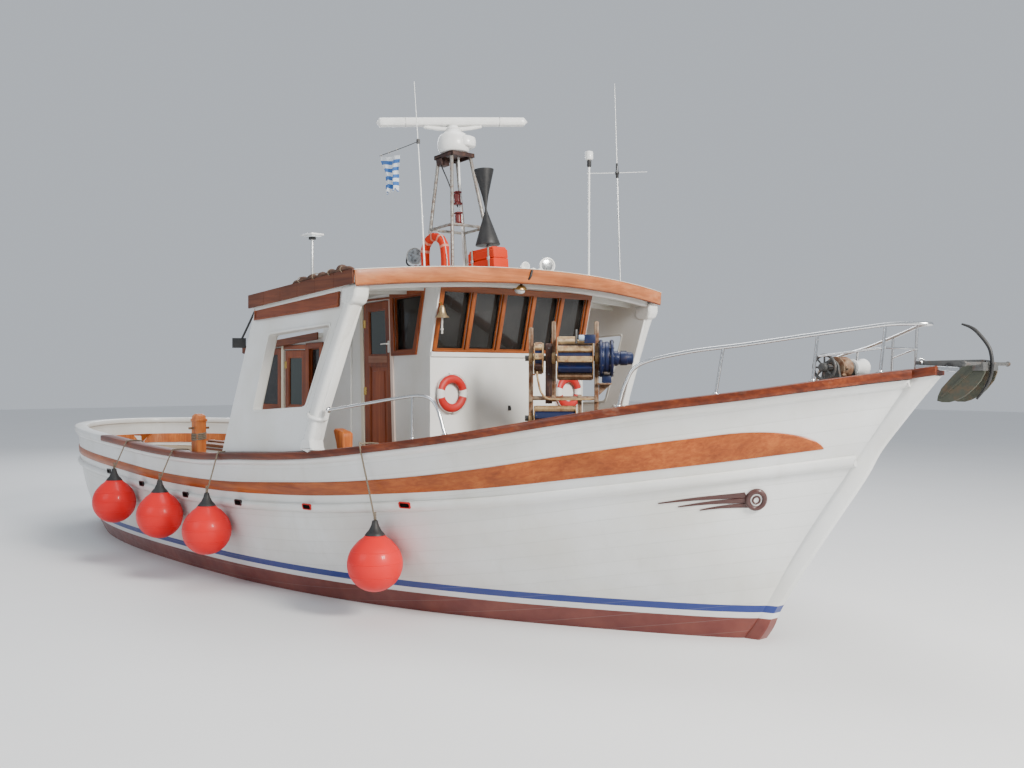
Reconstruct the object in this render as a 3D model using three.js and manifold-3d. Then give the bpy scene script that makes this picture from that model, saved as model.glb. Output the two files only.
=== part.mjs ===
// Fishing trawler: a wooden decked boat with a wheelhouse under a full-beam canopy,
// a lower aft house, a net reel on the foredeck and a cruiser stern.
// Millimetres. +X to the bow, +Y to port, +Z up. The origin is amidships, on the centreline,
// at the waterline.

import * as THREE from 'three';
import { mergeVertices } from 'three/addons/utils/BufferGeometryUtils.js';
import Module from 'manifold-3d';

const wasm = await Module();
wasm.setup();

// Hull driving dimensions
const bowX = 7500;
const sternX = -7200;
const bulwarkHalfBeam = 2360;
const stemHalf = 90;
const bulwarkThickness = 75;
const capThickness = 74;
const capOverhang = 60;
const capInboard = 115;
const rubDepth = 48;
const rubHalfHeight = 48;
const strakeThickness = 14;
const deckThickness = 45;
const deckCamber = 45;
const deckLeastHalf = 200;
const seatGap = 0.4;
const skinGap = 0.8;

// Sheer line, just under the top of the cap rail: x, height
const sheerLine = [
  [-7260, 1570], [-5000, 1552], [-3000, 1512], [-1300, 1452], [0, 1450], [1000, 1482], [2000, 1550],
  [3000, 1668], [4000, 1810], [5000, 1990], [6000, 2170], [7000, 2355], [7500, 2435],
];

// Line where the planking meets keel, sternpost and stem: x, height
const rabbetLine = [
  [-7200, 1560], [-7150, 1000], [-6980, 520], [-6600, 20], [-6000, -440], [-5200, -880], [-4200, -1180],
  [-2500, -1350], [0, -1340], [2000, -1240], [3500, -1010], [4600, -680], [5300, -330], [5750, 70],
  [6266, 894], [6680, 1485], [7070, 2041], [7310, 2385],
];

// Outer edge of stem, forefoot, keel and heel: x, height, from the stem head down and aft
const keelEdge = [
  [7478, 2372], [7330, 2200], [7199, 2041], [6972, 1755], [6811, 1485], [6396, 894], [6015, 326],
  [5880, 70], [5600, -260], [5150, -640], [4500, -1000], [3600, -1300], [2500, -1500], [0, -1610],
  [-3000, -1690], [-6560, -1800],
];
const sternpostX = -5180;
const shoeTop = -1700;
const shaftHeight = -1230;
const shaftRadius = 32;
const propellerX = -5560;
const propellerRadius = 430;
const rudderStockX = -6150;

// Wheelhouse, roof and aft house driving dimensions
const houseHalf = 1120;
const wallThickness = 60;
const doorPlane = 1135;
const frontX = 2460;
const frontTopX = 2640;
const sillHeight = 2585;
const wheelhouseAftX = 430;
const aftHouseEndX = -1250;
const roofHalf = 2270;
const roofAftX = 690;
const roofFrontX = 2700;
const roofBow = 260;
const roofCamber = 95;
const roofUnderFront = 3262;
const roofSlope = 0.082;
const roofThickness = 118;
const aftRoofTop = 2850;
const aftRoofThickness = 55;
const screenFootY = -2308;
const screenLean = 0.085;
const railLevel = 1500;
const roofCentreAftX = 388;
const roofCentreHalf = 1240;

// Windows and doors
const frontWindows = { count: 5, half: 1105, low: 2625, high: 3262, post: 44 };
const doorLeafThickness = 42;
const doorClearance = 6;
const rebateDepth = 17;

// Gear on the roof: places are [x, y] on the canopy
const mastHeight = 1560;
const mastPlace = [1590, 0];
const radarSpan = 1800;
const radarYaw = 1.01;
const radarLift = 345;
const flagPlace = [1679, -600];
const flagStaffHeight = 2340;
const yardHeight = 1640;
const yardLength = 745;
const yardRadius = 6;
const flagSize = [370, 500];
const dayMarkPlace = [2100, 0];
const dayMarkApex = 840;
const horseshoePlace = [1650, -440];
const searchlightPlace = [1200, -350];
const raftPlace = [2322, -208];

// Gear on deck
const helmWheelPlace = new THREE.Vector3(1985, 0, 2080);
const reelPlace = { x: 3660, y: -369, turn: -0.797 };
const reelAxis = 2535;
const reelLowAxis = 1925;
const reelBeamHeight = 2130;
const reelPosts = { aft: -333, middle: -100, low: 163, fore: 333 };
const reelPostThickness = 44;
const reelPostWidth = 90;
const reelClearance = 32;
const windlassX = 6600;
const windlassAxis = 2440;
const windlassCheeks = [-150, 105];
const fenderRadius = 268;
const hatchWall = 60;
const holdHatch = { x: -3350, sizeX: 1100, sizeY: 1250, top: 1290, floor: 120 };
const foreHatch = { x: 4950, sizeX: 700, sizeY: 700, top: 1800, floor: 1020 };
const anchorCrown = { x: 7850, z: 2466 };

// Ball fenders: x, height of the ball's centre
const fenderPlaces = [[-2260, 730], [-870, 690], [265, 630], [2895, 550]];

// Bitts: x, rise over the cap rail, lean aft at the head
const bittPlaces = [[-740, 440, 0], [2225, 235, 95]];

// Scuppers: first x, pitch and count along each bulwark, height over the rub strake's middle
const scuppers = { first: -3100, pitch: 1250, count: 6, length: 90, height: 44, lift: 66 };

const object = new THREE.Group();

// Smooth curve through a table of rows [t, value], read at t
function smooth(table, t) {
  const last = table.length - 1;
  if (t <= table[0][0]) return table[0][1];
  if (t >= table[last][0]) return table[last][1];
  let i = 0;
  while (t > table[i + 1][0]) i += 1;
  const slopeAt = (j) => {
    const before = table[Math.max(j - 1, 0)];
    const after = table[Math.min(j + 1, last)];
    return (after[1] - before[1]) / (after[0] - before[0]);
  };
  const span = table[i + 1][0] - table[i][0];
  const u = (t - table[i][0]) / span;
  const start = (1 + 2 * u) * (1 - u) ** 2 * table[i][1] + u * u * (3 - 2 * u) * table[i + 1][1];
  return start + span * (u * (1 - u) ** 2 * slopeAt(i) - u * u * (1 - u) * slopeAt(i + 1));
}

function ease(from, to, value) {
  return THREE.MathUtils.smoothstep(value, from, to);
}

const point = (x, y, z) => new THREE.Vector3(x, y, z);

// Solids, cuts and joins

function indexed(geometry) {
  const plain = geometry.clone();
  for (const name of Object.keys(plain.attributes)) {
    if (name !== 'position') plain.deleteAttribute(name);
  }
  return mergeVertices(plain, 1e-3);
}

function toSolid(geometry) {
  const merged = indexed(geometry);
  const index = merged.index.array;
  const kept = [];
  for (let i = 0; i < index.length; i += 3) {
    const [a, b, c] = [index[i], index[i + 1], index[i + 2]];
    if (a !== b && b !== c && c !== a) kept.push(a, b, c);
  }
  merged.setIndex(kept);
  if (signedVolume(merged) < 0) turnFaces(kept);
  return new wasm.Manifold(new wasm.Mesh({
    numProp: 3,
    vertProperties: new Float32Array(merged.attributes.position.array),
    triVerts: new Uint32Array(kept),
  }));
}

function toGeometry(solid) {
  const result = solid.getMesh();
  const geometry = new THREE.BufferGeometry();
  geometry.setAttribute('position', new THREE.BufferAttribute(result.vertProperties, 3));
  geometry.setIndex(new THREE.BufferAttribute(result.triVerts, 1));
  return geometry;
}

function join(...geometries) {
  let solid = toSolid(geometries[0]);
  for (const geometry of geometries.slice(1)) solid = solid.add(toSolid(geometry));
  return toGeometry(solid);
}

function cut(base, ...tools) {
  let solid = toSolid(base);
  for (const tool of tools) solid = solid.subtract(toSolid(tool));
  return toGeometry(solid);
}

function turnFaces(index) {
  for (let i = 0; i < index.length; i += 3) [index[i], index[i + 1]] = [index[i + 1], index[i]];
}

// Keeps the largest piece of a shape
function largest(geometry) {
  const parts = toSolid(geometry).decompose();
  parts.sort((a, b) => b.volume() - a.volume());
  return toGeometry(parts[0]);
}

// Cuts a shape back from its neighbours, each moved by a small gap in the given directions
function clearOf(geometry, neighbours, shifts) {
  const tools = neighbours.flatMap((neighbour) => shifts.map(
    ([x, y, z]) => neighbour.clone().translate(x * seatGap, y * seatGap, z * seatGap),
  ));
  return largest(cut(geometry, ...tools));
}

const standOn = (geometry, ...supports) => clearOf(geometry, supports, [[0, 0, 1]]);

// Closed solid through rings of points; its two ends are closed by rungs across the ring
function loft(rings) {
  const count = rings[0].length;
  const positions = rings.flat().flatMap((p) => [p.x, p.y, p.z]);
  const index = [];
  for (let i = 0; i + 1 < rings.length; i += 1) {
    for (let j = 0; j < count; j += 1) {
      const a = i * count + j;
      const b = i * count + ((j + 1) % count);
      index.push(a, b, b + count, a, b + count, a + count);
    }
  }
  const closeEnd = (offset, flip) => {
    let low = 0;
    let high = count - 1;
    while (high - low > 1) {
      const faces = [[low, low + 1, high]];
      if (high - low > 2) faces.push([low + 1, high - 1, high]);
      for (const [a, b, c] of faces) {
        if (flip) index.push(offset + a, offset + b, offset + c);
        else index.push(offset + c, offset + b, offset + a);
      }
      low += 1;
      high -= 1;
    }
  };
  closeEnd(0, false);
  closeEnd((rings.length - 1) * count, true);
  const geometry = new THREE.BufferGeometry();
  geometry.setAttribute('position', new THREE.BufferAttribute(new Float32Array(positions), 3));
  geometry.setIndex(index);
  return toGeometry(toSolid(geometry));
}

function signedVolume(geometry) {
  const place = geometry.attributes.position;
  const index = geometry.index.array;
  let volume = 0;
  for (let i = 0; i < index.length; i += 3) {
    const corners = [0, 1, 2].map((k) => new THREE.Vector3().fromBufferAttribute(place, index[i + k]));
    volume += corners[0].dot(corners[1].cross(corners[2])) / 6;
  }
  return volume;
}

function mirrored(geometry) {
  const copy = indexed(geometry);
  copy.scale(1, -1, 1);
  turnFaces(copy.index.array);
  return copy;
}

function box(sizeX, sizeY, sizeZ, x, y, z) {
  return new THREE.BoxGeometry(sizeX, sizeY, sizeZ).translate(x, y, z);
}

// Round bar from one point to another, with an optional smaller or larger far end
function bar(from, to, radius, sides = 12, farRadius = radius) {
  const along = to.clone().sub(from);
  const geometry = new THREE.CylinderGeometry(farRadius, radius, along.length(), sides);
  const turn = new THREE.Quaternion().setFromUnitVectors(point(0, 1, 0), along.clone().normalize());
  const middle = from.clone().add(to).multiplyScalar(0.5);
  return geometry.applyQuaternion(turn).translate(middle.x, middle.y, middle.z);
}

function tube(points, radius, steps, sides = 10) {
  const shape = new THREE.Shape();
  shape.absarc(0, 0, radius, 0, Math.PI * 2);
  const path = new THREE.CatmullRomCurve3(points, false, 'centripetal');
  return new THREE.ExtrudeGeometry(shape, { steps, curveSegments: Math.round(sides / 2), extrudePath: path });
}

// Flat plate: an outline in the plane across the given axis, centred at the given offset on it
const plateAxes = {
  x: [point(0, 1, 0), point(0, 0, 1), point(1, 0, 0)],
  y: [point(1, 0, 0), point(0, 0, 1), point(0, -1, 0)],
  z: [point(1, 0, 0), point(0, 1, 0), point(0, 0, 1)],
};

function plate(outline, thickness, axis, offset) {
  const shape = new THREE.Shape(outline.map(([a, b]) => new THREE.Vector2(a, b)));
  const geometry = new THREE.ExtrudeGeometry(shape, { depth: thickness, bevelEnabled: false });
  geometry.translate(0, 0, -thickness / 2);
  geometry.applyMatrix4(new THREE.Matrix4().makeBasis(...plateAxes[axis]));
  const shift = { x: [offset, 0, 0], y: [0, offset, 0], z: [0, 0, offset] }[axis];
  return geometry.translate(...shift);
}

function lathe(profile, segments = 20) {
  const points = profile.map(([r, h]) => new THREE.Vector2(r, h));
  return toGeometry(toSolid(new THREE.LatheGeometry(points, segments)));
}

// Turns a shape made about +Y so that it stands about +Z
function upright(geometry) {
  return geometry.rotateX(Math.PI / 2);
}

function add(name, geometry, finish) {
  const [color, roughness, metalness] = finish;
  const material = new THREE.MeshStandardMaterial({ color, roughness, metalness });
  const mesh = new THREE.Mesh(geometry, material);
  mesh.name = name;
  object.add(mesh);
  return mesh;
}

// Finishes: colour, roughness, metalness
const finishes = {
  whitePaint: ['#e9e9e6', 0.45, 0],
  redBottom: ['#5b1714', 0.7, 0],
  varnish: ['#8a4519', 0.35, 0],
  capVarnish: ['#7a3312', 0.35, 0],
  paleVarnish: ['#c98a58', 0.4, 0],
  deckWood: ['#b79b74', 0.75, 0],
  glass: ['#20262a', 0.1, 0],
  stainless: ['#b9bcbe', 0.25, 0.9],
  rustySteel: ['#8b7a66', 0.6, 0.5],
  navy: ['#1b2c55', 0.45, 0.2],
  bronze: ['#9a7434', 0.35, 0.9],
  darkSteel: ['#33322f', 0.55, 0.6],
  orange: ['#e2491f', 0.6, 0],
  red: ['#d41f1d', 0.45, 0],
  black: ['#171717', 0.6, 0],
  flagBlue: ['#3f74b8', 0.8, 0],
  greyMetal: ['#a7a8a4', 0.5, 0.5],
};

// Hull form

function sheerHeight(x) {
  return smooth(sheerLine, x);
}

// Top of the cap rail: a little over the sheer line, most of all amidships
const capRise = (x) => 4 + 38 * ease(-500, 800, x) - 22 * ease(5500, 6500, x);
const railTopHeight = (x) => sheerHeight(x) + capRise(x);

function rabbetHeight(x) {
  return smooth(rabbetLine, x);
}

// Half breadth of the bulwark's outside at the rail
function railHalf(x) {
  if (x >= 0) return bulwarkHalfBeam * Math.max(1 - (x / 7440) ** 3.1, 0);
  return bulwarkHalfBeam * Math.sqrt(Math.max(1 - (x / sternX) ** 2.8, 0));
}

// Half width of the timber on the centreline, which fades out under the counter
function centreHalf(x) {
  return 0.2 + (stemHalf - 0.2) * ease(-6500, -5400, x);
}

// Half breadth of the planking at a place on the side: round amidships, flaring to the bow
function skinHalf(x, z) {
  const low = rabbetHeight(x);
  const share = THREE.MathUtils.clamp((z - low) / Math.max(sheerHeight(x) - low, 1), 0, 1);
  const round = (1 - (1 - share) ** 2.3) ** 0.6;
  const flared = share ** 1.15;
  const towardBow = THREE.MathUtils.clamp(x / 6500, 0, 1) ** 1.5;
  const fullness = (1 - towardBow) * round + towardBow * flared;
  const inner = centreHalf(x);
  return inner + Math.max(railHalf(x) - inner, 0) * fullness;
}

// Where a line along the side meets the rabbet: toward the stern (-1) or the bow (+1)
function endOfLine(heightAt, side) {
  let inside = 0;
  let outside = side < 0 ? sternX : 7310;
  for (let i = 0; i < 40; i += 1) {
    const middle = (inside + outside) / 2;
    if (heightAt(middle) > rabbetHeight(middle)) inside = middle;
    else outside = middle;
  }
  return inside;
}

// Stations crowd toward both ends of the boat
const stationCount = 28;
const stations = Array.from({ length: stationCount + 1 }, (_, i) => {
  const u = i / stationCount;
  return u - Math.sin(2 * Math.PI * u) * 0.095;
});

const rubCentre = (x) => sheerHeight(x) - 530 - 125 * ease(1000, 6200, x);
const strakeLow = (x) => rubCentre(x) + 130;
const strakeHeight = (x) => 106 + 30 * ease(-300, 2000, x) + 88 * ease(2500, 5700, x);
const tipStart = 6040;
const tipEnd = 6630;
function strakeHigh(x) {
  const u = THREE.MathUtils.clamp((x - tipStart) / (tipEnd - tipStart), 0, 1);
  return strakeLow(x) + strakeHeight(x) * Math.sqrt(1 - u * u) + 1;
}
const flareHeight = (x) => strakeLow(x) + strakeHeight(x) + 14;
const capLow = (x) => railTopHeight(x) - capThickness - 1 - 4 * ease(6400, 7000, x);

// One line of points along the planking, from stern to stem, with its outward plan normals
function plankLine(heightAt) {
  const aft = endOfLine(heightAt, -1);
  const fore = endOfLine(heightAt, 1);
  const line = stations.map((s, i) => {
    const x = aft + (fore - aft) * s;
    const atEnd = i === 0 || i === stationCount;
    const half = atEnd ? centreHalf(x) : skinHalf(x, heightAt(x));
    return point(x, -half, heightAt(x));
  });
  const normals = line.map((p, i) => {
    const before = line[Math.max(i - 1, 0)];
    const after = line[Math.min(i + 1, line.length - 1)];
    return point(after.y - before.y, before.x - after.x, 0).normalize();
  });
  normals[0] = point(-1, 0, 0);
  return { line, normals, heightAt };
}

// The same line moved out (or in, if negative) from the planking, kept on the starboard side
function offsetLine({ line, normals, heightAt }, distance, raise = 0) {
  return line.map((p, i) => {
    const moved = p.clone().addScaledVector(normals[i], distance);
    moved.y = Math.min(moved.y, -0.2);
    moved.z = heightAt(moved.x) + raise;
    return moved;
  });
}

const ringsFrom = (lines) => lines[0].map((_, i) => lines.map((line) => line[i]));

const bottomLevels = [-1120, -960, -740, -460, -140, 200, 560];
const levelLines = bottomLevels.map((level) => plankLine(() => level));
const garboard = levelLines[0].line.map((p) => point(p.x, -centreHalf(p.x), rabbetHeight(p.x)));
const rubLowLine = plankLine((x) => rubCentre(x) - rubHalfHeight);
const seamLine = plankLine(rubCentre);
const rubHighLine = plankLine((x) => rubCentre(x) + rubHalfHeight);
const strakeLowLine = plankLine(strakeLow);
const strakeHighLine = plankLine(strakeHigh);
const flareLine = plankLine(flareHeight);
const capLowLine = plankLine(capLow);

function hullBody() {
  const side = [garboard, ...levelLines.map((level) => level.line), rubLowLine.line, seamLine.line];
  const centre = (line) => line.map((p) => point(p.x, 0, p.z));
  const half = loft(ringsFrom([...side, centre(seamLine.line), centre(garboard)]));
  const stockBore = bar(point(rudderStockX, 0, -900), point(rudderStockX, 0, 400), 46, 16);
  return cut(join(half, mirrored(half)), stockBore, hatchWell(holdHatch), hatchWell(foreHatch));
}

// Space under a hatch, from its floor up through the deck
function hatchWell(spec) {
  const height = spec.top + 100 - spec.floor;
  const [sizeX, sizeY] = [spec.sizeX - 2 * hatchWall, spec.sizeY - 2 * hatchWall];
  return box(sizeX, sizeY, height, spec.x, 0, spec.floor + height / 2);
}

function bulwark() {
  const outerLines = [seamLine, rubHighLine, strakeLowLine, strakeHighLine, flareLine, capLowLine];
  const innerLines = [seamLine, rubHighLine, strakeLowLine, flareLine, capLowLine];
  const outer = outerLines.map((entry, k) => offsetLine(entry, 0, k === 0 ? 1 : 0));
  const inner = innerLines.map((entry, k) => offsetLine(entry, -bulwarkThickness, k === 0 ? 1 : 0));
  const scupperHoles = Array.from({ length: scuppers.count }, (_, i) => {
    const x = scuppers.first + i * scuppers.pitch;
    return box(scuppers.length, 2000, scuppers.height, x, -2300, rubCentre(x) + scuppers.lift);
  });
  return cut(loft(ringsFrom([...outer, ...inner.reverse()])), ...scupperHoles);
}

function rubStrake() {
  const inner = [rubLowLine, seamLine, rubHighLine].map((entry) => offsetLine(entry, skinGap));
  const outer = [
    offsetLine(rubHighLine, rubDepth * 0.45),
    offsetLine(seamLine, rubDepth, rubHalfHeight * 0.55),
    offsetLine(seamLine, rubDepth, -rubHalfHeight * 0.55),
    offsetLine(rubLowLine, rubDepth * 0.45),
  ];
  return loft(ringsFrom([...inner, ...outer]));
}

function varnishedStrake() {
  const rows = [
    offsetLine(strakeLowLine, skinGap),
    offsetLine(strakeHighLine, skinGap),
    offsetLine(strakeHighLine, strakeThickness),
    offsetLine(strakeLowLine, strakeThickness),
  ];
  return cut(loft(ringsFrom(rows)), box(2000, 4000, 4000, tipEnd - 2 + 1000, 0, 1500));
}

// The cap rail's plan follows the bulwark top and runs on over the stem head
function capRail() {
  const edge = plankLine((x) => sheerHeight(x) - 1);
  edge.line[stationCount] = point(7330, -95, sheerHeight(7330));
  edge.line.push(point(7475, -55, sheerHeight(7475)));
  edge.normals.push(edge.normals[stationCount]);
  edge.line.forEach((p) => { p.z = sheerHeight(p.x); });
  const outer = offsetLine(edge, capOverhang);
  const inner = offsetLine(edge, -capInboard);
  inner[0].x = sternX + capInboard;
  inner.forEach((p, i) => { if (i > stationCount - 3) p.y = -0.2; });
  inner[inner.length - 1].x = bowX;
  outer[outer.length - 1].set(bowX, -70, sheerHeight(bowX));
  inner.forEach((p) => { p.z = sheerHeight(p.x); });
  outer.forEach((p) => { p.z = sheerHeight(p.x); });
  const lifted = (line, drop) => line.map((p) => point(p.x, p.y, railTopHeight(p.x) - drop));
  const top = [lifted(outer, 0), lifted(inner, 0)];
  return loft(ringsFrom([...top, lifted(inner, capThickness), lifted(outer, capThickness)]));
}

// Deck: planked, cambered, rising over the forepeak
const deckRise = (x) => 330 * ease(3900, 6400, x);
const deckEdgeHeight = (x) => rubCentre(x) + deckThickness + deckRise(x);

function deckHeight(x, y = 0) {
  const half = Math.max(skinHalf(x, deckEdgeHeight(x)) - bulwarkThickness, 1);
  return deckEdgeHeight(x) + deckCamber * (1 - Math.min(Math.abs(y) / half, 1));
}

function deckBody() {
  const inset = bulwarkThickness + 12;
  const lowEdge = offsetLine(seamLine, -inset);
  const highEdge = offsetLine(plankLine(deckEdgeHeight), -inset);
  const rings = [];
  for (let i = 1; i < stationCount; i += 1) {
    const low = lowEdge[i];
    const high = highEdge[i];
    if (low.y < -deckLeastHalf && high.y < -deckLeastHalf) {
      low.z = rubCentre(low.x) + 2;
      high.z = deckEdgeHeight(high.x);
      const crown = point(high.x, 0, high.z + deckCamber);
      rings.push([low, high, crown, point(high.x, -high.y, high.z), point(low.x, -low.y, low.z)]);
    }
  }
  return loft(rings);
}

// Keel, stem, sternpost and heel in one backbone, seated under hull, bulwarks and cap rail
function backbone(neighbours) {
  const steps = Array.from({ length: 25 }, (_, i) => sternpostX + ((7330 - sternpostX) * i) / 24);
  const seat = steps.map((x) => [x - 45 * ease(4000, 5800, x), rabbetHeight(x) + 30]);
  const body = plate([...keelEdge, [-6560, shoeTop], [sternpostX, shoeTop], ...seat], stemHalf * 2, 'y', 0);
  const boss = bar(point(sternpostX - 60, 0, shaftHeight), point(sternpostX + 500, 0, shaftHeight), 88, 16);
  const bore = bar(point(sternpostX - 90, 0, shaftHeight), point(sternpostX + 420, 0, shaftHeight), 38, 16);
  const heelHole = bar(point(rudderStockX, 0, -1760), point(rudderStockX, 0, -1600), 34, 12);
  const shifts = [[0, 0, 0], [1, 1, -1], [1, -1, -1], [0, 1, 1], [0, -1, 1]];
  return clearOf(cut(join(body, boss), bore, heelHole), neighbours, shifts);
}

function propeller() {
  const along = (offset) => point(propellerX + offset, 0, shaftHeight);
  const hub = bar(along(-90), along(90), 78, 16, 92);
  const cone = bar(along(-210), along(-85), 22, 16, 78);
  const shaft = bar(along(60), point(sternpostX + 400, 0, shaftHeight), shaftRadius, 16);
  const blades = [0, 1, 2, 3].map((i) => {
    const outline = new THREE.Shape();
    outline.moveTo(-60, 50);
    outline.bezierCurveTo(-190, 160, -190, 360, -40, propellerRadius);
    outline.bezierCurveTo(150, propellerRadius - 20, 190, 200, 60, 50);
    const blade = new THREE.ExtrudeGeometry(outline, { depth: 18, bevelEnabled: false, curveSegments: 4 });
    blade.translate(0, 0, -9);
    blade.rotateY(Math.PI / 2 - 0.5);
    return blade.rotateX((i * Math.PI) / 2).translate(propellerX, 0, shaftHeight);
  });
  return join(hub, cone, shaft, ...blades);
}

function rudder() {
  const blade = [
    [-6040, -1640], [-6720, -1640], [-6790, -1300], [-6790, -420], [-6640, -330], [-6040, -560],
  ];
  const pintle = bar(point(rudderStockX, 0, -1752), point(rudderStockX, 0, -1630), 28, 12);
  const stock = bar(point(rudderStockX, 0, -1650), point(rudderStockX, 0, 340), 38, 16);
  return join(plate(blade, 64, 'y', 0), pintle, stock);
}

// Superstructure. Its roofs follow the sheer, so they fall toward the stern.

const roofUnder = (x) => roofUnderFront + (x - roofFrontX) * roofSlope;
const roofCrown = (y) => roofCamber * (1 - (y / roofHalf) ** 2);
const wallTop = (x) => roofUnder(x) + roofCamber + 15;
const underRoof = (geometry) => clearOf(geometry, [canopy], [[0, 0, -1]]);
const aftRoofUnder = (x) => aftRoofTop - aftRoofThickness + (x - wheelhouseAftX) * roofSlope;

// Wall openings, as corners [x, z] or, for walls across the boat, [y, z]
const doorOutline = [[1302, 1190], [1832, 1190], [1744, 3185], [1252, 3165]];
const sideWindow = [[1830, 2602], [2200, 2612], [2350, 3240], [1800, 3216]];
const doorPane = [[1381, 2580], [1693, 2580], [1668, 3085], [1360, 3070]];
const aftHouseDoor = [[-420, 1120], [60, 1120], [60, 2660], [-420, 2660]];
const aftHousePane = [[-330, 1980], [-30, 1980], [-30, 2570], [-330, 2570]];
const aftHouseWindows = [
  [[-1090, 1950], [-540, 1950], [-540, 2640], [-1090, 2620]],
  [[130, 1950], [400, 1950], [400, 2700], [130, 2690]],
];
const sideGlass = [[1815, 2590], [2215, 2600], [2368, 3252], [1785, 3228]];

function sideWall(y) {
  const outline = [
    [wheelhouseAftX, 900], [frontX - wallThickness - 1, 900], [frontX - wallThickness - 1, sillHeight],
    [frontTopX - wallThickness - 4, wallTop(frontTopX)], [wheelhouseAftX, wallTop(wheelhouseAftX)],
  ];
  const wall = plate(outline, wallThickness, 'y', y);
  return cut(wall, plate(doorOutline, 200, 'y', y), plate(sideWindow, 200, 'y', y));
}

function frontWall() {
  const outline = [
    [frontX, 900], [frontX, sillHeight], [frontTopX, wallTop(frontTopX)],
    [frontTopX - wallThickness, wallTop(frontTopX)], [frontX - wallThickness, sillHeight],
    [frontX - wallThickness, 900],
  ];
  const pitch = (2 * frontWindows.half) / frontWindows.count;
  const holes = [];
  for (let i = 0; i < frontWindows.count; i += 1) {
    const middle = -frontWindows.half + pitch * (i + 0.5);
    const height = frontWindows.high - frontWindows.low;
    holes.push(box(900, pitch - frontWindows.post, height, frontX, middle, frontWindows.low + height / 2));
  }
  return cut(plate(outline, 2 * (houseHalf + wallThickness / 2), 'y', 0), ...holes);
}

function frontGlass() {
  const lean = (frontTopX - frontX) / (wallTop(frontTopX) - sillHeight);
  const inner = (z) => frontX - wallThickness - 4 + (z - sillHeight) * lean;
  const low = sillHeight + 14;
  const high = frontWindows.high + 26;
  const outline = [[inner(low), low], [inner(high), high], [inner(high) - 8, high], [inner(low) - 8, low]];
  return plate(outline, 2 * (houseHalf - wallThickness / 2 - 6), 'y', 0);
}

function aftWall() {
  const half = houseHalf - wallThickness / 2 - 1;
  const top = wallTop(wheelhouseAftX);
  const outline = [[-half, 900], [half, 900], [half, top], [-half, top]];
  const wall = plate(outline, wallThickness, 'x', wheelhouseAftX + wallThickness / 2 + 1);
  const doorway = plate([[-330, 1150], [330, 1150], [330, 2660], [-330, 2660]], 300, 'x', wheelhouseAftX);
  return cut(wall, doorway);
}

// Canopy roof: cambered, with its front edge bowed forward, out to both sides of the boat
function roofBody() {
  const rings = [];
  const across = 16;
  const front = (y) => roofFrontX + roofBow * (1 - (y / roofHalf) ** 2);
  for (let i = 0; i <= across; i += 1) {
    const y = -roofHalf + (2 * roofHalf * i) / across;
    const aft = Math.abs(y) < roofCentreHalf ? roofCentreAftX : roofAftX;
    const low = (x) => roofUnder(x) + roofCrown(y);
    const high = (x) => low(x) + roofThickness;
    rings.push([
      point(aft, y, low(aft)), point(aft, y, high(aft)),
      point(front(y), y, high(front(y))), point(front(y), y, low(front(y))),
    ]);
  }
  return loft(rings);
}

// Outline drawn in on every side
function shrink(outline, edge) {
  const middleX = outline.reduce((sum, [x]) => sum + x, 0) / outline.length;
  const middleZ = outline.reduce((sum, [, z]) => sum + z, 0) / outline.length;
  return outline.map(([x, z]) => [x - Math.sign(x - middleX) * edge, z - Math.sign(z - middleZ) * edge]);
}

// Door leaf with its pane let in from both faces
function doorLeaf(outline, pane, y) {
  const offset = (doorLeafThickness - rebateDepth) / 2 + 0.1;
  const rebate = (side) => plate(pane, rebateDepth, 'y', y + side * offset);
  return cut(plate(shrink(outline, doorClearance), doorLeafThickness, 'y', y), rebate(1), rebate(-1));
}

// Side screen: a flared panel from cap rail to roof, with one large opening and a thick fore post
function sideScreen() {
  const outline = [[190, 1300], [2060, 1300], [2180, 2030], [2600, 3050], [2680, 3330], [700, 3170]];
  const opening = [[815, 1969], [1859, 2033], [2216, 2870], [1034, 2800]];
  const panel = plate(outline, 100, 'y', 22);
  const post = plate([[1930, 1300], [2110, 1300], [2200, 2030], [2600, 3000], [2690, 3140], [2690, 3330],
    [2430, 3330], [2400, 3120], [2300, 2900], [1990, 2050]], 130, 'y', 0);
  const body = join(cut(panel, plate(opening, 300, 'y', 0)), post);
  body.translate(0, 0, -railLevel).rotateX(-screenLean).translate(0, screenFootY, railLevel);
  const railXs = Array.from({ length: 16 }, (_, i) => 100 + i * 150);
  const railTop = railXs.map((x) => [x, railTopHeight(x) + 2 * seatGap]);
  const belowRail = plate([[100, 1000], ...railTop, [railXs[15], 1000]].reverse(), 3000, 'y', screenFootY);
  return cut(body, belowRail);
}

function aftHouse() {
  const length = wheelhouseAftX - aftHouseEndX;
  const outline = [
    [aftHouseEndX, 880], [wheelhouseAftX - 1, 880],
    [wheelhouseAftX - 1, aftRoofUnder(wheelhouseAftX) - seatGap],
    [aftHouseEndX, aftRoofUnder(aftHouseEndX) - seatGap],
  ];
  const innerX = aftHouseEndX + wallThickness + length / 2 + 1;
  const inner = box(length + 2, 2 * houseHalf - wallThickness, 3000, innerX, 0, 2000);
  const block = plate(outline, 2 * houseHalf + wallThickness, 'y', 0);
  const tools = [inner];
  for (const side of [-1, 1]) {
    tools.push(plate(aftHouseDoor, 300, 'y', side * houseHalf));
    for (const window of aftHouseWindows) tools.push(plate(window, 300, 'y', side * houseHalf));
  }
  return cut(block, ...tools);
}

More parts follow.
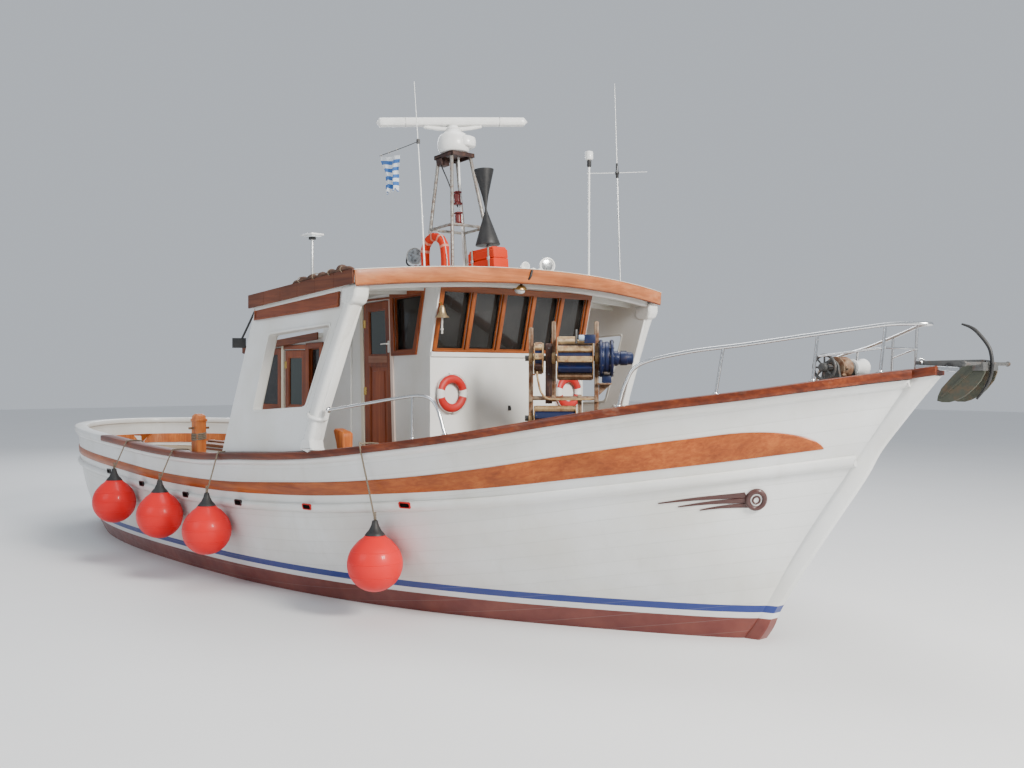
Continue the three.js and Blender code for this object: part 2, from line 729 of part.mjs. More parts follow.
function aftHouseRoof() {
  const [from, to] = [aftHouseEndX - 90, wheelhouseAftX - 2];
  const rings = [];
  for (let i = 0; i <= 8; i += 1) {
    const y = -(houseHalf + 95) + (2 * (houseHalf + 95) * i) / 8;
    const crown = 40 * (1 - (y / (houseHalf + 95)) ** 2);
    const low = aftRoofUnder;
    const high = (x) => aftRoofUnder(x) + aftRoofThickness + crown;
    rings.push([
      point(from, y, low(from)), point(from, y, high(from)), point(to, y, high(to)), point(to, y, low(to)),
    ]);
  }
  return loft(rings);
}

// The boat, piece by piece

const hull = hullBody();
const starboardCap = capRail();
const portCap = mirrored(starboardCap);
const starboardBulwark = bulwark();
const portBulwark = mirrored(starboardBulwark);
const deck = deckWithFittings();
const onDeck = (geometry) => standOn(geometry, deck);

// Steering stand inside the wheelhouse, with the wheel on its after face
function helmConsole() {
  const outline = [[2050, 900], [2340, 900], [2340, 2200], [2150, 2200], [2050, 1900]];
  return plate(outline, 900, 'y', 0);
}

function helmWheel() {
  const rim = new THREE.TorusGeometry(270, 16, 6, 16).rotateY(Math.PI / 2);
  const hub = bar(point(-30, 0, 0), point(60, 0, 0), 45, 10);
  const spokes = [0, 1, 2].map((i) => {
    const angle = (i * Math.PI) / 3;
    const tip = point(0, Math.cos(angle) * 330, Math.sin(angle) * 330);
    return bar(tip.clone().negate(), tip, 12, 4);
  });
  return join(rim, hub, ...spokes).translate(helmWheelPlace.x, helmWheelPlace.y, helmWheelPlace.z);
}

// Mast: four raked legs, a platform and the radar's fixed gearbox
function mast() {
  const [footX, footY] = [265, 345];
  const [headX, headY] = [120, 140];
  const corner = (t, i, j) => point(
    i * (footX + (headX - footX) * t), j * (footY + (headY - footY) * t), mastHeight * t,
  );
  const pieces = [];
  for (const i of [-1, 1]) {
    for (const j of [-1, 1]) pieces.push(bar(corner(-0.02, i, j), corner(1, i, j), 21, 5));
  }
  for (const t of [0.3, 0.66]) {
    for (const i of [-1, 1]) pieces.push(bar(corner(t, i, -1), corner(t, i, 1), 14, 4));
    for (const j of [-1, 1]) pieces.push(bar(corner(t, -1, j), corner(t, 1, j), 14, 4));
  }
  pieces.push(box(420, 420, 40, 0, 0, mastHeight + 10));
  pieces.push(box(600, 760, 26, 0, 0, -6));
  for (const t of [0.3, 0.66]) pieces.push(bar(corner(t, -1, 0), corner(t, 1, 0), 14, 4));
  pieces.push(bar(point(0, 0, mastHeight * 0.26), point(0, 0, mastHeight * 0.7), 45, 12));
  const housing = new THREE.SphereGeometry(200, 12, 6).scale(1, 0.85, 0.85);
  pieces.push(housing.translate(0, 0, mastHeight + 150));
  pieces.push(bar(point(0, 0, mastHeight + 30), point(0, 0, mastHeight + radarLift - 29), 95, 16));
  return join(...pieces);
}

function radarScanner() {
  const section = [[-55, 0], [-48, 80], [-20, 100], [20, 100], [48, 80], [55, 0]];
  const beam = plate(section, radarSpan, 'x', 0);
  const spindle = bar(point(0, 0, -28), point(0, 0, 20), 60, 16);
  return join(beam, spindle).translate(0, 0, 28).rotateZ(radarYaw);
}

// Day mark of two black cones, point to point, on a thin staff
function dayMark() {
  const profile = [[0, -430], [142, -425], [142, -415], [14, 0], [14, 20], [115, 440], [115, 450], [0, 455]];
  const staff = bar(point(0, 0, -dayMarkApex - 30), point(0, 0, 0), 12, 8);
  return join(upright(lathe(profile, 16)), staff).translate(0, 0, dayMarkApex);
}

// Horseshoe buoy, standing on its two ends with the arch up
function horseshoe() {
  const [outer, inner, legs] = [225, 135, 370];
  const shape = new THREE.Shape();
  shape.moveTo(outer, 0);
  shape.lineTo(outer, legs);
  shape.absarc(0, legs, outer, 0, Math.PI, false);
  shape.lineTo(-outer, 0);
  shape.lineTo(-inner, 0);
  shape.lineTo(-inner, legs);
  shape.absarc(0, legs, inner, Math.PI, 0, true);
  shape.lineTo(inner, 0);
  const flat = new THREE.ExtrudeGeometry(shape, { depth: 90, bevelEnabled: false, curveSegments: 10 });
  return flat.translate(0, 0, -45).rotateX(Math.PI / 2).translate(0, 0, 30);
}

// Life raft box on its board
function raftBox() {
  return join(box(480, 250, 24, 0, 0, 2), box(450, 225, 332, 0, 0, 155));
}

// Net reel, turned half way to the starboard bow: posts with a cross beam, two slatted drums
// over each other, and the motor. It is laid out along Y and turned about its own middle.

function turnReel(geometry) {
  return geometry.rotateZ(reelPlace.turn).translate(reelPlace.x, reelPlace.y, 0);
}

function reelFrame() {
  const deckLevel = 1180;
  const { aft, middle, low, fore } = reelPosts;
  const across = (sizeX, sizeZ, y, z) => box(sizeX, reelPostThickness, sizeZ, 0, y, z);
  const post = (y, from, to) => across(reelPostWidth, to - from, y, (from + to) / 2);
  const pieces = [
    post(aft, deckLevel, 2850), post(fore, deckLevel, 2912),
    post(middle, reelBeamHeight, 2912), post(low, deckLevel, reelBeamHeight),
  ];
  for (const y of [aft, middle, fore]) pieces.push(across(150, 150, y, reelAxis));
  for (const y of [aft, low]) pieces.push(across(150, 150, y, reelLowAxis));
  for (const y of Object.values(reelPosts)) pieces.push(across(184, 70, y, reelBeamHeight));
  for (const x of [-70, 70]) {
    pieces.push(box(40, fore - aft, 40, x, (fore + aft) / 2, reelBeamHeight));
  }
  for (const y of [aft, low, fore]) {
    for (const side of [-1, 1]) {
      pieces.push(bar(point(0, y, 1540), point(side * 190, y, deckLevel + 20), 17, 6));
    }
    pieces.push(box(440, 90, 40, 0, y, deckLevel + 90));
  }
  pieces.push(box(120, 78, 620, 0, middle - 50, 2380));
  pieces.push(box(150, 150, 40, 20, fore + 80, reelAxis - 270));
  const shaftBore = bar(point(0, -500, reelAxis), point(0, 500, reelAxis), 34, 12);
  const lowBore = bar(point(0, -500, reelLowAxis), point(0, 250, reelLowAxis), 34, 12);
  return cut(join(...pieces), shaftBore, lowBore);
}

// Drum: a core with slats along it, between two end discs
function slattedDrum(from, to, radius, slats) {
  const width = to - from;
  const pieces = [bar(point(0, from, 0), point(0, to, 0), radius - 40, 14)];
  for (let i = 0; i < slats; i += 1) {
    const slat = box(44, width - 30, 64, radius - 24, (from + to) / 2, 0);
    pieces.push(slat.rotateY((i * 2 * Math.PI) / slats));
  }
  pieces.push(bar(point(0, from, 0), point(0, from + 12, 0), radius - 6, 16));
  pieces.push(bar(point(0, to - 12, 0), point(0, to, 0), radius - 6, 16));
  return pieces;
}

function reelDrum() {
  const shaft = bar(point(0, reelPosts.aft - 60, 0), point(0, reelPosts.fore + 18, 0), 29, 10);
  const drums = [
    ...slattedDrum(reelPosts.middle + reelClearance, reelPosts.fore - reelClearance, 225, 10),
    ...slattedDrum(reelPosts.aft + reelClearance, reelPosts.aft + 128, 165, 7),
  ];
  return turnReel(join(shaft, ...drums).translate(0, 0, reelAxis));
}

function reelLowDrum() {
  const shaft = bar(point(0, reelPosts.aft - 60, 0), point(0, reelPosts.low + 50, 0), 29, 10);
  const drum = slattedDrum(reelPosts.aft + reelClearance, reelPosts.low - reelClearance, 135, 7);
  return turnReel(join(shaft, ...drum).translate(0, 0, reelLowAxis));
}

// Motor on the fore post, with its pump's nose in line with the shaft
function reelMotor() {
  const start = reelPosts.fore + 22.4;
  const centre = (y, z = 0) => point(0, y, reelAxis + z);
  const body = bar(centre(start), centre(start + 150), 190, 16);
  const nose = bar(centre(start + 130), centre(start + 352), 76, 14, 60);
  const foot = box(120, 100, 120, 20, start + 80, reelAxis - 189.6);
  return turnReel(join(body, nose, foot));
}

// Windlass: two cheeks on a bed; chain wheel between them, handwheel and warping drum outside

function windlassFrame() {
  const foot = windlassAxis - 420;
  const bed = box(340, 330, 60, windlassX, -22, foot + 40);
  const pads = box(300, 260, 160, windlassX, -22, foot - 40);
  const cheeks = windlassCheeks.map((y) => plate([
    [windlassX - 150, foot + 50], [windlassX + 150, foot + 50],
    [windlassX + 62, windlassAxis + 62], [windlassX - 62, windlassAxis + 62],
  ], 30, 'y', y));
  const bore = bar(point(windlassX, -400, windlassAxis), point(windlassX, 400, windlassAxis), 31, 16);
  return cut(join(bed, ...cheeks, pads), bore);
}

function windlassDrum() {
  const profile = [
    [0, -310], [30, -310], [40, -290], [112, -275], [115, -235], [50, -215], [26, -205],
    [26, -105], [92, -95], [60, -30], [60, -10], [92, 55], [26, 65],
    [26, 150], [74, 158], [60, 195], [60, 300], [78, 345], [74, 362], [0, 366],
  ];
  return lathe(profile, 14).translate(windlassX, 0, windlassAxis);
}

// Stainless bow rail: two sides that meet over the stem head, on posts to the cap rail
function bowRail() {
  const railHeight = 376;
  const place = (x, side, lift) => {
    const inboard = Math.max(railHalf(x) - 20, 20);
    return point(x, side * inboard, railTopHeight(x) + lift);
  };
  const pieces = [];
  const run = [5400, 5560, 5900, 6300, 6700, 7000, 7200];
  const lifts = [2, 330, railHeight, railHeight, railHeight, railHeight, railHeight];
  const starboard = run.map((x, i) => place(x, -1, lifts[i]));
  const port = run.map((x, i) => place(x, 1, lifts[i])).reverse();
  const nose = point(7400, 0, railTopHeight(7400) + railHeight - 30);
  pieces.push(tube([...starboard, nose, ...port], 17, 28, 6));
  for (const x of [6150, 6750, 7150]) {
    for (const side of [-1, 1]) pieces.push(bar(place(x, side, 1.5), place(x, side, railHeight - 4), 13, 6));
  }
  return join(...pieces);
}

function handrail() {
  const lift = (x, h) => point(x, -(railHalf(x) - 30), railTopHeight(x) + h);
  const places = [[2260, 396], [2700, 401], [3300, 406], [3560, 386], [3700, 280], [3800, 2]];
  const run = places.map(([x, h]) => lift(x, h));
  const post = bar(lift(3420, 1.5), lift(3420, 401), 13, 8);
  return join(tube(run, 16, 14, 6), post);
}

// Bitt standing on deck inside the cap rail: upright with a collar, or leaning aft and flared
function bitt(x, side, rise, lean) {
  const y = side * (skinHalf(x - 75, deckEdgeHeight(x)) - bulwarkThickness - 115);
  const foot = deckHeight(x, y) - 20;
  const top = sheerHeight(x) + rise;
  if (lean > 0) {
    const head = x - lean;
    const outline = [[x - 62, foot], [x + 62, foot], [head + 92, top - 20], [head - 92, top]];
    return plate(outline, 120, 'y', y);
  }
  return join(box(150, 130, top - foot, x, y, (top + foot) / 2), box(176, 156, 34, x, y, top - 70));
}

// Hatches: a coaming rises from the deck, and its lid is hinged on one edge
function coaming(spec) {
  const low = deckHeight(spec.x, spec.sizeY / 2) - deckThickness * 0.5;
  const height = spec.top - low;
  return box(spec.sizeX, spec.sizeY, height, spec.x, 0, low + height / 2);
}

function deckWithFittings() {
  const pieces = [deckBody(), coaming(holdHatch), coaming(foreHatch)];
  for (const [x, rise, lean] of bittPlaces) {
    for (const side of [-1, 1]) pieces.push(bitt(x, side, rise, lean));
  }
  return cut(join(...pieces), hatchWell(holdHatch), hatchWell(foreHatch));
}

function hatchLid(spec) {
  const lid = box(spec.sizeX + 50, spec.sizeY + 50, 45, spec.x, 0, spec.top + seatGap + 22.5);
  const battens = [-0.3, 0, 0.3].map((share) => box(
    spec.sizeX - 60, 70, 24, spec.x, share * spec.sizeY, spec.top + seatGap + 45 + 10,
  ));
  return join(lid, ...battens);
}

// Anchor with flat hinged flukes and a curved arm, stowed with its shank over the stem head
function anchorShank() {
  const outline = [[7280, 2452], [7280, 2492], [7860, 2500], [7880, 2440], [7840, 2430], [7400, 2446]];
  const shank = plate(outline, 36, 'y', 0);
  const roller = bar(point(7560, -60, 2442), point(7560, 60, 2442), 34, 12);
  const horn = plate([[7290, 2440], [7640, 2404], [7660, 2440], [7300, 2462]], 100, 'y', 0);
  const arm = tube([
    point(7652, 0, 2776), point(7780, 0, 2710), point(7868, 0, 2590), point(7894, 0, 2466),
    point(7880, 0, 2370), point(7838, 0, 2280), point(7774, 0, 2195),
  ], 14, 12, 6);
  const { x, z } = anchorCrown;
  const stockHole = bar(point(x, -60, z), point(x, 60, z), 18, 16);
  return cut(join(shank, roller, horn, arm), stockHole);
}

function anchorFlukes() {
  const blade = (side) => {
    const outline = [
      [-30, 10], [40, -60], [-110, -250], [-230, -300], [-330, -290], [-300, -190], [-110, 10],
    ];
    return plate(outline, 14, 'y', 0).rotateX(side * 0.12).translate(0, side * 95, 0);
  };
  const stock = bar(point(0, -380, 0), point(0, 380, 0), 15, 10);
  const crown = [-1, 1].map((side) => box(90, 90, 70, -10, side * 85, -20));
  return join(blade(-1), blade(1), stock, ...crown).translate(anchorCrown.x, 0, anchorCrown.z);
}

// Extra room where the topsides lean out over the ball
function fenderFlare(x, z) {
  return Math.max(skinHalf(x, z + fenderRadius * 0.7) - skinHalf(x, z) - fenderRadius * 0.25, 0);
}

// Ball fender: shoulders that run up to a black cone, and its line up to the cap rail
function fender(x, z) {
  const slope = (skinHalf(x + 20, z) - skinHalf(x - 20, z)) / 40;
  const y = -(skinHalf(x, z) + (fenderRadius + 22) * Math.hypot(1, slope) + fenderFlare(x, z));
  const round = Array.from({ length: 8 }, (_, i) => {
    const angle = ((i / 7) * 135 - 90) * THREE.MathUtils.DEG2RAD;
    return [fenderRadius * Math.cos(angle), fenderRadius * Math.sin(angle)];
  });
  round[0][0] = 0;
  const shoulder = fenderRadius * Math.SQRT2;
  const cone = [[86, shoulder - 86], [70, shoulder - 66], [26, shoulder + 40], [0, shoulder + 42]];
  const profile = [...round, ...cone];
  const ball = upright(lathe(profile, 16)).translate(x, y, z);
  const railY = Math.min(-(railHalf(x) + capOverhang + 30), y);
  const line = bar(point(x, y, z + shoulder + 10), point(x, railY, railTopHeight(x) - 8), 9, 6);
  return join(ball, line);
}

function lifebuoy() {
  return new THREE.TorusGeometry(155, 45, 6, 18).rotateY(Math.PI / 2).scale(0.75, 1, 1);
}

function searchlight() {
  const height = 400;
  const can = bar(point(-80, 0, height), point(90, 0, height), 70, 16, 98);
  const stem = bar(point(0, 0, -30), point(0, 0, height), 20, 10);
  return join(can, stem).rotateZ(-0.75);
}

// Pole aerials: height of each and what it carries at its head
function aerial(x, y, height, radius, head) {
  const pole = bar(point(0, 0, -30), point(0, 0, height), radius, 8);
  const pieces = [pole, bar(point(0, 0, -30), point(0, 0, 60), 42, 12)];
  if (head === 'can') pieces.push(bar(point(0, 0, height - 60), point(0, 0, height + 60), 48, 12));
  if (head === 'plate') pieces.push(box(230, 160, 26, 0, 0, height));
  if (head === 'arms') {
    for (const [ax, ay] of [[-250, -270], [250, -270]]) {
      pieces.push(bar(point(ax, ay, height * 0.565), point(-ax, -ay, height * 0.565), 8, 8));
    }
    pieces.push(bar(point(0, 0, height * 0.54), point(0, 0, height * 0.62), 24, 10));
  }
  const lean = head === 'arms' ? rake / 2 : 0;
  return standOn(join(...pieces).rotateY(lean).translate(x, y, roofTopAt(x, y)), canopy);
}

// Flag staff with a short yard, and the cloth that hangs from the yard

function flagStaff() {
  const staff = bar(point(0, 0, -20), point(0, 0, flagStaffHeight), 9, 6);
  return join(staff, bar(point(0, 0, yardHeight), point(-yardLength, 0, yardHeight), yardRadius, 6));
}

function flagCloth() {
  const [width, height] = flagSize;
  const top = yardHeight - yardRadius - 0.6;
  return box(width, 6, height, 10 + width / 2 - yardLength, 0, top - height / 2);
}

const roofTopAt = (x, y) => roofUnder(x) + roofThickness + roofCrown(y);
const rake = -Math.atan(roofSlope);

// Sets a shape made about its own foot on the canopy, raked with it
function onRoof(geometry, x, y, lift = 0) {
  return standOn(geometry.rotateY(rake).translate(x, y, roofTopAt(x, y) + lift), canopy);
}

const canopy = roofBody();

add('hull', hull, finishes.whitePaint);
add('bulwark_starboard', starboardBulwark, finishes.whitePaint);
add('bulwark_port', portBulwark, finishes.whitePaint);
add('cap_rail_starboard', starboardCap, finishes.capVarnish);
add('cap_rail_port', portCap, finishes.capVarnish);
add('deck', deck, finishes.deckWood);
add('rub_strake_starboard', rubStrake(), finishes.whitePaint);
add('rub_strake_port', mirrored(rubStrake()), finishes.whitePaint);
add('varnished_strake_starboard', varnishedStrake(), finishes.varnish);
add('varnished_strake_port', mirrored(varnishedStrake()), finishes.varnish);
add('backbone', backbone([hull, starboardBulwark, portBulwark, starboardCap, portCap]), finishes.redBottom);
add('propeller', propeller(), finishes.bronze);
add('rudder', rudder(), finishes.redBottom);

add('wheelhouse_front', underRoof(onDeck(frontWall())), finishes.whitePaint);
add('wheelhouse_side_starboard', underRoof(onDeck(sideWall(-houseHalf))), finishes.whitePaint);
add('wheelhouse_side_port', underRoof(onDeck(sideWall(houseHalf))), finishes.whitePaint);
add('wheelhouse_aft', underRoof(onDeck(aftWall())), finishes.whitePaint);
add('wheelhouse_glass', frontGlass(), finishes.glass);
for (const [name, side] of [['starboard', -1], ['port', 1]]) {
  add(`door_${name}`, doorLeaf(doorOutline, doorPane, side * doorPlane), finishes.varnish);
  add(`aft_door_${name}`, doorLeaf(aftHouseDoor, aftHousePane, side * doorPlane), finishes.varnish);
  const glassPlane = side * (houseHalf - wallThickness / 2 - 4.5);
  add(`side_glass_${name}`, plate(sideGlass, 8, 'y', glassPlane), finishes.glass);
}
add('canopy_roof', canopy, finishes.paleVarnish);
const starboardScreen = underRoof(standOn(sideScreen(), starboardCap));
add('side_screen_starboard', starboardScreen, finishes.whitePaint);
add('side_screen_port', mirrored(starboardScreen), finishes.whitePaint);
add('helm_console', onDeck(helmConsole()), finishes.varnish);
add('helm_wheel', helmWheel(), finishes.varnish);

add('aft_house', onDeck(aftHouse()), finishes.varnish);
add('aft_house_roof', aftHouseRoof(), finishes.whitePaint);

const scanner = radarScanner().translate(0, 0, mastHeight + radarLift);
add('mast', onRoof(mast(), ...mastPlace, 10), finishes.stainless);
add('radar_scanner', onRoof(scanner, ...mastPlace, 10), finishes.whitePaint);
add('flag_staff', onRoof(flagStaff(), ...flagPlace), finishes.whitePaint);
add('flag', onRoof(flagCloth(), ...flagPlace), finishes.flagBlue);
add('day_mark', onRoof(dayMark(), ...dayMarkPlace), finishes.black);
add('horseshoe_buoy', onRoof(horseshoe(), ...horseshoePlace), finishes.orange);
add('raft_box', onRoof(raftBox(), ...raftPlace), finishes.orange);
add('searchlight', onRoof(searchlight(), ...searchlightPlace), finishes.greyMetal);
add('pole_lamp', aerial(950, -1630, 640, 16, 'plate'), finishes.greyMetal);
add('pole_can', aerial(2610, 1100, 1480, 16, 'can'), finishes.whitePaint);
add('pole_arms', aerial(2520, 1750, 2520, 12, 'arms'), finishes.whitePaint);

add('reel_frame', onDeck(turnReel(reelFrame())), finishes.rustySteel);
add('reel_drum', reelDrum(), finishes.navy);
add('reel_low_drum', reelLowDrum(), finishes.navy);
add('reel_motor', reelMotor(), finishes.navy);
add('windlass_frame', clearOf(windlassFrame(), [deck], [[0, 0, 1], [1, 0, 1]]), finishes.darkSteel);
add('windlass_drum', windlassDrum(), finishes.whitePaint);
add('bow_rail', standOn(bowRail(), starboardCap, portCap), finishes.stainless);
add('handrail', standOn(handrail(), starboardCap), finishes.stainless);
add('anchor_shank', standOn(anchorShank(), starboardCap, portCap), finishes.darkSteel);
add('anchor_flukes', anchorFlukes(), finishes.darkSteel);
for (const [i, place] of fenderPlaces.entries()) add(`fender_${i + 1}`, fender(...place), finishes.red);
for (const side of [-1, 1]) {
  const name = side < 0 ? 'starboard' : 'port';
  add(`lifebuoy_${name}`, lifebuoy().translate(frontX + 40, side * 880, 2165), finishes.whitePaint);
}
add('hold_lid', hatchLid(holdHatch), finishes.varnish);
add('fore_lid', hatchLid(foreHatch), finishes.varnish);

export default object;
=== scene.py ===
import math

import bmesh
import bpy
from mathutils import Matrix, Vector, noise


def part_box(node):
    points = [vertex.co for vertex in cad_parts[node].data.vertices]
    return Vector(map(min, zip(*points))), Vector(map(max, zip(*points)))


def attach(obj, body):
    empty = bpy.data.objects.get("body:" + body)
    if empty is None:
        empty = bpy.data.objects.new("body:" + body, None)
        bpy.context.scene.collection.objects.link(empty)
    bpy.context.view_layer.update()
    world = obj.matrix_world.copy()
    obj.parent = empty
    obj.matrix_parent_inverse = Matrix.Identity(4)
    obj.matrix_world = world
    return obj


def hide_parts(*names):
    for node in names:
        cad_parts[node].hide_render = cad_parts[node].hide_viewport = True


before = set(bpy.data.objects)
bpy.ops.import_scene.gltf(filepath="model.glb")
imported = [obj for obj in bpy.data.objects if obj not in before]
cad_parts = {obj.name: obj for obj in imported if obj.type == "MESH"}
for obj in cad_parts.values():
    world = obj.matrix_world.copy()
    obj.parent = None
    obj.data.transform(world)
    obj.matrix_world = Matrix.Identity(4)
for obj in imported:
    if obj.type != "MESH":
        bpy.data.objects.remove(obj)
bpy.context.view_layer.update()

tau = 2 * math.pi


# Parts: vertices and faces gathered in plain lists, one finish per face

def newPart():
    return {"verts": [], "faces": [], "finishOf": [], "finishes": [], "layers": {}}


def addFaces(part, verts, faces, finish):
    if finish not in part["finishes"]:
        part["finishes"].append(finish)
    start = len(part["verts"])
    part["verts"].extend(Vector(v) for v in verts)
    part["faces"].extend(tuple(start + i for i in face) for face in faces)
    part["finishOf"].extend([part["finishes"].index(finish)] * len(faces))


def addMesh(part, mesh, finish, place=None):
    verts = [place @ v.co if place else v.co.copy() for v in mesh.vertices]
    addFaces(part, verts, [tuple(f.vertices) for f in mesh.polygons], finish)


# rows of points become a skin; closed joins the last point of each row to its first
def addGrid(part, rows, finish, closed=False, capStart=False, capEnd=False, flip=False):
    count = len(rows[0])
    verts = [p for row in rows for p in row]
    faces = []
    for i in range(len(rows) - 1):
        for j in range(count if closed else count - 1):
            a, b = i * count + j, i * count + (j + 1) % count
            quad = (a, b, b + count, a + count)
            faces.append(quad[::-1] if flip else quad)
    first = tuple(range(count))
    last = tuple(range((len(rows) - 1) * count, len(rows) * count))
    if capStart:
        faces.append(first if flip else first[::-1])
    if capEnd:
        faces.append(last[::-1] if flip else last)
    addFaces(part, verts, faces, finish)


# closed section carried through rows and capped at both ends
def addLoft(part, rows, finish, flip=False):
    addGrid(part, rows, finish, closed=True, capStart=True, capEnd=True, flip=flip)


def addBox(part, size, centre, finish, turn=None):
    half = Vector(size) / 2
    corners = [Vector((x * half.x, y * half.y, z * half.z)) for x in (-1, 1) for y in (-1, 1)
               for z in (-1, 1)]
    if turn:
        corners = [turn @ c for c in corners]
    faces = [(0, 1, 3, 2), (4, 6, 7, 5), (0, 4, 5, 1), (2, 3, 7, 6), (0, 2, 6, 4), (1, 5, 7, 3)]
    addFaces(part, [c + Vector(centre) for c in corners], faces, finish)


def ringPoints(centre, sideways, upward, radius, sides):
    angles = [tau * k / sides for k in range(sides)]
    return [centre + sideways * math.cos(a) * radius + upward * math.sin(a) * radius for a in angles]


def squareTo(along):
    rough = Vector((0, 0, 1)) if abs(along.z) < 0.9 else Vector((1, 0, 0))
    sideways = along.cross(rough).normalized()
    return sideways, sideways.cross(along).normalized()


def addBar(part, start, end, radius, finish, sides=16, endRadius=None):
    start, end = Vector(start), Vector(end)
    sideways, upward = squareTo((end - start).normalized())
    far = radius if endRadius is None else endRadius
    rows = [ringPoints(start, sideways, upward, radius, sides), ringPoints(end, sideways, upward, far,
                                                                           sides)]
    addLoft(part, rows, finish, flip=True)


# smooth line through points, each stretch cut in steps
def curveThrough(points, steps=8, closed=False):
    points = [Vector(p) for p in points]
    count = len(points)
    line = []
    for i in range(count if closed else count - 1):
        p1, p2 = points[i], points[(i + 1) % count]
        p0 = points[i - 1] if i or closed else p1 * 2 - p2
        p3 = points[(i + 2) % count] if i + 2 < count or closed else p2 * 2 - p1
        for k in range(steps):
            t = k / steps
            line.append(0.5 * (2 * p1 + (p2 - p0) * t + (2 * p0 - 5 * p1 + 4 * p2 - p3) * t * t
                               + (3 * p1 - p0 - 3 * p2 + p3) * t ** 3))
    if not closed:
        line.append(points[-1])
    return line


def directionAt(line, i, closed=False):
    before = line[i - 1] if i or closed else line[0]
    after = line[(i + 1) % len(line)] if i + 1 < len(line) or closed else line[-1]
    return (after - before).normalized()


# sweeps a section of (across, up) pairs along a line and keeps its up direction near +Z
def addSweep(part, line, section, finish):
    rows = []
    for i, p in enumerate(line):
        along = directionAt(line, i)
        sideways = along.cross(Vector((0, 0, 1))).normalized()
        upward = sideways.cross(along).normalized()
        rows.append([p + sideways * a + upward * b for a, b in section])
    addLoft(part, rows, finish)


# round tube whose section doesn't twist
def addTube(part, points, radius, finish, sides=10, steps=6, closed=False):
    line = curveThrough(points, steps, closed) if steps > 1 else [Vector(p) for p in points]
    sideways = squareTo((line[1] - line[0]).normalized())[0]
    rows = []
    for i, p in enumerate(line):
        along = directionAt(line, i, closed)
        sideways = (sideways - along * sideways.dot(along)).normalized()
        upward = sideways.cross(along).normalized()
        rows.append(ringPoints(p, sideways, upward, radius, sides))
    if closed:
        rows.append(rows[0])
    addGrid(part, rows, finish, closed=True, capStart=not closed, capEnd=not closed, flip=True)


# turns a profile of (radius, height) pairs round an axis
def addLathe(part, profile, centre, axis, finish, segments=28):
    axis = Vector(axis).normalized()
    sideways, upward = squareTo(axis)
    rows = []
    for radius, height in profile:
        rows.append(ringPoints(Vector(centre) + axis * height, sideways, upward, max(radius, 0.00005),
                               segments))
    openStart, openEnd = (profile[k][0] > 0.001 for k in (0, -1))
    addGrid(part, rows, finish, closed=True, capStart=openStart, capEnd=openEnd, flip=True)


def addRing(part, centre, axis, radius, thickness, finish, segments=36, sides=12):
    sideways, upward = squareTo(Vector(axis).normalized())
    points = ringPoints(Vector(centre), sideways, upward, radius, segments)
    addTube(part, points, thickness, finish, sides=sides, steps=1, closed=True)


# flat plate with rounded edges: outlines[0] is its edge, the others are holes
plateFrames = {
    "x": Matrix(((0, 0, 1, 0), (1, 0, 0, 0), (0, 1, 0, 0), (0, 0, 0, 1))),
    "y": Matrix(((1, 0, 0, 0), (0, 0, -1, 0), (0, 1, 0, 0), (0, 0, 0, 1))),
    "z": Matrix.Identity(4),
}


def addPlate(part, outlines, thickness, axis, offset, finish, edge=0.004, place=None):
    curve = bpy.data.curves.new("outline", "CURVE")
    curve.dimensions, curve.fill_mode = "2D", "BOTH"
    curve.bevel_depth, curve.bevel_resolution = edge, 1
    curve.extrude, curve.offset = thickness / 2 - edge, -edge
    for outline in outlines:
        spline = curve.splines.new("POLY")
        spline.points.add(len(outline) - 1)
        for target, (a, b) in zip(spline.points, outline):
            target.co = (a, b, 0, 1)
        spline.use_cyclic_u = True
    carrier = bpy.data.objects.new("outline", curve)
    mesh = bpy.data.meshes.new_from_object(carrier)
    shift = {"x": (offset, 0, 0), "y": (0, offset, 0), "z": (0, 0, offset)}[axis]
    matrix = Matrix.Translation(shift) @ plateFrames[axis]
    addMesh(part, mesh, finish, place @ matrix if place else matrix)
    bpy.data.objects.remove(carrier)
    bpy.data.curves.remove(curve)
    bpy.data.meshes.remove(mesh)


def arc(centre, radius, fromDeg, toDeg, count):
    angles = [math.radians(fromDeg + (toDeg - fromDeg) * k / count) for k in range(count + 1)]
    return [(centre[0] + math.cos(a) * radius, centre[1] + math.sin(a) * radius) for a in angles]


# count + 1 values from start to end
def spread(start, end, count):
    return [start + (end - start) * k / count for k in range(count + 1)]


def rectangle(lowA, lowB, highA, highB):
    return [(lowA, lowB), (highA, lowB), (highA, highB), (lowA, highB)]


def oval(a, b, wide, tall, count):
    return [(a + math.cos(tau * k / count) * wide, b + math.sin(tau * k / count) * tall)
            for k in range(count)]


def circle(a, b, radius, count):
    return oval(a, b, radius, radius, count)


def around(spot, points):
    return [spot + Vector(p) for p in points]


def roundedBox(lowA, lowB, highA, highB, radius, count=5):
    corners = [(highA - radius, highB - radius, 0), (lowA + radius, highB - radius, 90),
               (lowA + radius, lowB + radius, 180), (highA - radius, lowB + radius, 270)]
    return [p for a, b, start in corners for p in arc((a, b), radius, start, start + 90, count)]


def mirrorPart(part):
    copy = dict(part)
    copy["verts"] = [Vector((v.x, -v.y, v.z)) for v in part["verts"]]
    copy["faces"] = [face[::-1] for face in part["faces"]]
    return copy


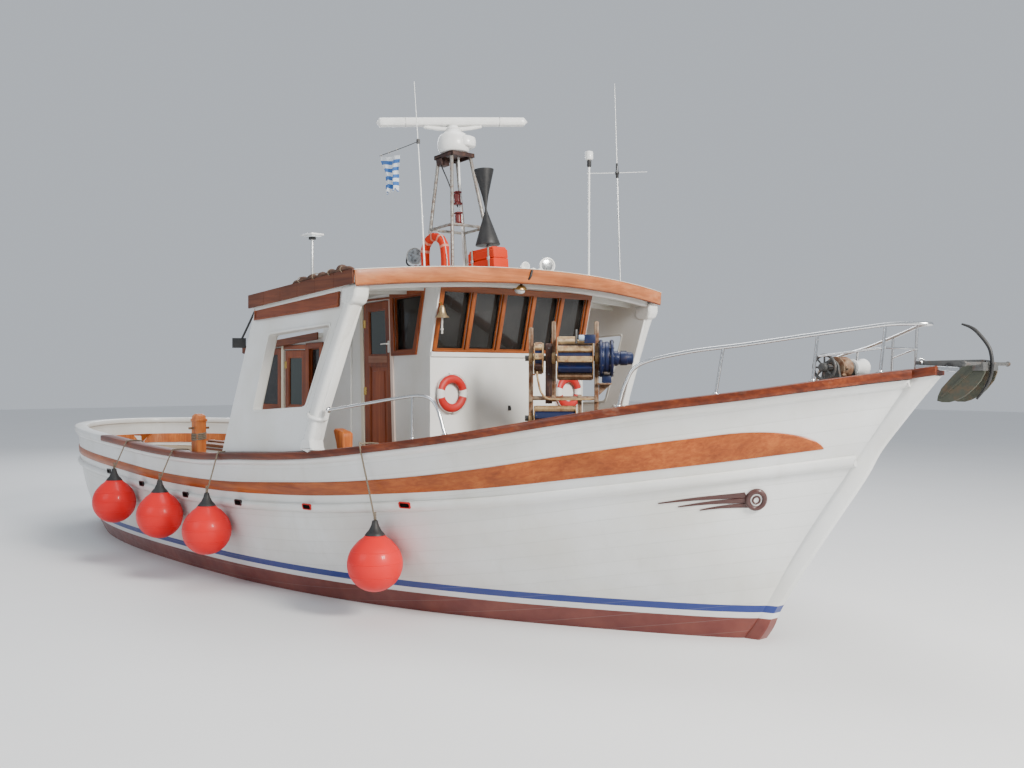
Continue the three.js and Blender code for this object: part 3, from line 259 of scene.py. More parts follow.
# turns a gathered part into an object that rides on its body
def makePiece(name, part, body, replaces=(), edge=0.0, smoothAngle=38, merge=False):
    mesh = bpy.data.meshes.new(name)
    mesh.from_pydata([tuple(v) for v in part["verts"]], [], part["faces"])
    for finish in part["finishes"]:
        mesh.materials.append(finishes[finish])
    mesh.polygons.foreach_set("material_index", part["finishOf"])
    for layer, values in part["layers"].items():
        mesh.attributes.new(layer, "FLOAT", "POINT").data.foreach_set("value", values)
    if merge:
        work = bmesh.new()
        work.from_mesh(mesh)
        bmesh.ops.remove_doubles(work, verts=work.verts, dist=1e-5)
        work.to_mesh(mesh)
        work.free()
    mesh.validate()
    piece = bpy.data.objects.new(name, mesh)
    bpy.context.scene.collection.objects.link(piece)
    if edge:
        bevel = piece.modifiers.new("edge", "BEVEL")
        bevel.width, bevel.segments, bevel.limit_method = edge, 2, "ANGLE"
        bevel.angle_limit = math.radians(40)
        bevel.use_clamp_overlap = True
        settled = bpy.data.meshes.new_from_object(piece.evaluated_get(bpy.context.evaluated_depsgraph_get()))
        piece.modifiers.clear()
        piece.data = settled
        bpy.data.meshes.remove(mesh)
        mesh = settled
        mesh.name = name
    mesh.shade_smooth()
    mesh.set_sharp_from_angle(angle=math.radians(smoothAngle))
    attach(piece, body)
    if replaces:
        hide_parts(*replaces)
    return piece


# Finishes: small helpers that wire shader nodes, then one function per finish

finishes = {}


def newFinish(name, **settings):
    material = bpy.data.materials.new(name)
    material.use_nodes = True
    tree = material.node_tree
    tree.nodes.clear()
    output = tree.nodes.new("ShaderNodeOutputMaterial")
    shader = tree.nodes.new("ShaderNodeBsdfPrincipled")
    tree.links.new(shader.outputs[0], output.inputs[0])
    for socket, value in settings.items():
        shader.inputs[socket].default_value = value
    finishes[name] = material
    return tree, shader


def wire(tree, source, target):
    tree.links.new(source, target)


def makeNode(tree, kind, inputs=None, **options):
    made = tree.nodes.new(kind)
    for option, value in options.items():
        setattr(made, option, value)
    for key, value in (inputs or {}).items():
        if isinstance(value, bpy.types.NodeSocket):
            wire(tree, value, made.inputs[key])
        else:
            made.inputs[key].default_value = value
    return made


def objectPlace(tree, scale=(1, 1, 1)):
    place = makeNode(tree, "ShaderNodeTexCoord").outputs["Object"]
    return makeNode(tree, "ShaderNodeMapping", {"Vector": place, "Scale": scale}).outputs[0]


def speckle(tree, scale, stretch=(1, 1, 1), detail=4, roughness=0.55, distortion=0.0):
    inputs = {"Vector": objectPlace(tree, stretch), "Scale": scale, "Detail": detail,
              "Roughness": roughness, "Distortion": distortion}
    return makeNode(tree, "ShaderNodeTexNoise", inputs).outputs["Fac"]


def rampOf(tree, factor, stops):
    made = makeNode(tree, "ShaderNodeValToRGB", {"Fac": factor})
    elements = made.color_ramp.elements
    while len(elements) < len(stops):
        elements.new(0.5)
    for element, (position, color) in zip(elements, stops):
        element.position = position
        element.color = (*color, 1) if len(color) == 3 else color
    return made.outputs["Color"]


def grey(value):
    return (value, value, value)


def maths(tree, operation, a, b=0.0, c=0.0):
    return makeNode(tree, "ShaderNodeMath", {0: a, 1: b, 2: c}, operation=operation).outputs[0]


def between(tree, value, low, high):
    inputs = {"Value": value, "From Min": low, "From Max": high}
    return makeNode(tree, "ShaderNodeMapRange", inputs).outputs[0]


def blendColor(tree, factor, first, second, mode="MIX"):
    made = makeNode(tree, "ShaderNodeMix", data_type="RGBA", blend_type=mode)
    for key, value in ((0, factor), (6, first), (7, second)):
        if isinstance(value, bpy.types.NodeSocket):
            wire(tree, value, made.inputs[key])
        else:
            made.inputs[key].default_value = (*value, 1) if isinstance(value, tuple) else value
    return made.outputs[2]


def bumpFrom(tree, shader, height, strength, distance=0.01, under=None):
    inputs = {"Height": height, "Strength": strength, "Distance": distance}
    if under is not None:
        inputs["Normal"] = under
    normal = makeNode(tree, "ShaderNodeBump", inputs).outputs[0]
    wire(tree, normal, shader.inputs["Normal"])
    return normal


def axisOf(tree, letter):
    place = makeNode(tree, "ShaderNodeTexCoord").outputs["Object"]
    return makeNode(tree, "ShaderNodeSeparateXYZ", {0: place}).outputs[letter.upper()]


# Finishes of this boat

def toneDown(tree, color, tone):
    toned = makeNode(tree, "ShaderNodeCombineColor", {0: tone, 1: tone, 2: tone}).outputs[0]
    return blendColor(tree, 1.0, color, toned, "MULTIPLY")


def seamMask(tree, place, pitch, width):
    share = maths(tree, "FRACT", maths(tree, "DIVIDE", place, pitch))
    away = maths(tree, "ABSOLUTE", maths(tree, "SUBTRACT", share, 0.5))
    return between(tree, away, 0.5 - width / pitch, 0.5)


def plankTint(tree, place, pitch):
    number = maths(tree, "FLOOR", maths(tree, "DIVIDE", place, pitch))
    return makeNode(tree, "ShaderNodeTexWhiteNoise", {"W": number}, noise_dimensions="1D").outputs["Value"]


paintLook = {"white": (0.80, 0.81, 0.80), "warm": (0.70, 0.69, 0.64), "grime": (0.42, 0.38, 0.31),
             "bottomRed": (0.125, 0.014, 0.010), "bottomWorn": (0.20, 0.045, 0.028),
             "bootBlue": (0.010, 0.030, 0.20),
             "redTop": 0.205, "blueLow": 0.262, "blueTop": 0.330, "plankPitch": 0.128}


# white enamel; streaks says how much dirt runs down it
def paintWhite(name, streaks, tint=(1, 1, 1), gloss=0.36, grimeAmount=0.5):
    tree, shader = newFinish(name, Roughness=gloss, **{"Coat Weight": 0.25, "Coat Roughness": 0.12})
    cloudy = rampOf(tree, speckle(tree, 1.3, detail=6), [(0.30, paintLook["warm"]),
                                                         (0.62, paintLook["white"])])
    runs = speckle(tree, 5.0, (1, 1, 0.09), detail=5, roughness=0.6)
    runMask = rampOf(tree, runs, [(0.56, grey(0)), (0.80, grey(streaks))])
    spots = rampOf(tree, speckle(tree, 46, detail=3), [(0.66, grey(0)), (0.76, grey(grimeAmount))])
    dirt = maths(tree, "MAXIMUM", runMask, maths(tree, "MULTIPLY", spots, 0.5))
    color = blendColor(tree, dirt, cloudy, paintLook["grime"])
    if tint != (1, 1, 1):
        color = blendColor(tree, 1.0, color, tint, "MULTIPLY")
    wire(tree, color, shader.inputs["Base Color"])
    rough = between(tree, speckle(tree, 9, detail=5), 0.2, 0.9)
    wire(tree, maths(tree, "MULTIPLY_ADD", rough, 0.18, gloss - 0.06), shader.inputs["Roughness"])
    brush = speckle(tree, 60, (0.25, 0.25, 1), detail=3)
    bumpFrom(tree, shader, brush, 0.10, 0.004)
    return tree, shader, color


# hull paint: white topsides greying toward the waterline as painted shade, blue boot stripe, white line and
# red bottom, by height
def paintHull(name, planked):
    tree, shader, topsides = paintWhite(name, 0.22, grimeAmount=0.25)
    height = axisOf(tree, "z")
    redCloud = rampOf(tree, speckle(tree, 3.2, detail=7),
                      [(0.35, paintLook["bottomRed"]), (0.75, paintLook["bottomWorn"])])
    wave = maths(tree, "MULTIPLY_ADD", speckle(tree, 2.0), 0.006, -0.003)
    level = maths(tree, "ADD", height, wave)
    aboveBlueLow = between(tree, level, paintLook["blueLow"] - 0.001, paintLook["blueLow"] + 0.001)
    aboveBlueTop = between(tree, level, paintLook["blueTop"] - 0.001, paintLook["blueTop"] + 0.001)
    aboveRed = between(tree, level, paintLook["redTop"] - 0.001, paintLook["redTop"] + 0.001)
    color = blendColor(tree, aboveRed, redCloud, (0.72, 0.73, 0.73))
    color = blendColor(tree, aboveBlueLow, color, paintLook["bootBlue"])
    # painted shade: the topsides turn grey from 1.25 m down to 0.33 m, broken up by noise, standing for the
    # shade on the lower hull
    lowShade = between(tree, level, 1.25, 0.33)
    lowShade = maths(tree, "MULTIPLY", lowShade, maths(tree, "MULTIPLY_ADD",
                                                       speckle(tree, 2.6, (1, 1, 0.5), 6), 0.9, -0.22))
    shadedTopsides = blendColor(tree, lowShade, topsides, (0.50, 0.51, 0.47))
    color = blendColor(tree, aboveBlueTop, color, shadedTopsides)
    if planked:
        plank = makeNode(tree, "ShaderNodeAttribute", attribute_name="plank").outputs["Fac"]
        seam = seamMask(tree, plank, 1.0, 0.035)
        tone = maths(tree, "MULTIPLY_ADD", plankTint(tree, plank, 1.0), 0.05, 0.955)
        color = toneDown(tree, color, tone)
        color = blendColor(tree, maths(tree, "MULTIPLY", seam, 0.20), color, (0.30, 0.30, 0.28))
        swell = maths(tree, "MULTIPLY_ADD", speckle(tree, 1.1, (0.5, 1, 1)), 1.6, 0.0)
        lift = maths(tree, "SUBTRACT", swell, maths(tree, "MULTIPLY", seam, 0.55))
        fine = bumpFrom(tree, shader, speckle(tree, 60, (0.25, 0.25, 1), detail=3), 0.10, 0.004)
        bumpFrom(tree, shader, lift, 0.35, 0.008, fine)
    wire(tree, color, shader.inputs["Base Color"])


# varnished timber; along says which way the grain runs
def paintWood(name, dark, middle, pale, along="x", rough=0.30, coat=0.6, scale=1.0, worn=0.0, seams=None):
    tree, shader = newFinish(name, **{"Roughness": rough + 0.08, "Coat Weight": coat * 0.4,
                                      "Coat Roughness": 0.18,
                                      "Specular IOR Level": 0.32})
    stretch = {"x": (0.04, 1, 1), "y": (1, 0.04, 1), "z": (1, 1, 0.04)}[along]
    wide = {"x": (0.10, 1, 1), "y": (1, 0.10, 1), "z": (1, 1, 0.10)}[along]
    grain = speckle(tree, 34 * scale, stretch, detail=8, roughness=0.62, distortion=0.6)
    figure = speckle(tree, 9.0 * scale, wide, detail=5, roughness=0.55, distortion=0.7)
    mixed = maths(tree, "MULTIPLY_ADD", grain, 0.55, maths(tree, "MULTIPLY", figure, 0.45))
    color = rampOf(tree, mixed, [(0.30, dark), (0.50, middle), (0.70, pale)])
    patch = rampOf(tree, speckle(tree, 1.7, detail=4), [(0.40, grey(0.82)), (0.66, grey(1.12))])
    color = blendColor(tree, 1.0, color, patch, "MULTIPLY")
    height = mixed
    if seams:
        letter, pitch, width, ink = seams
        place = axisOf(tree, letter)
        tone = maths(tree, "MULTIPLY_ADD", plankTint(tree, place, pitch), 0.34, 0.83)
        color = toneDown(tree, color, tone)
        seam = seamMask(tree, place, pitch, width)
        color = blendColor(tree, seam, color, ink)
        height = maths(tree, "SUBTRACT", mixed, maths(tree, "MULTIPLY", seam, 2.0))
    if worn:
        bare = rampOf(tree, speckle(tree, 7, wide, detail=8, roughness=0.7),
                      [(0.58, grey(0)), (0.70, grey(worn))])
        color = blendColor(tree, bare, color, (0.36, 0.27, 0.19))
        wire(tree, maths(tree, "MULTIPLY_ADD", bare, 0.4, rough), shader.inputs["Roughness"])
    wire(tree, color, shader.inputs["Base Color"])
    bumpFrom(tree, shader, height, 0.16, 0.003)


# metal, plain or painted, with stains that the second colour shows
def paintMetal(name, color, stain, metallic, rough, amount=0.5, scale=14.0, bump=0.12):
    tree, shader = newFinish(name, Metallic=metallic, Roughness=rough)
    mottled = speckle(tree, scale, detail=8, roughness=0.65)
    low, high = 0.66 - 0.28 * amount, 0.74 - 0.16 * amount
    mask = rampOf(tree, mottled, [(low, grey(0)), (high, grey(1))])
    fine = rampOf(tree, speckle(tree, scale * 5, detail=4), [(0.35, grey(0.86)), (0.65, grey(1.08))])
    base = blendColor(tree, 1.0, color, fine, "MULTIPLY")
    wire(tree, blendColor(tree, maths(tree, "MULTIPLY", mask, amount), base, stain),
         shader.inputs["Base Color"])
    wire(tree, maths(tree, "MULTIPLY_ADD", mask, 0.35 * amount, rough), shader.inputs["Roughness"])
    if metallic:
        wire(tree, maths(tree, "MULTIPLY_ADD", mask, -0.7 * metallic * amount, metallic),
             shader.inputs["Metallic"])
    bumpFrom(tree, shader, mottled, bump, 0.004)


def paintPlastic(name, color, faded, rough, amount=0.5, coat=0.0, shine=0.5):
    tree, shader = newFinish(name, **{"Roughness": rough, "Coat Weight": coat, "Coat Roughness": 0.1,
                                      "Specular IOR Level": shine})
    cloud = rampOf(tree, speckle(tree, 6.5, detail=6), [(0.36, grey(0)), (0.74, grey(amount))])
    scuffs = rampOf(tree, speckle(tree, 34, (1, 1, 0.3), detail=6, roughness=0.7),
                    [(0.60, grey(0)), (0.72, grey(amount))])
    worn = maths(tree, "MAXIMUM", cloud, scuffs)
    wire(tree, blendColor(tree, worn, color, faded), shader.inputs["Base Color"])
    wire(tree, maths(tree, "MULTIPLY_ADD", worn, 0.25, rough), shader.inputs["Roughness"])
    bumpFrom(tree, shader, speckle(tree, 120, detail=2), 0.08, 0.002)


def paintGlass(name):
    tree, shader = newFinish(name, **{"Roughness": 0.03, "IOR": 1.45, "Transmission Weight": 0.80,
                                      "Base Color": (0.09, 0.09, 0.088, 1)})
    salt = rampOf(tree, speckle(tree, 22, detail=7), [(0.45, grey(0.02)), (0.80, grey(0.16))])
    wire(tree, salt, shader.inputs["Roughness"])
    wire(tree, rampOf(tree, speckle(tree, 3), [(0.3, (0.060, 0.058, 0.055)), (0.7, (0.125, 0.120, 0.112))]),
         shader.inputs["Base Color"])


def paintCloth(name):
    tree, shader = newFinish(name, Roughness=0.85, **{"Sheen Weight": 0.25})
    stripe = makeNode(tree, "ShaderNodeAttribute", attribute_name="stripe").outputs["Fac"]
    blue = maths(tree, "GREATER_THAN", maths(tree, "FRACT", stripe), 0.5)
    weave = rampOf(tree, speckle(tree, 260, detail=2), [(0.35, grey(0.84)), (0.65, grey(1.0))])
    color = blendColor(tree, blue, (0.76, 0.79, 0.82), (0.045, 0.16, 0.46))
    wire(tree, blendColor(tree, 1.0, color, weave, "MULTIPLY"), shader.inputs["Base Color"])
    bumpFrom(tree, shader, speckle(tree, 300, detail=2), 0.3, 0.001)


def paintRope(name, dark, pale):
    tree, shader = newFinish(name, Roughness=0.9)
    lay = makeNode(tree, "ShaderNodeTexWave", {"Vector": objectPlace(tree), "Scale": 70, "Distortion": 2.5},
                   bands_direction="DIAGONAL").outputs["Fac"]
    wire(tree, rampOf(tree, lay, [(0.2, dark), (0.8, pale)]), shader.inputs["Base Color"])
    bumpFrom(tree, shader, lay, 0.6, 0.003)


def makeFinishes():
    paintHull("hullPaint", True)
    paintHull("stemPaint", False)
    paintWhite("housePaint", 0.10)
    paintWhite("innerPaint", 0.30, tint=(0.90, 0.91, 0.90), grimeAmount=0.8)
    # darker beige copy of the white paint: painted shade on the inboard face of the side screens
    paintWhite("screenLining", 0.15, tint=(0.74, 0.72, 0.69), gloss=0.5)
    paintPlastic("bottomPaint", (0.125, 0.014, 0.010), (0.20, 0.045, 0.028), 0.7)
    paintWood("capVarnish", (0.045, 0.008, 0.003), (0.135, 0.024, 0.006), (0.27, 0.060, 0.014), "x", 0.36,
              0.4, worn=0.22)
    paintWood("strakeVarnish", (0.20, 0.035, 0.005), (0.36, 0.078, 0.010), (0.52, 0.140, 0.022), "x", 0.34,
              0.4)
    for name, along in (("frameVarnish", "z"), ("frameVarnishAlong", "x"), ("frameVarnishAcross", "y")):
        paintWood(name, (0.10, 0.018, 0.004), (0.22, 0.046, 0.009), (0.36, 0.090, 0.018), along, 0.26, 0.6,
                  1.4)
    paintWood("roofVarnish", (0.32, 0.085, 0.024), (0.50, 0.160, 0.052), (0.66, 0.26, 0.100), "y", 0.42,
              0.2, 0.8, worn=0.25)
    # darker copy of the roof varnish: painted shade for the roof edges that face away from the light
    paintWood("roofVarnishDark", (0.06, 0.015, 0.006), (0.15, 0.040, 0.015), (0.25, 0.08, 0.030), "x", 0.4,
              0.3, 1.0)
    paintWood("bittVarnish", (0.32, 0.065, 0.012), (0.52, 0.135, 0.026), (0.70, 0.24, 0.055), "z", 0.35,
              0.4, 1.2)
    paintWood("deckPlanks", (0.20, 0.135, 0.075), (0.33, 0.235, 0.140), (0.46, 0.345, 0.220), "x", 0.75,
              0.0, 1.0,
              seams=("y", 0.095, 0.005, (0.02, 0.018, 0.015)))
    paintWood("hatchPlanks", (0.13, 0.04, 0.014), (0.24, 0.08, 0.028), (0.38, 0.15, 0.055), "x", 0.4, 0.4,
              1.0,
              seams=("y", 0.12, 0.004, (0.015, 0.010, 0.008)))
    paintGlass("pane")
    paintMetal("stainless", (0.62, 0.63, 0.64), (0.34, 0.22, 0.13), 1.0, 0.20, 0.25, 22)
    paintMetal("castBronze", (0.50, 0.30, 0.11), (0.10, 0.16, 0.10), 1.0, 0.32, 0.35, 16)
    paintMetal("brass", (0.66, 0.43, 0.13), (0.16, 0.10, 0.04), 1.0, 0.25, 0.3, 30)
    paintMetal("galvanized", (0.115, 0.115, 0.112), (0.16, 0.075, 0.035), 0.55, 0.52, 0.45, 18, 0.25)
    paintMetal("rustySteel", (0.27, 0.19, 0.125), (0.14, 0.048, 0.016), 0.10, 0.58, 0.9, 11, 0.3)
    paintMetal("slatSteel", (0.43, 0.30, 0.155), (0.20, 0.075, 0.026), 0.10, 0.50, 0.75, 15, 0.25)
    paintMetal("slatBrown", (0.30, 0.19, 0.11), (0.13, 0.045, 0.018), 0.10, 0.52, 0.8, 13, 0.25)
    paintMetal("navyPaint", (0.006, 0.014, 0.060), (0.07, 0.030, 0.015), 0.05, 0.36, 0.35, 16, 0.15)
    paintMetal("paleBluePaint", (0.42, 0.52, 0.64), (0.30, 0.16, 0.08), 0.05, 0.42, 0.4, 18, 0.12)
    paintMetal("greyMetal", (0.50, 0.51, 0.51), (0.22, 0.17, 0.12), 0.7, 0.34, 0.3, 20)
    paintMetal("darkRedBox", (0.14, 0.012, 0.010), (0.05, 0.01, 0.008), 0.0, 0.40, 0.4, 20)
    paintPlastic("whitePlastic", (0.80, 0.81, 0.80), (0.58, 0.56, 0.50), 0.30, 0.45, 0.3)
    paintPlastic("blackPlastic", (0.012, 0.012, 0.013), (0.045, 0.043, 0.040), 0.48, 0.6)
    paintPlastic("buoyOrange", (0.56, 0.022, 0.004), (0.50, 0.050, 0.016), 0.66, 0.6, shine=0.2)
    paintPlastic("boxOrange", (0.60, 0.026, 0.003), (0.50, 0.048, 0.014), 0.60, 0.6, shine=0.2)
    paintPlastic("fenderRed", (0.72, 0.007, 0.009), (0.66, 0.016, 0.015), 0.42, 0.5, 0.15, shine=0.25)
    paintPlastic("buoyRed", (0.50, 0.010, 0.008), (0.44, 0.050, 0.040), 0.45, 0.5)
    paintPlastic("scupperRed", (0.55, 0.012, 0.010), (0.30, 0.03, 0.02), 0.5, 0.6, shine=0.3)
    # near-black sheet for the scupper slots: painted shade of the hole behind them
    paintPlastic("slotBlack", (0.003, 0.003, 0.003), (0.008, 0.007, 0.006), 0.8, 0.4, shine=0.05)
    paintMetal("searchLens", (0.42, 0.44, 0.45), (0.03, 0.03, 0.035), 0.85, 0.16, 0.9, 26)
    paintMetal("bellBronze", (0.60, 0.46, 0.27), (0.24, 0.17, 0.09), 0.8, 0.34, 0.4, 18)
    paintPlastic("hawseBlack", (0.010, 0.008, 0.008), (0.03, 0.018, 0.016), 0.42, 0.5, 0.3)
    paintPlastic("hawseBrown", (0.050, 0.012, 0.010), (0.085, 0.028, 0.020), 0.42, 0.5, 0.3)
    paintPlastic("canvas", (0.40, 0.36, 0.30), (0.24, 0.20, 0.16), 0.85, 0.8)
    paintPlastic("lampGlass", (0.72, 0.76, 0.78), (0.55, 0.58, 0.60), 0.10, 0.3, 0.8)
    paintPlastic("buoyWhite", (0.80, 0.80, 0.78), (0.62, 0.58, 0.52), 0.45, 0.4)
    paintWood("doorPanel", (0.17, 0.030, 0.007), (0.30, 0.062, 0.014), (0.42, 0.105, 0.026), "z", 0.28,
              0.6, 1.2)
    paintWood("mullionVarnish", (0.15, 0.034, 0.007), (0.28, 0.070, 0.014), (0.42, 0.120, 0.028), "z",
              0.28, 0.6, 1.4)
    paintWood("windowRail", (0.17, 0.040, 0.008), (0.31, 0.082, 0.018), (0.46, 0.140, 0.034), "y", 0.28,
              0.6, 1.4)
    paintWood("railVarnish", (0.20, 0.07, 0.035), (0.34, 0.14, 0.075), (0.46, 0.22, 0.13), "x", 0.32, 0.5,
              1.4)
    paintWood("boardVarnish", (0.10, 0.020, 0.007), (0.19, 0.042, 0.014), (0.30, 0.080, 0.026), "x", 0.36,
              0.5, 1.0)
    paintPlastic("doorPane", (0.010, 0.020, 0.014), (0.020, 0.036, 0.026), 0.06, 0.5, 0.4)
    paintWhite("jambPink", 0.15, tint=(0.95, 0.74, 0.66), gloss=0.40)
    paintWhite("jambCream", 0.20, tint=(0.92, 0.84, 0.68), gloss=0.42)
    paintWhite("roofPaint", 0.25, tint=(0.95, 0.95, 0.93), gloss=0.55, grimeAmount=0.8)
    # cream-white lip: partly the roof's white edge, partly a painted highlight along the fascia's top
    paintWhite("roofLip", 0.20, tint=(0.98, 0.90, 0.80), gloss=0.42)
    paintWhite("postPaint", 0.05, tint=(1.0, 1.0, 1.0), gloss=0.24, grimeAmount=0.3)
    paintPlastic("coverCloth", (0.060, 0.028, 0.018), (0.16, 0.085, 0.055), 0.85, 0.8)
    paintRope("whiteRope", (0.42, 0.40, 0.36), (0.74, 0.72, 0.68))
    paintMetal("mastPaint", (0.30, 0.285, 0.26), (0.13, 0.060, 0.030), 0.55, 0.42, 0.7, 20, 0.2)
    paintMetal("darkPlate", (0.045, 0.022, 0.018), (0.12, 0.05, 0.025), 0.3, 0.5, 0.6, 18, 0.2)
    paintPlastic("scannerShell", (0.82, 0.82, 0.80), (0.60, 0.58, 0.53), 0.30, 0.35, 0.25)
    paintPlastic("scannerSeam", (0.45, 0.45, 0.44), (0.30, 0.30, 0.29), 0.4, 0.3)
    paintPlastic("reflector", (0.60, 0.26, 0.18), (0.56, 0.07, 0.03), 0.5, 0.9)
    paintPlastic("searchShell", (0.30, 0.31, 0.31), (0.12, 0.11, 0.10), 0.35, 0.5, 0.2)
    paintMetal("flukePaint", (0.055, 0.058, 0.040), (0.13, 0.075, 0.04), 0.2, 0.5, 0.6, 14, 0.25)
    paintCloth("flagCloth")
    paintRope("rope", (0.10, 0.075, 0.050), (0.30, 0.245, 0.175))


makeFinishes()
print("finishes made")


# Hull form, as the boat's lines give it

hull = {"bow": 7.5, "stern": -7.2, "halfBeam": 2.36, "stemHalf": 0.09, "bulwark": 0.075,
        "capThickness": 0.074,
        "capOverhang": 0.060, "capInboard": 0.115, "rubHalf": 0.048, "rubDepth": 0.048,
        "strakeDepth": 0.014,
        "columns": 150, "rows": 54, "whiteCapTo": -3.4}

sheerLine = [
    (-7.26, 1.570), (-5, 1.552), (-3, 1.512), (-1.3, 1.452), (0, 1.450), (1, 1.482), (2, 1.550),
    (3, 1.668), (4, 1.810), (5, 1.990), (6, 2.170), (7, 2.355), (7.5, 2.435),
]  # x, height just under the cap rail's top

rabbetLine = [
    (-7.2, 1.560), (-7.15, 1.000), (-6.98, 0.520), (-6.6, 0.020), (-6, -0.440), (-5.2, -0.880),
              (-4.2, -1.180),
    (-2.5, -1.350), (0, -1.340), (2, -1.240), (3.5, -1.010), (4.6, -0.680), (5.3, -0.330), (5.75, 0.070),
    (6.266, 0.894), (6.68, 1.485), (7.07, 2.041), (7.31, 2.385),
]  # x, height where planking meets the backbone


def smooth(table, t):
    last = len(table) - 1
    if t <= table[0][0]:
        return table[0][1]
    if t >= table[last][0]:
        return table[last][1]
    i = 0
    while t > table[i + 1][0]:
        i += 1
    slopes = []
    for j in (i, i + 1):
        before, after = table[max(j - 1, 0)], table[min(j + 1, last)]
        slopes.append((after[1] - before[1]) / (after[0] - before[0]))
    span = table[i + 1][0] - table[i][0]
    u = (t - table[i][0]) / span
    start = (1 + 2 * u) * (1 - u) ** 2 * table[i][1] + u * u * (3 - 2 * u) * table[i + 1][1]
    return start + span * (u * (1 - u) ** 2 * slopes[0] - u * u * (1 - u) * slopes[1])


def clamp(value, low=0.0, high=1.0):
    return max(low, min(high, value))


def ease(low, high, value):
    u = clamp((value - low) / (high - low))
    return u * u * (3 - 2 * u)


def sheerAt(x):
    return smooth(sheerLine, x)


def railTop(x):
    return sheerAt(x) + 0.004 + 0.038 * ease(-0.5, 0.8, x) - 0.022 * ease(5.5, 6.5, x)


def rabbetAt(x):
    return smooth(rabbetLine, x)


def railHalf(x):
    if x >= 0:
        return hull["halfBeam"] * max(1 - (x / 7.44) ** 3.1, 0)
    return hull["halfBeam"] * math.sqrt(max(1 - (x / hull["stern"]) ** 2.8, 0))


def centreHalf(x):
    return 0.0002 + (hull["stemHalf"] - 0.0002) * ease(-6.5, -5.4, x)


def skinHalf(x, z):
    low = rabbetAt(x)
    share = clamp((z - low) / max(sheerAt(x) - low, 0.001))
    rounded = (1 - (1 - share) ** 2.3) ** 0.6
    flared = share ** 1.15
    towardBow = clamp(x / 6.5) ** 1.5
    inner = centreHalf(x)
    return inner + max(railHalf(x) - inner, 0) * ((1 - towardBow) * rounded + towardBow * flared)


def rubCentre(x):
    return sheerAt(x) - 0.530 - 0.125 * ease(1, 6.2, x)


def strakeLow(x):
    return rubCentre(x) + 0.130


def strakeHigh(x):
    height = 0.106 + 0.030 * ease(-0.3, 2.0, x) + 0.088 * ease(2.5, 5.7, x)
    u = clamp((x - 6.04) / (6.63 - 6.04))
    return strakeLow(x) + height * math.sqrt(1 - u * u) + 0.001


def capLow(x):
    return railTop(x) - hull["capThickness"] - 0.001 - 0.004 * ease(6.4, 7, x)


def deckEdgeAt(x):
    return rubCentre(x) + 0.045 + 0.330 * ease(3.9, 6.4, x)


def deckAt(x, y=0.0):
    half = max(skinHalf(x, deckEdgeAt(x)) - hull["bulwark"], 0.001)
    return deckEdgeAt(x) + 0.045 * (1 - min(abs(y) / half, 1))


def endOfLine(heightAt, side):
    inside, outside = 0.0, hull["stern"] if side < 0 else 7.31
    for _ in range(40):
        middle = (inside + outside) / 2
        if heightAt(middle) > rabbetAt(middle):
            inside = middle
        else:
            outside = middle
    return inside


# places along the boat, close together toward both ends
def stationsFor(heightAt, count, aft=None, fore=None):
    aft = endOfLine(heightAt, -1) if aft is None else aft
    fore = endOfLine(heightAt, 1) if fore is None else fore
    return [aft + (fore - aft) * (1 - math.cos(math.pi * k / count)) / 2 for k in range(count + 1)]


# point on the starboard planking, moved out from it in plan
def skinPoint(x, z, out=0.0, heightAt=None, step=0.004):
    rise = heightAt or (lambda _: z)
    slope = (skinHalf(x + step, rise(x + step)) - skinHalf(x - step, rise(x - step))) / (2 * step)
    length = math.hypot(slope, 1)
    spot = Vector((x - slope / length * out, -skinHalf(x, z) - out / length, z))
    spot.y = min(spot.y, -0.0002)
    return spot


# strip along the side: section rows are (height above the line, distance out)
def addSideStrip(part, heightAt, section, finish, count=150, aft=None, fore=None):
    rows = []
    stations = stationsFor(heightAt, count, aft, fore)
    for k, x in enumerate(stations):
        row = []
        for lift, out in section:
            z = heightAt(x) + lift
            spot = skinPoint(x, z, out, lambda t, lift=lift: heightAt(t) + lift)
            if k == 0 and aft is None:
                spot = Vector((x - out, -0.0002, z))
            row.append(spot)
        rows.append(row)
    addGrid(part, rows, finish, closed=True, capEnd=True, flip=True)


def bothSides(part):
    other = mirrorPart(part)
    start = len(part["verts"])
    part["verts"].extend(other["verts"])
    part["faces"].extend(tuple(start + i for i in face) for face in other["faces"])
    part["finishOf"].extend(list(part["finishOf"]))
    for values in part["layers"].values():
        values.extend(list(values))
    return part


def makeHullSkin():
    part = newPart()
    count, rows = hull["columns"], hull["rows"]
    grid, planks = [], []
    for k, x in enumerate(stationsFor(capLow, count)):
        low, high = rabbetAt(x), capLow(x) + 0.006
        row = []
        for j in range(rows + 1):
            share = (j / rows) ** 1.7
            z = low + (high - low) * share
            row.append(Vector((x, -0.0002 if k == 0 else -skinHalf(x, z), z)))
            planks.append((sheerAt(x) - z) / paintLook["plankPitch"])
        for j in range(5):
            z = high - (high - max(deckEdgeAt(x) - 0.05, low)) * j / 4 if high > low else high
            inside = skinPoint(x, z, -hull["bulwark"])
            inside.y = min(inside.y, -0.0002)
            row.append(inside)
            planks.append((sheerAt(x) - z) / paintLook["plankPitch"])
        grid.append(row)
    addGrid(part, grid, "hullPaint", flip=True)
    part["layers"]["plank"] = planks
    makePiece("hullPlanking", bothSides(part), "boat",
              ("hull", "bulwark_starboard", "bulwark_port"), merge=True, smoothAngle=50)


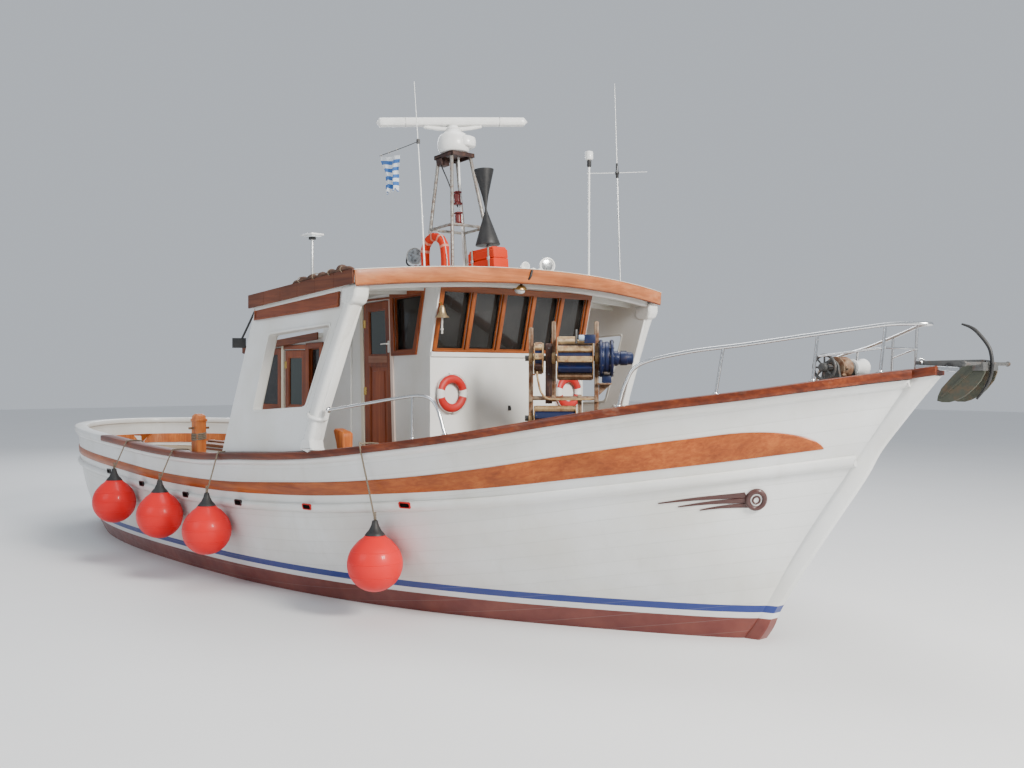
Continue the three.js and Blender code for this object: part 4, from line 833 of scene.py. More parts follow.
def makeStrakes():
    rub = newPart()
    half, depth = hull["rubHalf"], hull["rubDepth"]
    section = [(-half, -0.004), (-half, depth * 0.35), (-half * 0.72, depth * 0.80), (-half * 0.3, depth),
               (half * 0.3, depth), (half * 0.72, depth * 0.80), (half, depth * 0.35), (half, -0.004)]
    addSideStrip(rub, rubCentre, section, "stemPaint")
    makePiece("rubStrakes", bothSides(rub), "boat", ("rub_strake_starboard",
                                                                    "rub_strake_port"))
    varnished = newPart()
    rows, deep = [], hull["strakeDepth"]
    for k, x in enumerate(stationsFor(strakeLow, 170, None, 6.6288)):
        low, high = strakeLow(x), strakeHigh(x)
        soft = min(0.010, (high - low) / 3)
        row = []
        for z, out in ((low, -0.003), (low, deep * 0.5), (low + soft, deep), ((low + high) / 2, deep),
                       (high - soft, deep), (high, deep * 0.5), (high, -0.003)):
            row.append(Vector((x - out, -0.0002, z)) if k == 0 else skinPoint(x, z, out))
        rows.append(row)
    addGrid(varnished, rows, "strakeVarnish", closed=True, capEnd=True, flip=True)
    makePiece("varnishedStrakes", bothSides(varnished), "boat",
              ("varnished_strake_starboard", "varnished_strake_port"))


def makeCapRail():
    part = newPart()
    over, inboard, thick = hull["capOverhang"], hull["capInboard"], hull["capThickness"]
    rows = []
    stations = stationsFor(lambda x: sheerAt(x) - 0.001, 150) + [7.40, 7.475]
    for k, x in enumerate(stations):
        top = railTop(min(x, 7.5))
        outer = skinPoint(x, sheerAt(x) - 0.001, over, sheerAt) if x < 7.3 else None
        innerEdge = skinPoint(x, sheerAt(x) - 0.001, -inboard, sheerAt) if x < 7.3 else None
        if k == 0:
            outer, innerEdge = Vector((x - over, -0.0002, 0)), Vector((hull["stern"] + inboard, -0.0002, 0))
        if x >= 7.3:
            tip = (x - 7.3) / 0.2
            outer, innerEdge = Vector((x, -0.135 + 0.065 * tip, 0)), Vector((x, -0.0002, 0))
        innerEdge.y = min(innerEdge.y, -0.0002)
        across = (innerEdge - outer) * Vector((1, 1, 0))
        length = max(across.length, 0.02)
        unit = across / length
        soft = 0.012
        row = []
        for along, drop in ((0.004, thick), (0.0, thick - soft), (0.0, soft), (0.004, 0.004), (soft, 0.0),
                            (length / 2, -0.003), (length - soft, 0.0), (length - 0.004, 0.004),
                            (length, soft), (length, thick - soft), (length - 0.004, thick)):
            spot = outer + unit * along
            row.append(Vector((spot.x, min(spot.y, -0.0002), top - drop)))
        rows.append(row)
    white = sum(1 for x in stations if x < hull["whiteCapTo"])
    addGrid(part, rows[:white + 1], "housePaint", closed=True, flip=True)
    addGrid(part, rows[white:], "capVarnish", closed=True, capEnd=True, flip=True)
    moulding = [(0.0, -0.002), (0.0, 0.034), (-0.016, 0.040), (-0.036, 0.036), (-0.052, 0.022),
                (-0.060, -0.002)]
    addSideStrip(part, capLow, moulding, "stemPaint")
    makePiece("capRail", bothSides(part), "boat", ("cap_rail_starboard", "cap_rail_port"))
    band = newPart()
    inner = -hull["bulwark"]
    board = [(-0.077, inner - 0.014), (-0.077, inner + 0.003), (0.077, inner + 0.003),
             (0.077, inner - 0.014)]
    addSideStrip(band, lambda x: capLow(x) - 0.277, board, "bittVarnish", 90, None, -1.4)
    makePiece("bulwarkBands", bothSides(band), "boat")


keelEdge = [
    (7.478, 2.372), (7.330, 2.200), (7.199, 2.041), (6.972, 1.755), (6.811, 1.485), (6.396, 0.894),
            (6.015, 0.326),
    (5.880, 0.070), (5.600, -0.260), (5.150, -0.640), (4.500, -1.000), (3.600, -1.300), (2.500, -1.500),
    (0, -1.610), (-3, -1.690), (-5.180, -1.755),
]  # x, height of the stem's and keel's outer edge


# stem, forefoot and keel: the outer edge is narrower than the sides, as a bearding line
def makeBackbone():
    part = newPart()
    edgeLine = curveThrough([(x, 0, z) for x, z in keelEdge], 8)
    rabbet = [Vector((x, 0, rabbetAt(x) + 0.012)) for x in spread(-5.18, 7.31, 400)]
    rows = []
    for p in edgeLine:
        seat = min(rabbet, key=lambda r: (r - p).length)
        toward = seat - p
        depth = toward.length
        unit = toward / depth
        narrow = 0.040 + 0.040 * ease(1.2, -0.6, p.z)
        half = hull["stemHalf"] + 0.004
        row = []
        for back, y in ((0.0, 0.0), (0.0, -narrow + 0.012), (0.010, -narrow), (0.075, -half + 0.004),
                        (0.090, -half), (max(depth, 0.10), -half), (depth + 0.04, -half + 0.02)):
            spot = p + unit * back
            row.append(Vector((spot.x, y, spot.z)))
        rows.append(row)
    addGrid(part, rows, "stemPaint")
    other = mirrorPart(part)
    addFaces(part, other["verts"], other["faces"], "stemPaint")
    for size, centre in (((1.42, 0.16, 0.09), (-5.86, 0, -1.752)), ((0.18, 0.18, 0.92), (-5.14, 0, -1.24))):
        addBox(part, size, centre, "stemPaint")
    addLathe(part, [(0.034, -0.36), (0.088, -0.36), (0.088, 0.03), (0.075, 0.06), (0.034, 0.06)],
             (-5.18, 0, -1.23), (-1, 0, 0), "bottomPaint")
    makePiece("stemAndKeel", part, "boat", ("backbone",), merge=True, smoothAngle=30)


makeHullSkin()
makeStrakes()
makeCapRail()
makeBackbone()
print("hull made")


# Superstructure

house = {"half": 1.12, "face": 1.150, "front": 2.46, "frontTop": 2.64, "sill": 2.585, "lean": 0.18 / 0.782,
         "aft": 0.43, "aftEnd": -1.25, "windowTop": 3.262, "windowHalf": 1.105, "windows": 5,
         "mullion": 0.054}
roof = {"half": 2.27, "aft": 0.69, "front": 2.70, "bow": 0.26, "camber": 0.095, "under": 3.262,
        "slope": 0.082,
        "thickness": 0.118, "centreAft": 0.388, "centreHalf": 1.24, "fasciaDeep": 0.147,
        "fasciaThick": 0.024}
aftRoof = {"top": 2.850, "thickness": 0.055, "half": 1.215, "from": -1.340, "to": 0.428}
screenPlace = Matrix.Translation((0, -2.308, 1.5)) @ Matrix.Rotation(-0.085, 4,
                                                                     "X") @ Matrix.Translation((0, 0, -1.5))
frontPlace = Matrix.Translation((house["front"], 0,
                                 house["sill"])) @ Matrix.Rotation(math.atan(house["lean"]), 4, "Y")


def roofUnder(x, y=0.0):
    return roof["under"] + (x - roof["front"]) * roof["slope"] + roof["camber"] * (1 - (y / roof["half"]) ** 2)


def roofTop(x, y=0.0):
    return roofUnder(x, y) + roof["thickness"]


def roofFront(y):
    return roof["front"] + roof["bow"] * (1 - (y / roof["half"]) ** 2)


def addBlock(part, low, high, finish, place=None):
    low, high = Vector(low), Vector(high)
    start = len(part["verts"])
    addBox(part, high - low, (low + high) / 2, finish)
    if place:
        for i in range(start, len(part["verts"])):
            part["verts"][i] = place @ part["verts"][i]


def dress(names, finish, edge=0.0):
    for name in names:
        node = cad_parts[name]
        node.data.materials.clear()
        node.data.materials.append(finishes[finish])
        if edge:
            bevel = node.modifiers.new("edge", "BEVEL")
            bevel.width, bevel.segments, bevel.limit_method = edge, 2, "ANGLE"
            bevel.angle_limit = math.radians(40)


def grow(outline, edge):
    middle = [sum(p[k] for p in outline) / len(outline) for k in (0, 1)]
    return [tuple(v + (edge if v > m else -edge) for v, m in zip(p, middle)) for p in outline]


# ring of four mitred strips round an opening, in the plane across y
def addFrame(part, opening, width, depth, y, lap):
    inner, outer = grow(opening, -lap), grow(opening, width)
    middle = [sum(p[k] for p in outer) / 4 for k in (0, 1)]
    order = sorted(range(4), key=lambda i: math.atan2(outer[i][1] - middle[1], outer[i][0] - middle[0]))
    for k in range(4):
        a, b = order[k], order[(k + 1) % 4]
        steep = abs(outer[b][1] - outer[a][1]) > abs(outer[b][0] - outer[a][0])
        addPlate(part, [[outer[a], outer[b], inner[b], inner[a]]], depth, "y", y,
                 "frameVarnish" if steep else "frameVarnishAlong", 0.003)


def makeFrontWindows():
    part = newPart()
    half, wide = house["windowHalf"], house["mullion"]
    pitch = 2 * half / house["windows"]
    top = (house["windowTop"] - house["sill"]) * math.hypot(1, house["lean"])
    for k in range(house["windows"] + 1):
        y = -half + pitch * k
        addPlate(part, [roundedBox(y - wide / 2, 0.030, y + wide / 2, top + 0.004, 0.003, 2)], 0.030, "x",
                 0.001,
                 "mullionVarnish", 0.006, frontPlace)
    addPlate(part, [roundedBox(-half - wide / 2, top - 0.020, half + wide / 2, top + 0.046, 0.004, 2)],
             0.034, "x", 0.003,
             "windowRail", 0.006, frontPlace)
    addPlate(part, [roundedBox(-half - wide / 2, 0.026, half + wide / 2, 0.052, 0.004, 2)], 0.044, "x",
             0.007,
             "windowRail", 0.006, frontPlace)
    for k in range(house["windows"]):
        low, high = -half + pitch * k + wide / 2 - 0.006, -half + pitch * (k + 1) - wide / 2 + 0.006
        outer = roundedBox(low, 0.030, high, top + 0.002, 0.004, 2)
        inner = roundedBox(low + 0.018, 0.056, high - 0.018, top - 0.030, 0.012, 4)
        addPlate(part, [outer, inner], 0.020, "x", -0.030, "mullionVarnish", 0.003, frontPlace)
    makePiece("frontWindowFrames", part, "boat")
    trim = newPart()
    addPlate(trim, [roundedBox(-1.148, -0.026, 1.148, 0.025, 0.004, 2)], 0.034, "x", 0.010, "housePaint",
             0.006, frontPlace)
    for y in (-1.146, 1.146):
        addTube(trim, [(house["front"] + 0.002, y, 1.25), (house["front"] + 0.002, y, 2.57)], 0.006,
                "housePaint", 8, 1)
    for y, z in ((-0.026, 1.992), (0.62, 2.30)):
        addBox(trim, (0.010, 0.030, 0.055), (house["front"] + 0.006, y, z), "blackPlastic")
        addTube(trim, [(house["front"] + 0.010, y, z + 0.015), (house["front"] + 0.030, y, z + 0.005),
                       (house["front"] + 0.028, y, z - 0.025)], 0.004, "blackPlastic", 6)
    makePiece("frontWallTrim", trim, "boat")


sideWindow = [(1.830, 2.602), (2.200, 2.612), (2.350, 3.240), (1.800, 3.216)]


def makeSideWindows():
    part = newPart()
    addFrame(part, sideWindow, 0.036, 0.026, -1.156, 0.020)
    addFrame(part, grow(sideWindow, -0.014), 0.006, 0.018, -1.122, 0.020)
    makePiece("sideWindowFrames", bothSides(part), "boat")


doorShape = {"leaf": [(1.302, 1.190), (1.832, 1.190), (1.744, 3.185), (1.252, 3.165)],
             "pane": [(1.381, 2.580), (1.693, 2.580), (1.668, 3.085), (1.360, 3.070)],
             "panel": [(1.398, 1.310), (1.738, 1.310), (1.703, 2.455), (1.386, 2.455)],
             "plane": 1.135, "thickness": 0.042, "gap": 0.006, "handle": (1.744, 2.680)}
aftDoorShape = {"leaf": rectangle(-0.420, 1.120, 0.060, 2.660),
                "pane": rectangle(-0.330, 1.980, -0.030, 2.570),
                "panel": rectangle(-0.330, 1.235, -0.030, 1.870),
                "plane": 1.135, "thickness": 0.042, "gap": 0.006, "handle": (0.012, 1.925)}


def doorPart(shape):
    part = newPart()
    y, thick = -shape["plane"], shape["thickness"]
    leaf = grow(shape["leaf"], -shape["gap"])
    addPlate(part, [leaf, shape["pane"], shape["panel"]], thick, "y", y, "frameVarnish", 0.006)
    for opening in (shape["pane"], shape["panel"]):
        addPlate(part, [grow(opening, 0.004), grow(opening, -0.012)], thick - 0.014, "y", y,
                 "frameVarnish", 0.004)
    addPlate(part, [grow(shape["pane"], 0.002)], 0.006, "y", y, "doorPane", 0.001)
    addPlate(part, [grow(shape["panel"], 0.002)], 0.012, "y", y, "doorPanel", 0.002)
    addPlate(part, [grow(shape["panel"], -0.050)], 0.028, "y", y, "doorPanel", 0.010)
    (paneLow, sill), (paneHigh, _) = shape["pane"][:2]
    rail = rectangle(paneLow - 0.02, sill - 0.085, paneHigh + 0.02, sill - 0.012)
    addPlate(part, [rail], thick + 0.006, "y", y, "railVarnish", 0.004)
    hx, hz = shape["handle"]
    for side in (-1, 1):
        face = y + side * (thick / 2 + 0.003)
        addPlate(part, [roundedBox(hx - 0.017, hz - 0.075, hx + 0.017, hz + 0.055, 0.008, 3)], 0.008, "y",
                 face,
                 "whitePlastic", 0.003)
        addBar(part, (hx, face, hz + 0.02), (hx, face + side * 0.030, hz + 0.02), 0.009, "whitePlastic", 12)
        addTube(part, [(hx, face + side * 0.028, hz + 0.02), (hx - 0.03, face + side * 0.032, hz + 0.021),
                       (hx - 0.105, face + side * 0.030, hz + 0.016)], 0.008, "whitePlastic", 10)
    low, high = shape["leaf"][0], shape["leaf"][3]
    for share in (0.12, 0.5, 0.88):
        x = low[0] + (high[0] - low[0]) * share + 0.010
        z = low[1] + (high[1] - low[1]) * share
        addBar(part, (x - 0.004, y - thick / 2, z - 0.045), (x - 0.004, y - thick / 2, z + 0.045), 0.0055,
               "brass", 10)
        addBox(part, (0.040, 0.003, 0.086), (x + 0.018, y - thick / 2 - 0.001, z), "brass")
    return part


def makeDoors():
    for shape, stem in ((doorShape, "door"), (aftDoorShape, "aft_door")):
        starboard = doorPart(shape)
        makePiece(stem + "StarboardLeaf", starboard, stem + "_starboard", (stem + "_starboard",))
        makePiece(stem + "PortLeaf", mirrorPart(starboard), stem + "_port", (stem + "_port",))
    jambs = newPart()
    leaf = doorShape["leaf"]
    foreOut = [(leaf[1][0] + 0.003, 1.19), (leaf[1][0] + 0.052, 1.19), (leaf[2][0] + 0.050, 3.19),
               (leaf[2][0] + 0.003, 3.19)]
    aftOut = [(leaf[0][0] - 0.060, 1.19), (leaf[0][0] - 0.003, 1.19), (leaf[3][0] - 0.003, 3.175),
              (leaf[3][0] - 0.060, 3.175)]
    addPlate(jambs, [foreOut], 0.022, "y", -1.156, "jambPink", 0.004)
    addPlate(jambs, [aftOut], 0.018, "y", -1.154, "jambCream", 0.004)
    addPlate(jambs, [[(leaf[3][0] - 0.06, 3.178), (leaf[2][0] + 0.05, 3.192), (leaf[2][0] + 0.05, 3.214),
                      (leaf[3][0] - 0.06, 3.200)]],
             0.020, "y", -1.155, "frameVarnishAlong", 0.003)
    makePiece("doorJambs", bothSides(jambs), "boat")


def makeWallFittings():
    part = newPart()
    hook = (0.786, -1.150, 2.356)
    addBox(part, (0.020, 0.008, 0.055), (hook[0], hook[1] - 0.004, hook[2]), "blackPlastic")
    addTube(part, [(hook[0], -1.156, hook[2] + 0.01), (hook[0], -1.185, hook[2]),
                   (hook[0], -1.178, hook[2] - 0.03)],
            0.005, "blackPlastic", 8)
    addBox(part, (0.050, 0.030, 0.110), (0.600, -1.165, 2.150), "blackPlastic")
    addTube(part, [(1.02, -1.158, 1.25), (1.02, -1.158, 3.10)], 0.009, "housePaint", 8, 1)
    for z in (1.5, 2.0, 2.5, 3.0):
        addBox(part, (0.034, 0.014, 0.016), (1.02, -1.157, z), "housePaint")
    makePiece("wallFittings", bothSides(part), "boat", edge=0.002)


def makeBell():
    part = newPart()
    place = Vector((2.60, -1.128, 3.062))
    addTube(part, around(place, [(-0.03, 0.0, 0.05), (0.01, 0, 0.055), (0.035, 0, 0.025)]),
            0.007, "brass", 10)
    profile = [(0.0, 0.030), (0.016, 0.028), (0.022, 0.018), (0.030, -0.004), (0.036, -0.040),
               (0.052, -0.075),
               (0.072, -0.092), (0.074, -0.098), (0.066, -0.096), (0.046, -0.074), (0.028, -0.040),
               (0.020, 0.0), (0.0, 0.012)]
    addLathe(part, profile, place + Vector((0.035, 0, -0.005)), (0, 0, 1), "bellBronze", 32)
    addTube(part, around(place, [(0.035, 0, -0.09), (0.034, 0.003, -0.13), (0.037, -0.002, -0.17),
                                 (0.034, 0, -0.215)]), 0.010, "whiteRope", 8)
    addLathe(part, [(0.0, 0.0), (0.014, -0.004), (0.017, -0.016), (0.010, -0.030), (0.012, -0.060),
                    (0.0, -0.062)],
             place + Vector((0.034, 0, -0.21)), (0, 0, 1), "whiteRope", 12)
    makePiece("bell", part, "boat")


def makeRoof():
    part = newPart()
    stations = sorted(spread(-roof["half"], roof["half"], 40)
                      + [s * (roof["centreHalf"] + d) for s in (-1, 1) for d in (-1e-4, 1e-4)])
    top, under, edges = [], [], []
    for y in stations:
        aft = roof["centreAft"] if abs(y) < roof["centreHalf"] else roof["aft"]
        xs = spread(aft, roofFront(y), 10)
        top.append([Vector((x, y, roofTop(x, y))) for x in xs])
        under.append([Vector((x, y, roofUnder(x, y))) for x in xs])
        edges.append((top[-1][-1], under[-1][-1], top[-1][0], under[-1][0]))
    addGrid(part, top, "roofPaint", flip=True)
    addGrid(part, under, "innerPaint")
    addGrid(part, [[e[1], e[0]] for e in edges], "housePaint")
    addGrid(part, [[e[2], e[3]] for e in edges], "roofVarnishDark")
    for row, flipped in ((0, False), (-1, True)):
        addGrid(part, [top[row], under[row]], "roofVarnishDark", flip=flipped)
    makePiece("roofPanel", part, "boat", ("canopy_roof",), merge=True)
    makeRoofEdges()


def makeRoofEdges():
    part = newPart()
    deep, thick = roof["fasciaDeep"], roof["fasciaThick"]
    ys = spread(-roof["half"] - 0.004, roof["half"] + 0.004, 72)
    line = [Vector((roofFront(y) + 0.002, y, roofTop(roofFront(y), y) - 0.002)) for y in ys]
    section = [(0.0, -deep), (0.0, 0.0), (thick, 0.0), (thick, -deep + 0.008), (thick - 0.006, -deep)]
    addSweep(part, line, section, "roofVarnish")
    # thin cream lip on the fascia top: partly the roof's white edge, partly a painted highlight
    lipWithHighlight = [(-0.030, 0.001), (thick + 0.003, 0.001), (thick + 0.005, 0.004), (thick + 0.003, 0.008),
           (-0.030, 0.008)]
    addSweep(part, line, lipWithHighlight, "roofLip")
    # dark strip under the fascia in the shaded varnish copy: a painted shadow line along its lower edge
    lower = [(thick - 0.008, -deep - 0.001), (thick - 0.002, -deep - 0.001),
             (thick - 0.004, -deep - 0.012), (thick - 0.012, -deep - 0.012)]
    addSweep(part, line, lower, "roofVarnishDark")
    # side boards of the fascia in the darker varnish copy: painted shade on the faces turned from the light
    for side in (-1, 1):
        y = side * (roof["half"] + 0.004)
        for k in range(6):
            x0 = roof["aft"] + (roof["front"] - roof["aft"]) * k / 6
            x1 = roof["aft"] + (roof["front"] - roof["aft"]) * (k + 1) / 6 - 0.002
            corners = [(x0, roofUnder(x0, y) - 0.012), (x1, roofUnder(x1, y) - 0.012),
                       (x1, roofTop(x1, y) + 0.014), (x0, roofTop(x0, y) + 0.014)]
            addPlate(part, [corners], 0.026, "y", y, "roofVarnishDark", 0.003)
    makePiece("roofFascia", part, "boat", edge=0.002)
    beam = newPart()
    inset = 0.115
    ys = spread(0.10 - roof["half"], roof["half"] - 0.10, 48)
    line = [Vector((roofFront(y) - inset, y, roofUnder(roofFront(y) - inset, y) + 0.004)) for y in ys]
    addSweep(beam, line, [(-0.030, -0.075), (-0.030, 0.0), (0.030, 0.0), (0.030, -0.066), (0.022, -0.075)],
             "housePaint")
    for side in (-1, 1):
        for x in (2.06, 2.36):
            pairs = [side * y for y in spread(1.165, 2.13, 8)]
            line = [Vector((x, y, roofUnder(x, y) + 0.002)) for y in pairs]
            addSweep(beam, line, [(-0.022, -0.055), (-0.022, 0.0), (0.022, 0.0), (0.022, -0.055)],
                     "innerPaint")
        xs = spread(0.70, 2.55, 8)
        line = [Vector((x, side * 2.205, roofUnder(x, 2.205) + 0.002)) for x in xs]
        addSweep(beam, line, [(-0.03, -0.05), (-0.03, 0.0), (0.03, 0.0), (0.03, -0.05)], "innerPaint")
    makePiece("roofBeams", beam, "boat", edge=0.003)


# rolled cover lashed along the starboard roof edge
def makeRolledCover():
    part = newPart()
    rows = []
    for k in range(61):
        share = k / 60
        x = 1.56 + (2.66 - 1.56) * share
        body = math.sin(math.pi * min(1, share * 5, (1 - share) * 7) / 2)
        wave = noise.noise(Vector((x * 4.5, 0.3, 0)))
        fat = 0.010 + body * (0.020 + 0.014 * wave + 0.007 * math.sin(share * 40))
        centre = Vector((x, -roof["half"] + 0.015 + 0.012 * noise.noise(Vector((x * 3, 5, 0))),
                         roofTop(x, roof["half"]) + 0.012 + fat * 0.75))
        ring = []
        for j in range(16):
            angle = tau * j / 16
            fold = 1 + 0.22 * noise.noise(Vector((x * 9, math.cos(angle) * 1.5, math.sin(angle) * 1.5)))
            ring.append(centre + Vector((0, math.cos(angle) * fat * 1.25 * fold,
                                         math.sin(angle) * fat * 0.85 * fold)))
        rows.append(ring)
    addLoft(part, rows, "coverCloth")
    for x in (1.75, 2.02, 2.30, 2.52):
        points = [Vector((x, -roof["half"] + 0.015 + math.cos(a) * 0.058,
                          roofTop(x, roof["half"]) + 0.030 + math.sin(a) * 0.034))
                  for a in [tau * j / 12 for j in range(12)]]
        addTube(part, points, 0.004, "rope", 6, 2, closed=True)
    makePiece("rolledCover", part, "boat")


screenShape = {"opening": [(0.815, 1.969), (1.859, 2.033), (2.216, 2.870), (1.034, 2.800)],
               "thickness": 0.100,
               "offset": 0.022, "board": [(0.745, 2.962), (2.352, 3.045), (2.352, 3.232), (0.745, 3.150)],
               "postLine": [(1.985, 1.60), (2.035, 1.80), (2.090, 2.03), (2.200, 2.30), (2.320, 2.58),
                            (2.445, 2.86),
                            (2.555, 3.10), (2.595, 3.22)]}


def roundCorners(outline, radius, count=5):
    result = []
    for k, corner in enumerate(outline):
        before, here, after = (Vector(outline[i % len(outline)]) for i in (k - 1, k, k + 1))
        start = here + (before - here).normalized() * radius
        end = here + (after - here).normalized() * radius
        for j in range(count + 1):
            t = j / count
            result.append(tuple(start * (1 - t) ** 2 + here * 2 * t * (1 - t) + end * t * t))
    return result


def makeScreens():
    part = newPart()
    rail = [(x, railTop(x) + 0.002) for x in spread(2.055, 0.19, 12)]
    outline = rail + [(0.70, 3.130), (1.70, 3.215), (2.60, 3.290), (2.60, 3.050), (2.18, 2.030)]
    addPlate(part, [outline, roundCorners(screenShape["opening"], 0.05)], screenShape["thickness"], "y",
             screenShape["offset"], "housePaint", 0.008, screenPlace)
    rim = roundCorners(grow(screenShape["opening"], 0.022), 0.06)
    hole = roundCorners(grow(screenShape["opening"], -0.004), 0.048)
    addPlate(part, [rim, hole], 0.012, "y", screenShape["offset"] - 0.052, "housePaint", 0.004, screenPlace)
    # inboard rim in the darker lining paint, which paints the shade on the screen's inner face
    addPlate(part, [rim, hole], 0.012, "y", screenShape["offset"] + 0.052, "screenLining", 0.004,
             screenPlace)
    line = curveThrough([screenPlace @ Vector((x, -0.010, z)) for x, z in screenShape["postLine"]], 4)
    section = roundedBox(-0.072, -0.075, 0.072, 0.075, 0.050, 5)
    rows = []
    for k, p in enumerate(line):
        along = directionAt(line, k)
        across = Vector((0, 1, 0))
        forward = across.cross(along).normalized()
        size = 1.0 + 0.10 * ease(2.95, 3.2, p.z) + 0.10 * ease(1.95, 1.75, p.z)
        rows.append([p + across * a * size + forward * b * size for a, b in section])
    addLoft(part, rows, "postPaint")
    bracket = [(2.44, 3.085), (2.50, 3.045), (2.585, 3.035), (2.665, 3.070), (2.700, 3.135),
               (2.705, 3.255), (2.45, 3.235)]
    addPlate(part, [roundCorners(bracket, 0.02, 3)], 0.170, "y", -0.005, "postPaint", 0.030, screenPlace)
    foot = [(1.90, railTop(1.95) + 0.004), (2.145, railTop(2.1) + 0.002), (2.120, 1.64), (2.09, 1.72),
            (1.93, 1.72), (1.90, 1.66)]
    addPlate(part, [roundCorners(foot, 0.02, 3)], 0.165, "y", -0.010, "postPaint", 0.022, screenPlace)
    ringPlace = screenPlace @ Vector((2.068, -0.010, 1.945))
    addRing(part, ringPlace, (0.35, 0.04, 1), 0.094, 0.020, "postPaint", 32, 12)
    makePiece("screenStarboard", part, "boat", ("side_screen_starboard",), smoothAngle=45)
    makePiece("screenPort", mirrorPart(part), "boat", ("side_screen_port",), smoothAngle=45)
    board = newPart()
    outerFace = screenShape["offset"] - screenShape["thickness"] / 2
    addPlate(board, [screenShape["board"]], 0.026, "y", outerFace - 0.012, "boardVarnish", 0.005,
             screenPlace)
    addPlate(board, [grow(screenShape["board"], 0.010), grow(screenShape["board"], -0.014)], 0.014, "y",
             outerFace - 0.026,
             "frameVarnishAlong", 0.004, screenPlace)
    makePiece("nameBoards", bothSides(board), "boat")


def aftRoofUnder(x):
    return aftRoof["top"] - aftRoof["thickness"] + (x - 0.43) * roof["slope"]


def makeAftHouse():
    dress(["aft_house"], "housePaint", 0.004)
    part = newPart()
    for opening in ([(-1.090, 1.950), (-0.540, 1.950), (-0.540, 2.640), (-1.090, 2.620)],
                    [(0.130, 1.950), (0.400, 1.950), (0.400, 2.700), (0.130, 2.690)]):
        addFrame(part, opening, 0.045, 0.028, -1.160, 0.022)
        addPlate(part, [grow(opening, 0.004)], 0.006, "y", -1.118, "pane", 0.001)
        addFrame(part, grow(opening, -0.018), 0.006, 0.030, -1.130, 0.016)
    for x0, x1 in ((-0.486, -0.427), (0.067, 0.096)):
        addPlate(part, [rectangle(x0, 1.12, x1, 2.72)], 0.024, "y", -1.160,
                 "jambCream" if x0 < 0 else "frameVarnish", 0.004)
    addPlate(part, [rectangle(-0.43, 2.667, 0.07, 2.72)], 0.024, "y", -1.160, "frameVarnishAlong", 0.004)
    for x0, x1 in ((-1.225, -0.49), (0.10, 0.42)):
        rail = rectangle(x0, 1.862, x1, 1.900)
        addPlate(part, [rail], 0.030, "y", -1.162, "frameVarnishAlong", 0.006)
        lower = 1.20
        count = max(2, round((x1 - x0) / 0.13))
        for k in range(count):
            a, b = x0 + (x1 - x0) * k / count + 0.003, x0 + (x1 - x0) * (k + 1) / count - 0.003
            addPlate(part, [rectangle(a, lower, b, 1.858)], 0.014, "y", -1.156, "housePaint", 0.005)
    addPlate(part, [rectangle(-1.262, 1.10, -1.225, 2.64)], 0.060, "y", -1.134, "frameVarnish", 0.006)
    makePiece("aftHouseJoinery", bothSides(part), "boat")
    back = newPart()
    face = house["aftEnd"] - 0.006
    for k in range(16):
        a, b = -1.115 + 2.23 * k / 16 + 0.003, -1.115 + 2.23 * (k + 1) / 16 - 0.003
        addPlate(back, [rectangle(a, 1.16, b, 2.60)], 0.014, "x", face, "frameVarnish", 0.005)
    for low, high in ((2.575, 2.640), (1.862, 1.902)):
        addPlate(back, [rectangle(-1.14, low, 1.14, high)], 0.024, "x", face - 0.010, "frameVarnishAcross",
                 0.006)
    opening = rectangle(-0.36, 2.02, 0.36, 2.46)
    addPlate(back, [grow(opening, 0.05), grow(opening, -0.01)], 0.024, "x", face - 0.012,
             "frameVarnishAcross", 0.006)
    addPlate(back, [opening], 0.010, "x", face - 0.006, "doorPane", 0.002)
    makePiece("aftHouseBack", back, "boat")
    top = newPart()
    ys = spread(-aftRoof["half"], aftRoof["half"], 24)
    rows = []
    for y in ys:
        crown = 0.040 * (1 - (y / aftRoof["half"]) ** 2)
        xs = spread(aftRoof["from"], aftRoof["to"], 8)
        rows.append([Vector((x, y, aftRoofUnder(x))) for x in xs]
                    + [Vector((x, y, aftRoofUnder(x) + aftRoof["thickness"] + crown)) for x in xs[::-1]])
    addLoft(top, rows, "roofPaint")
    for side in (-1, 1):
        y = side * (aftRoof["half"] + 0.006)
        a, b = aftRoof["from"] - 0.006, aftRoof["to"]
        addPlate(top, [[(a, aftRoofUnder(a) - 0.022), (b, aftRoofUnder(b) - 0.022),
                        (b, aftRoofUnder(b) + 0.066), (a, aftRoofUnder(a) + 0.066)]],
                 0.022, "y", y, "roofVarnishDark", 0.005)
    line = [Vector((aftRoof["from"] - 0.006, y,
                    aftRoofUnder(aftRoof["from"]) + 0.012 + 0.040 * (1 - (y / aftRoof["half"]) ** 2)))
            for y in ys]
    addSweep(top, line, [(-0.012, -0.040), (-0.012, 0.055), (0.012, 0.055), (0.012, -0.040)],
             "roofVarnishDark")
    makePiece("aftHouseRoofing", top, "boat", ("aft_house_roof",), edge=0.002)


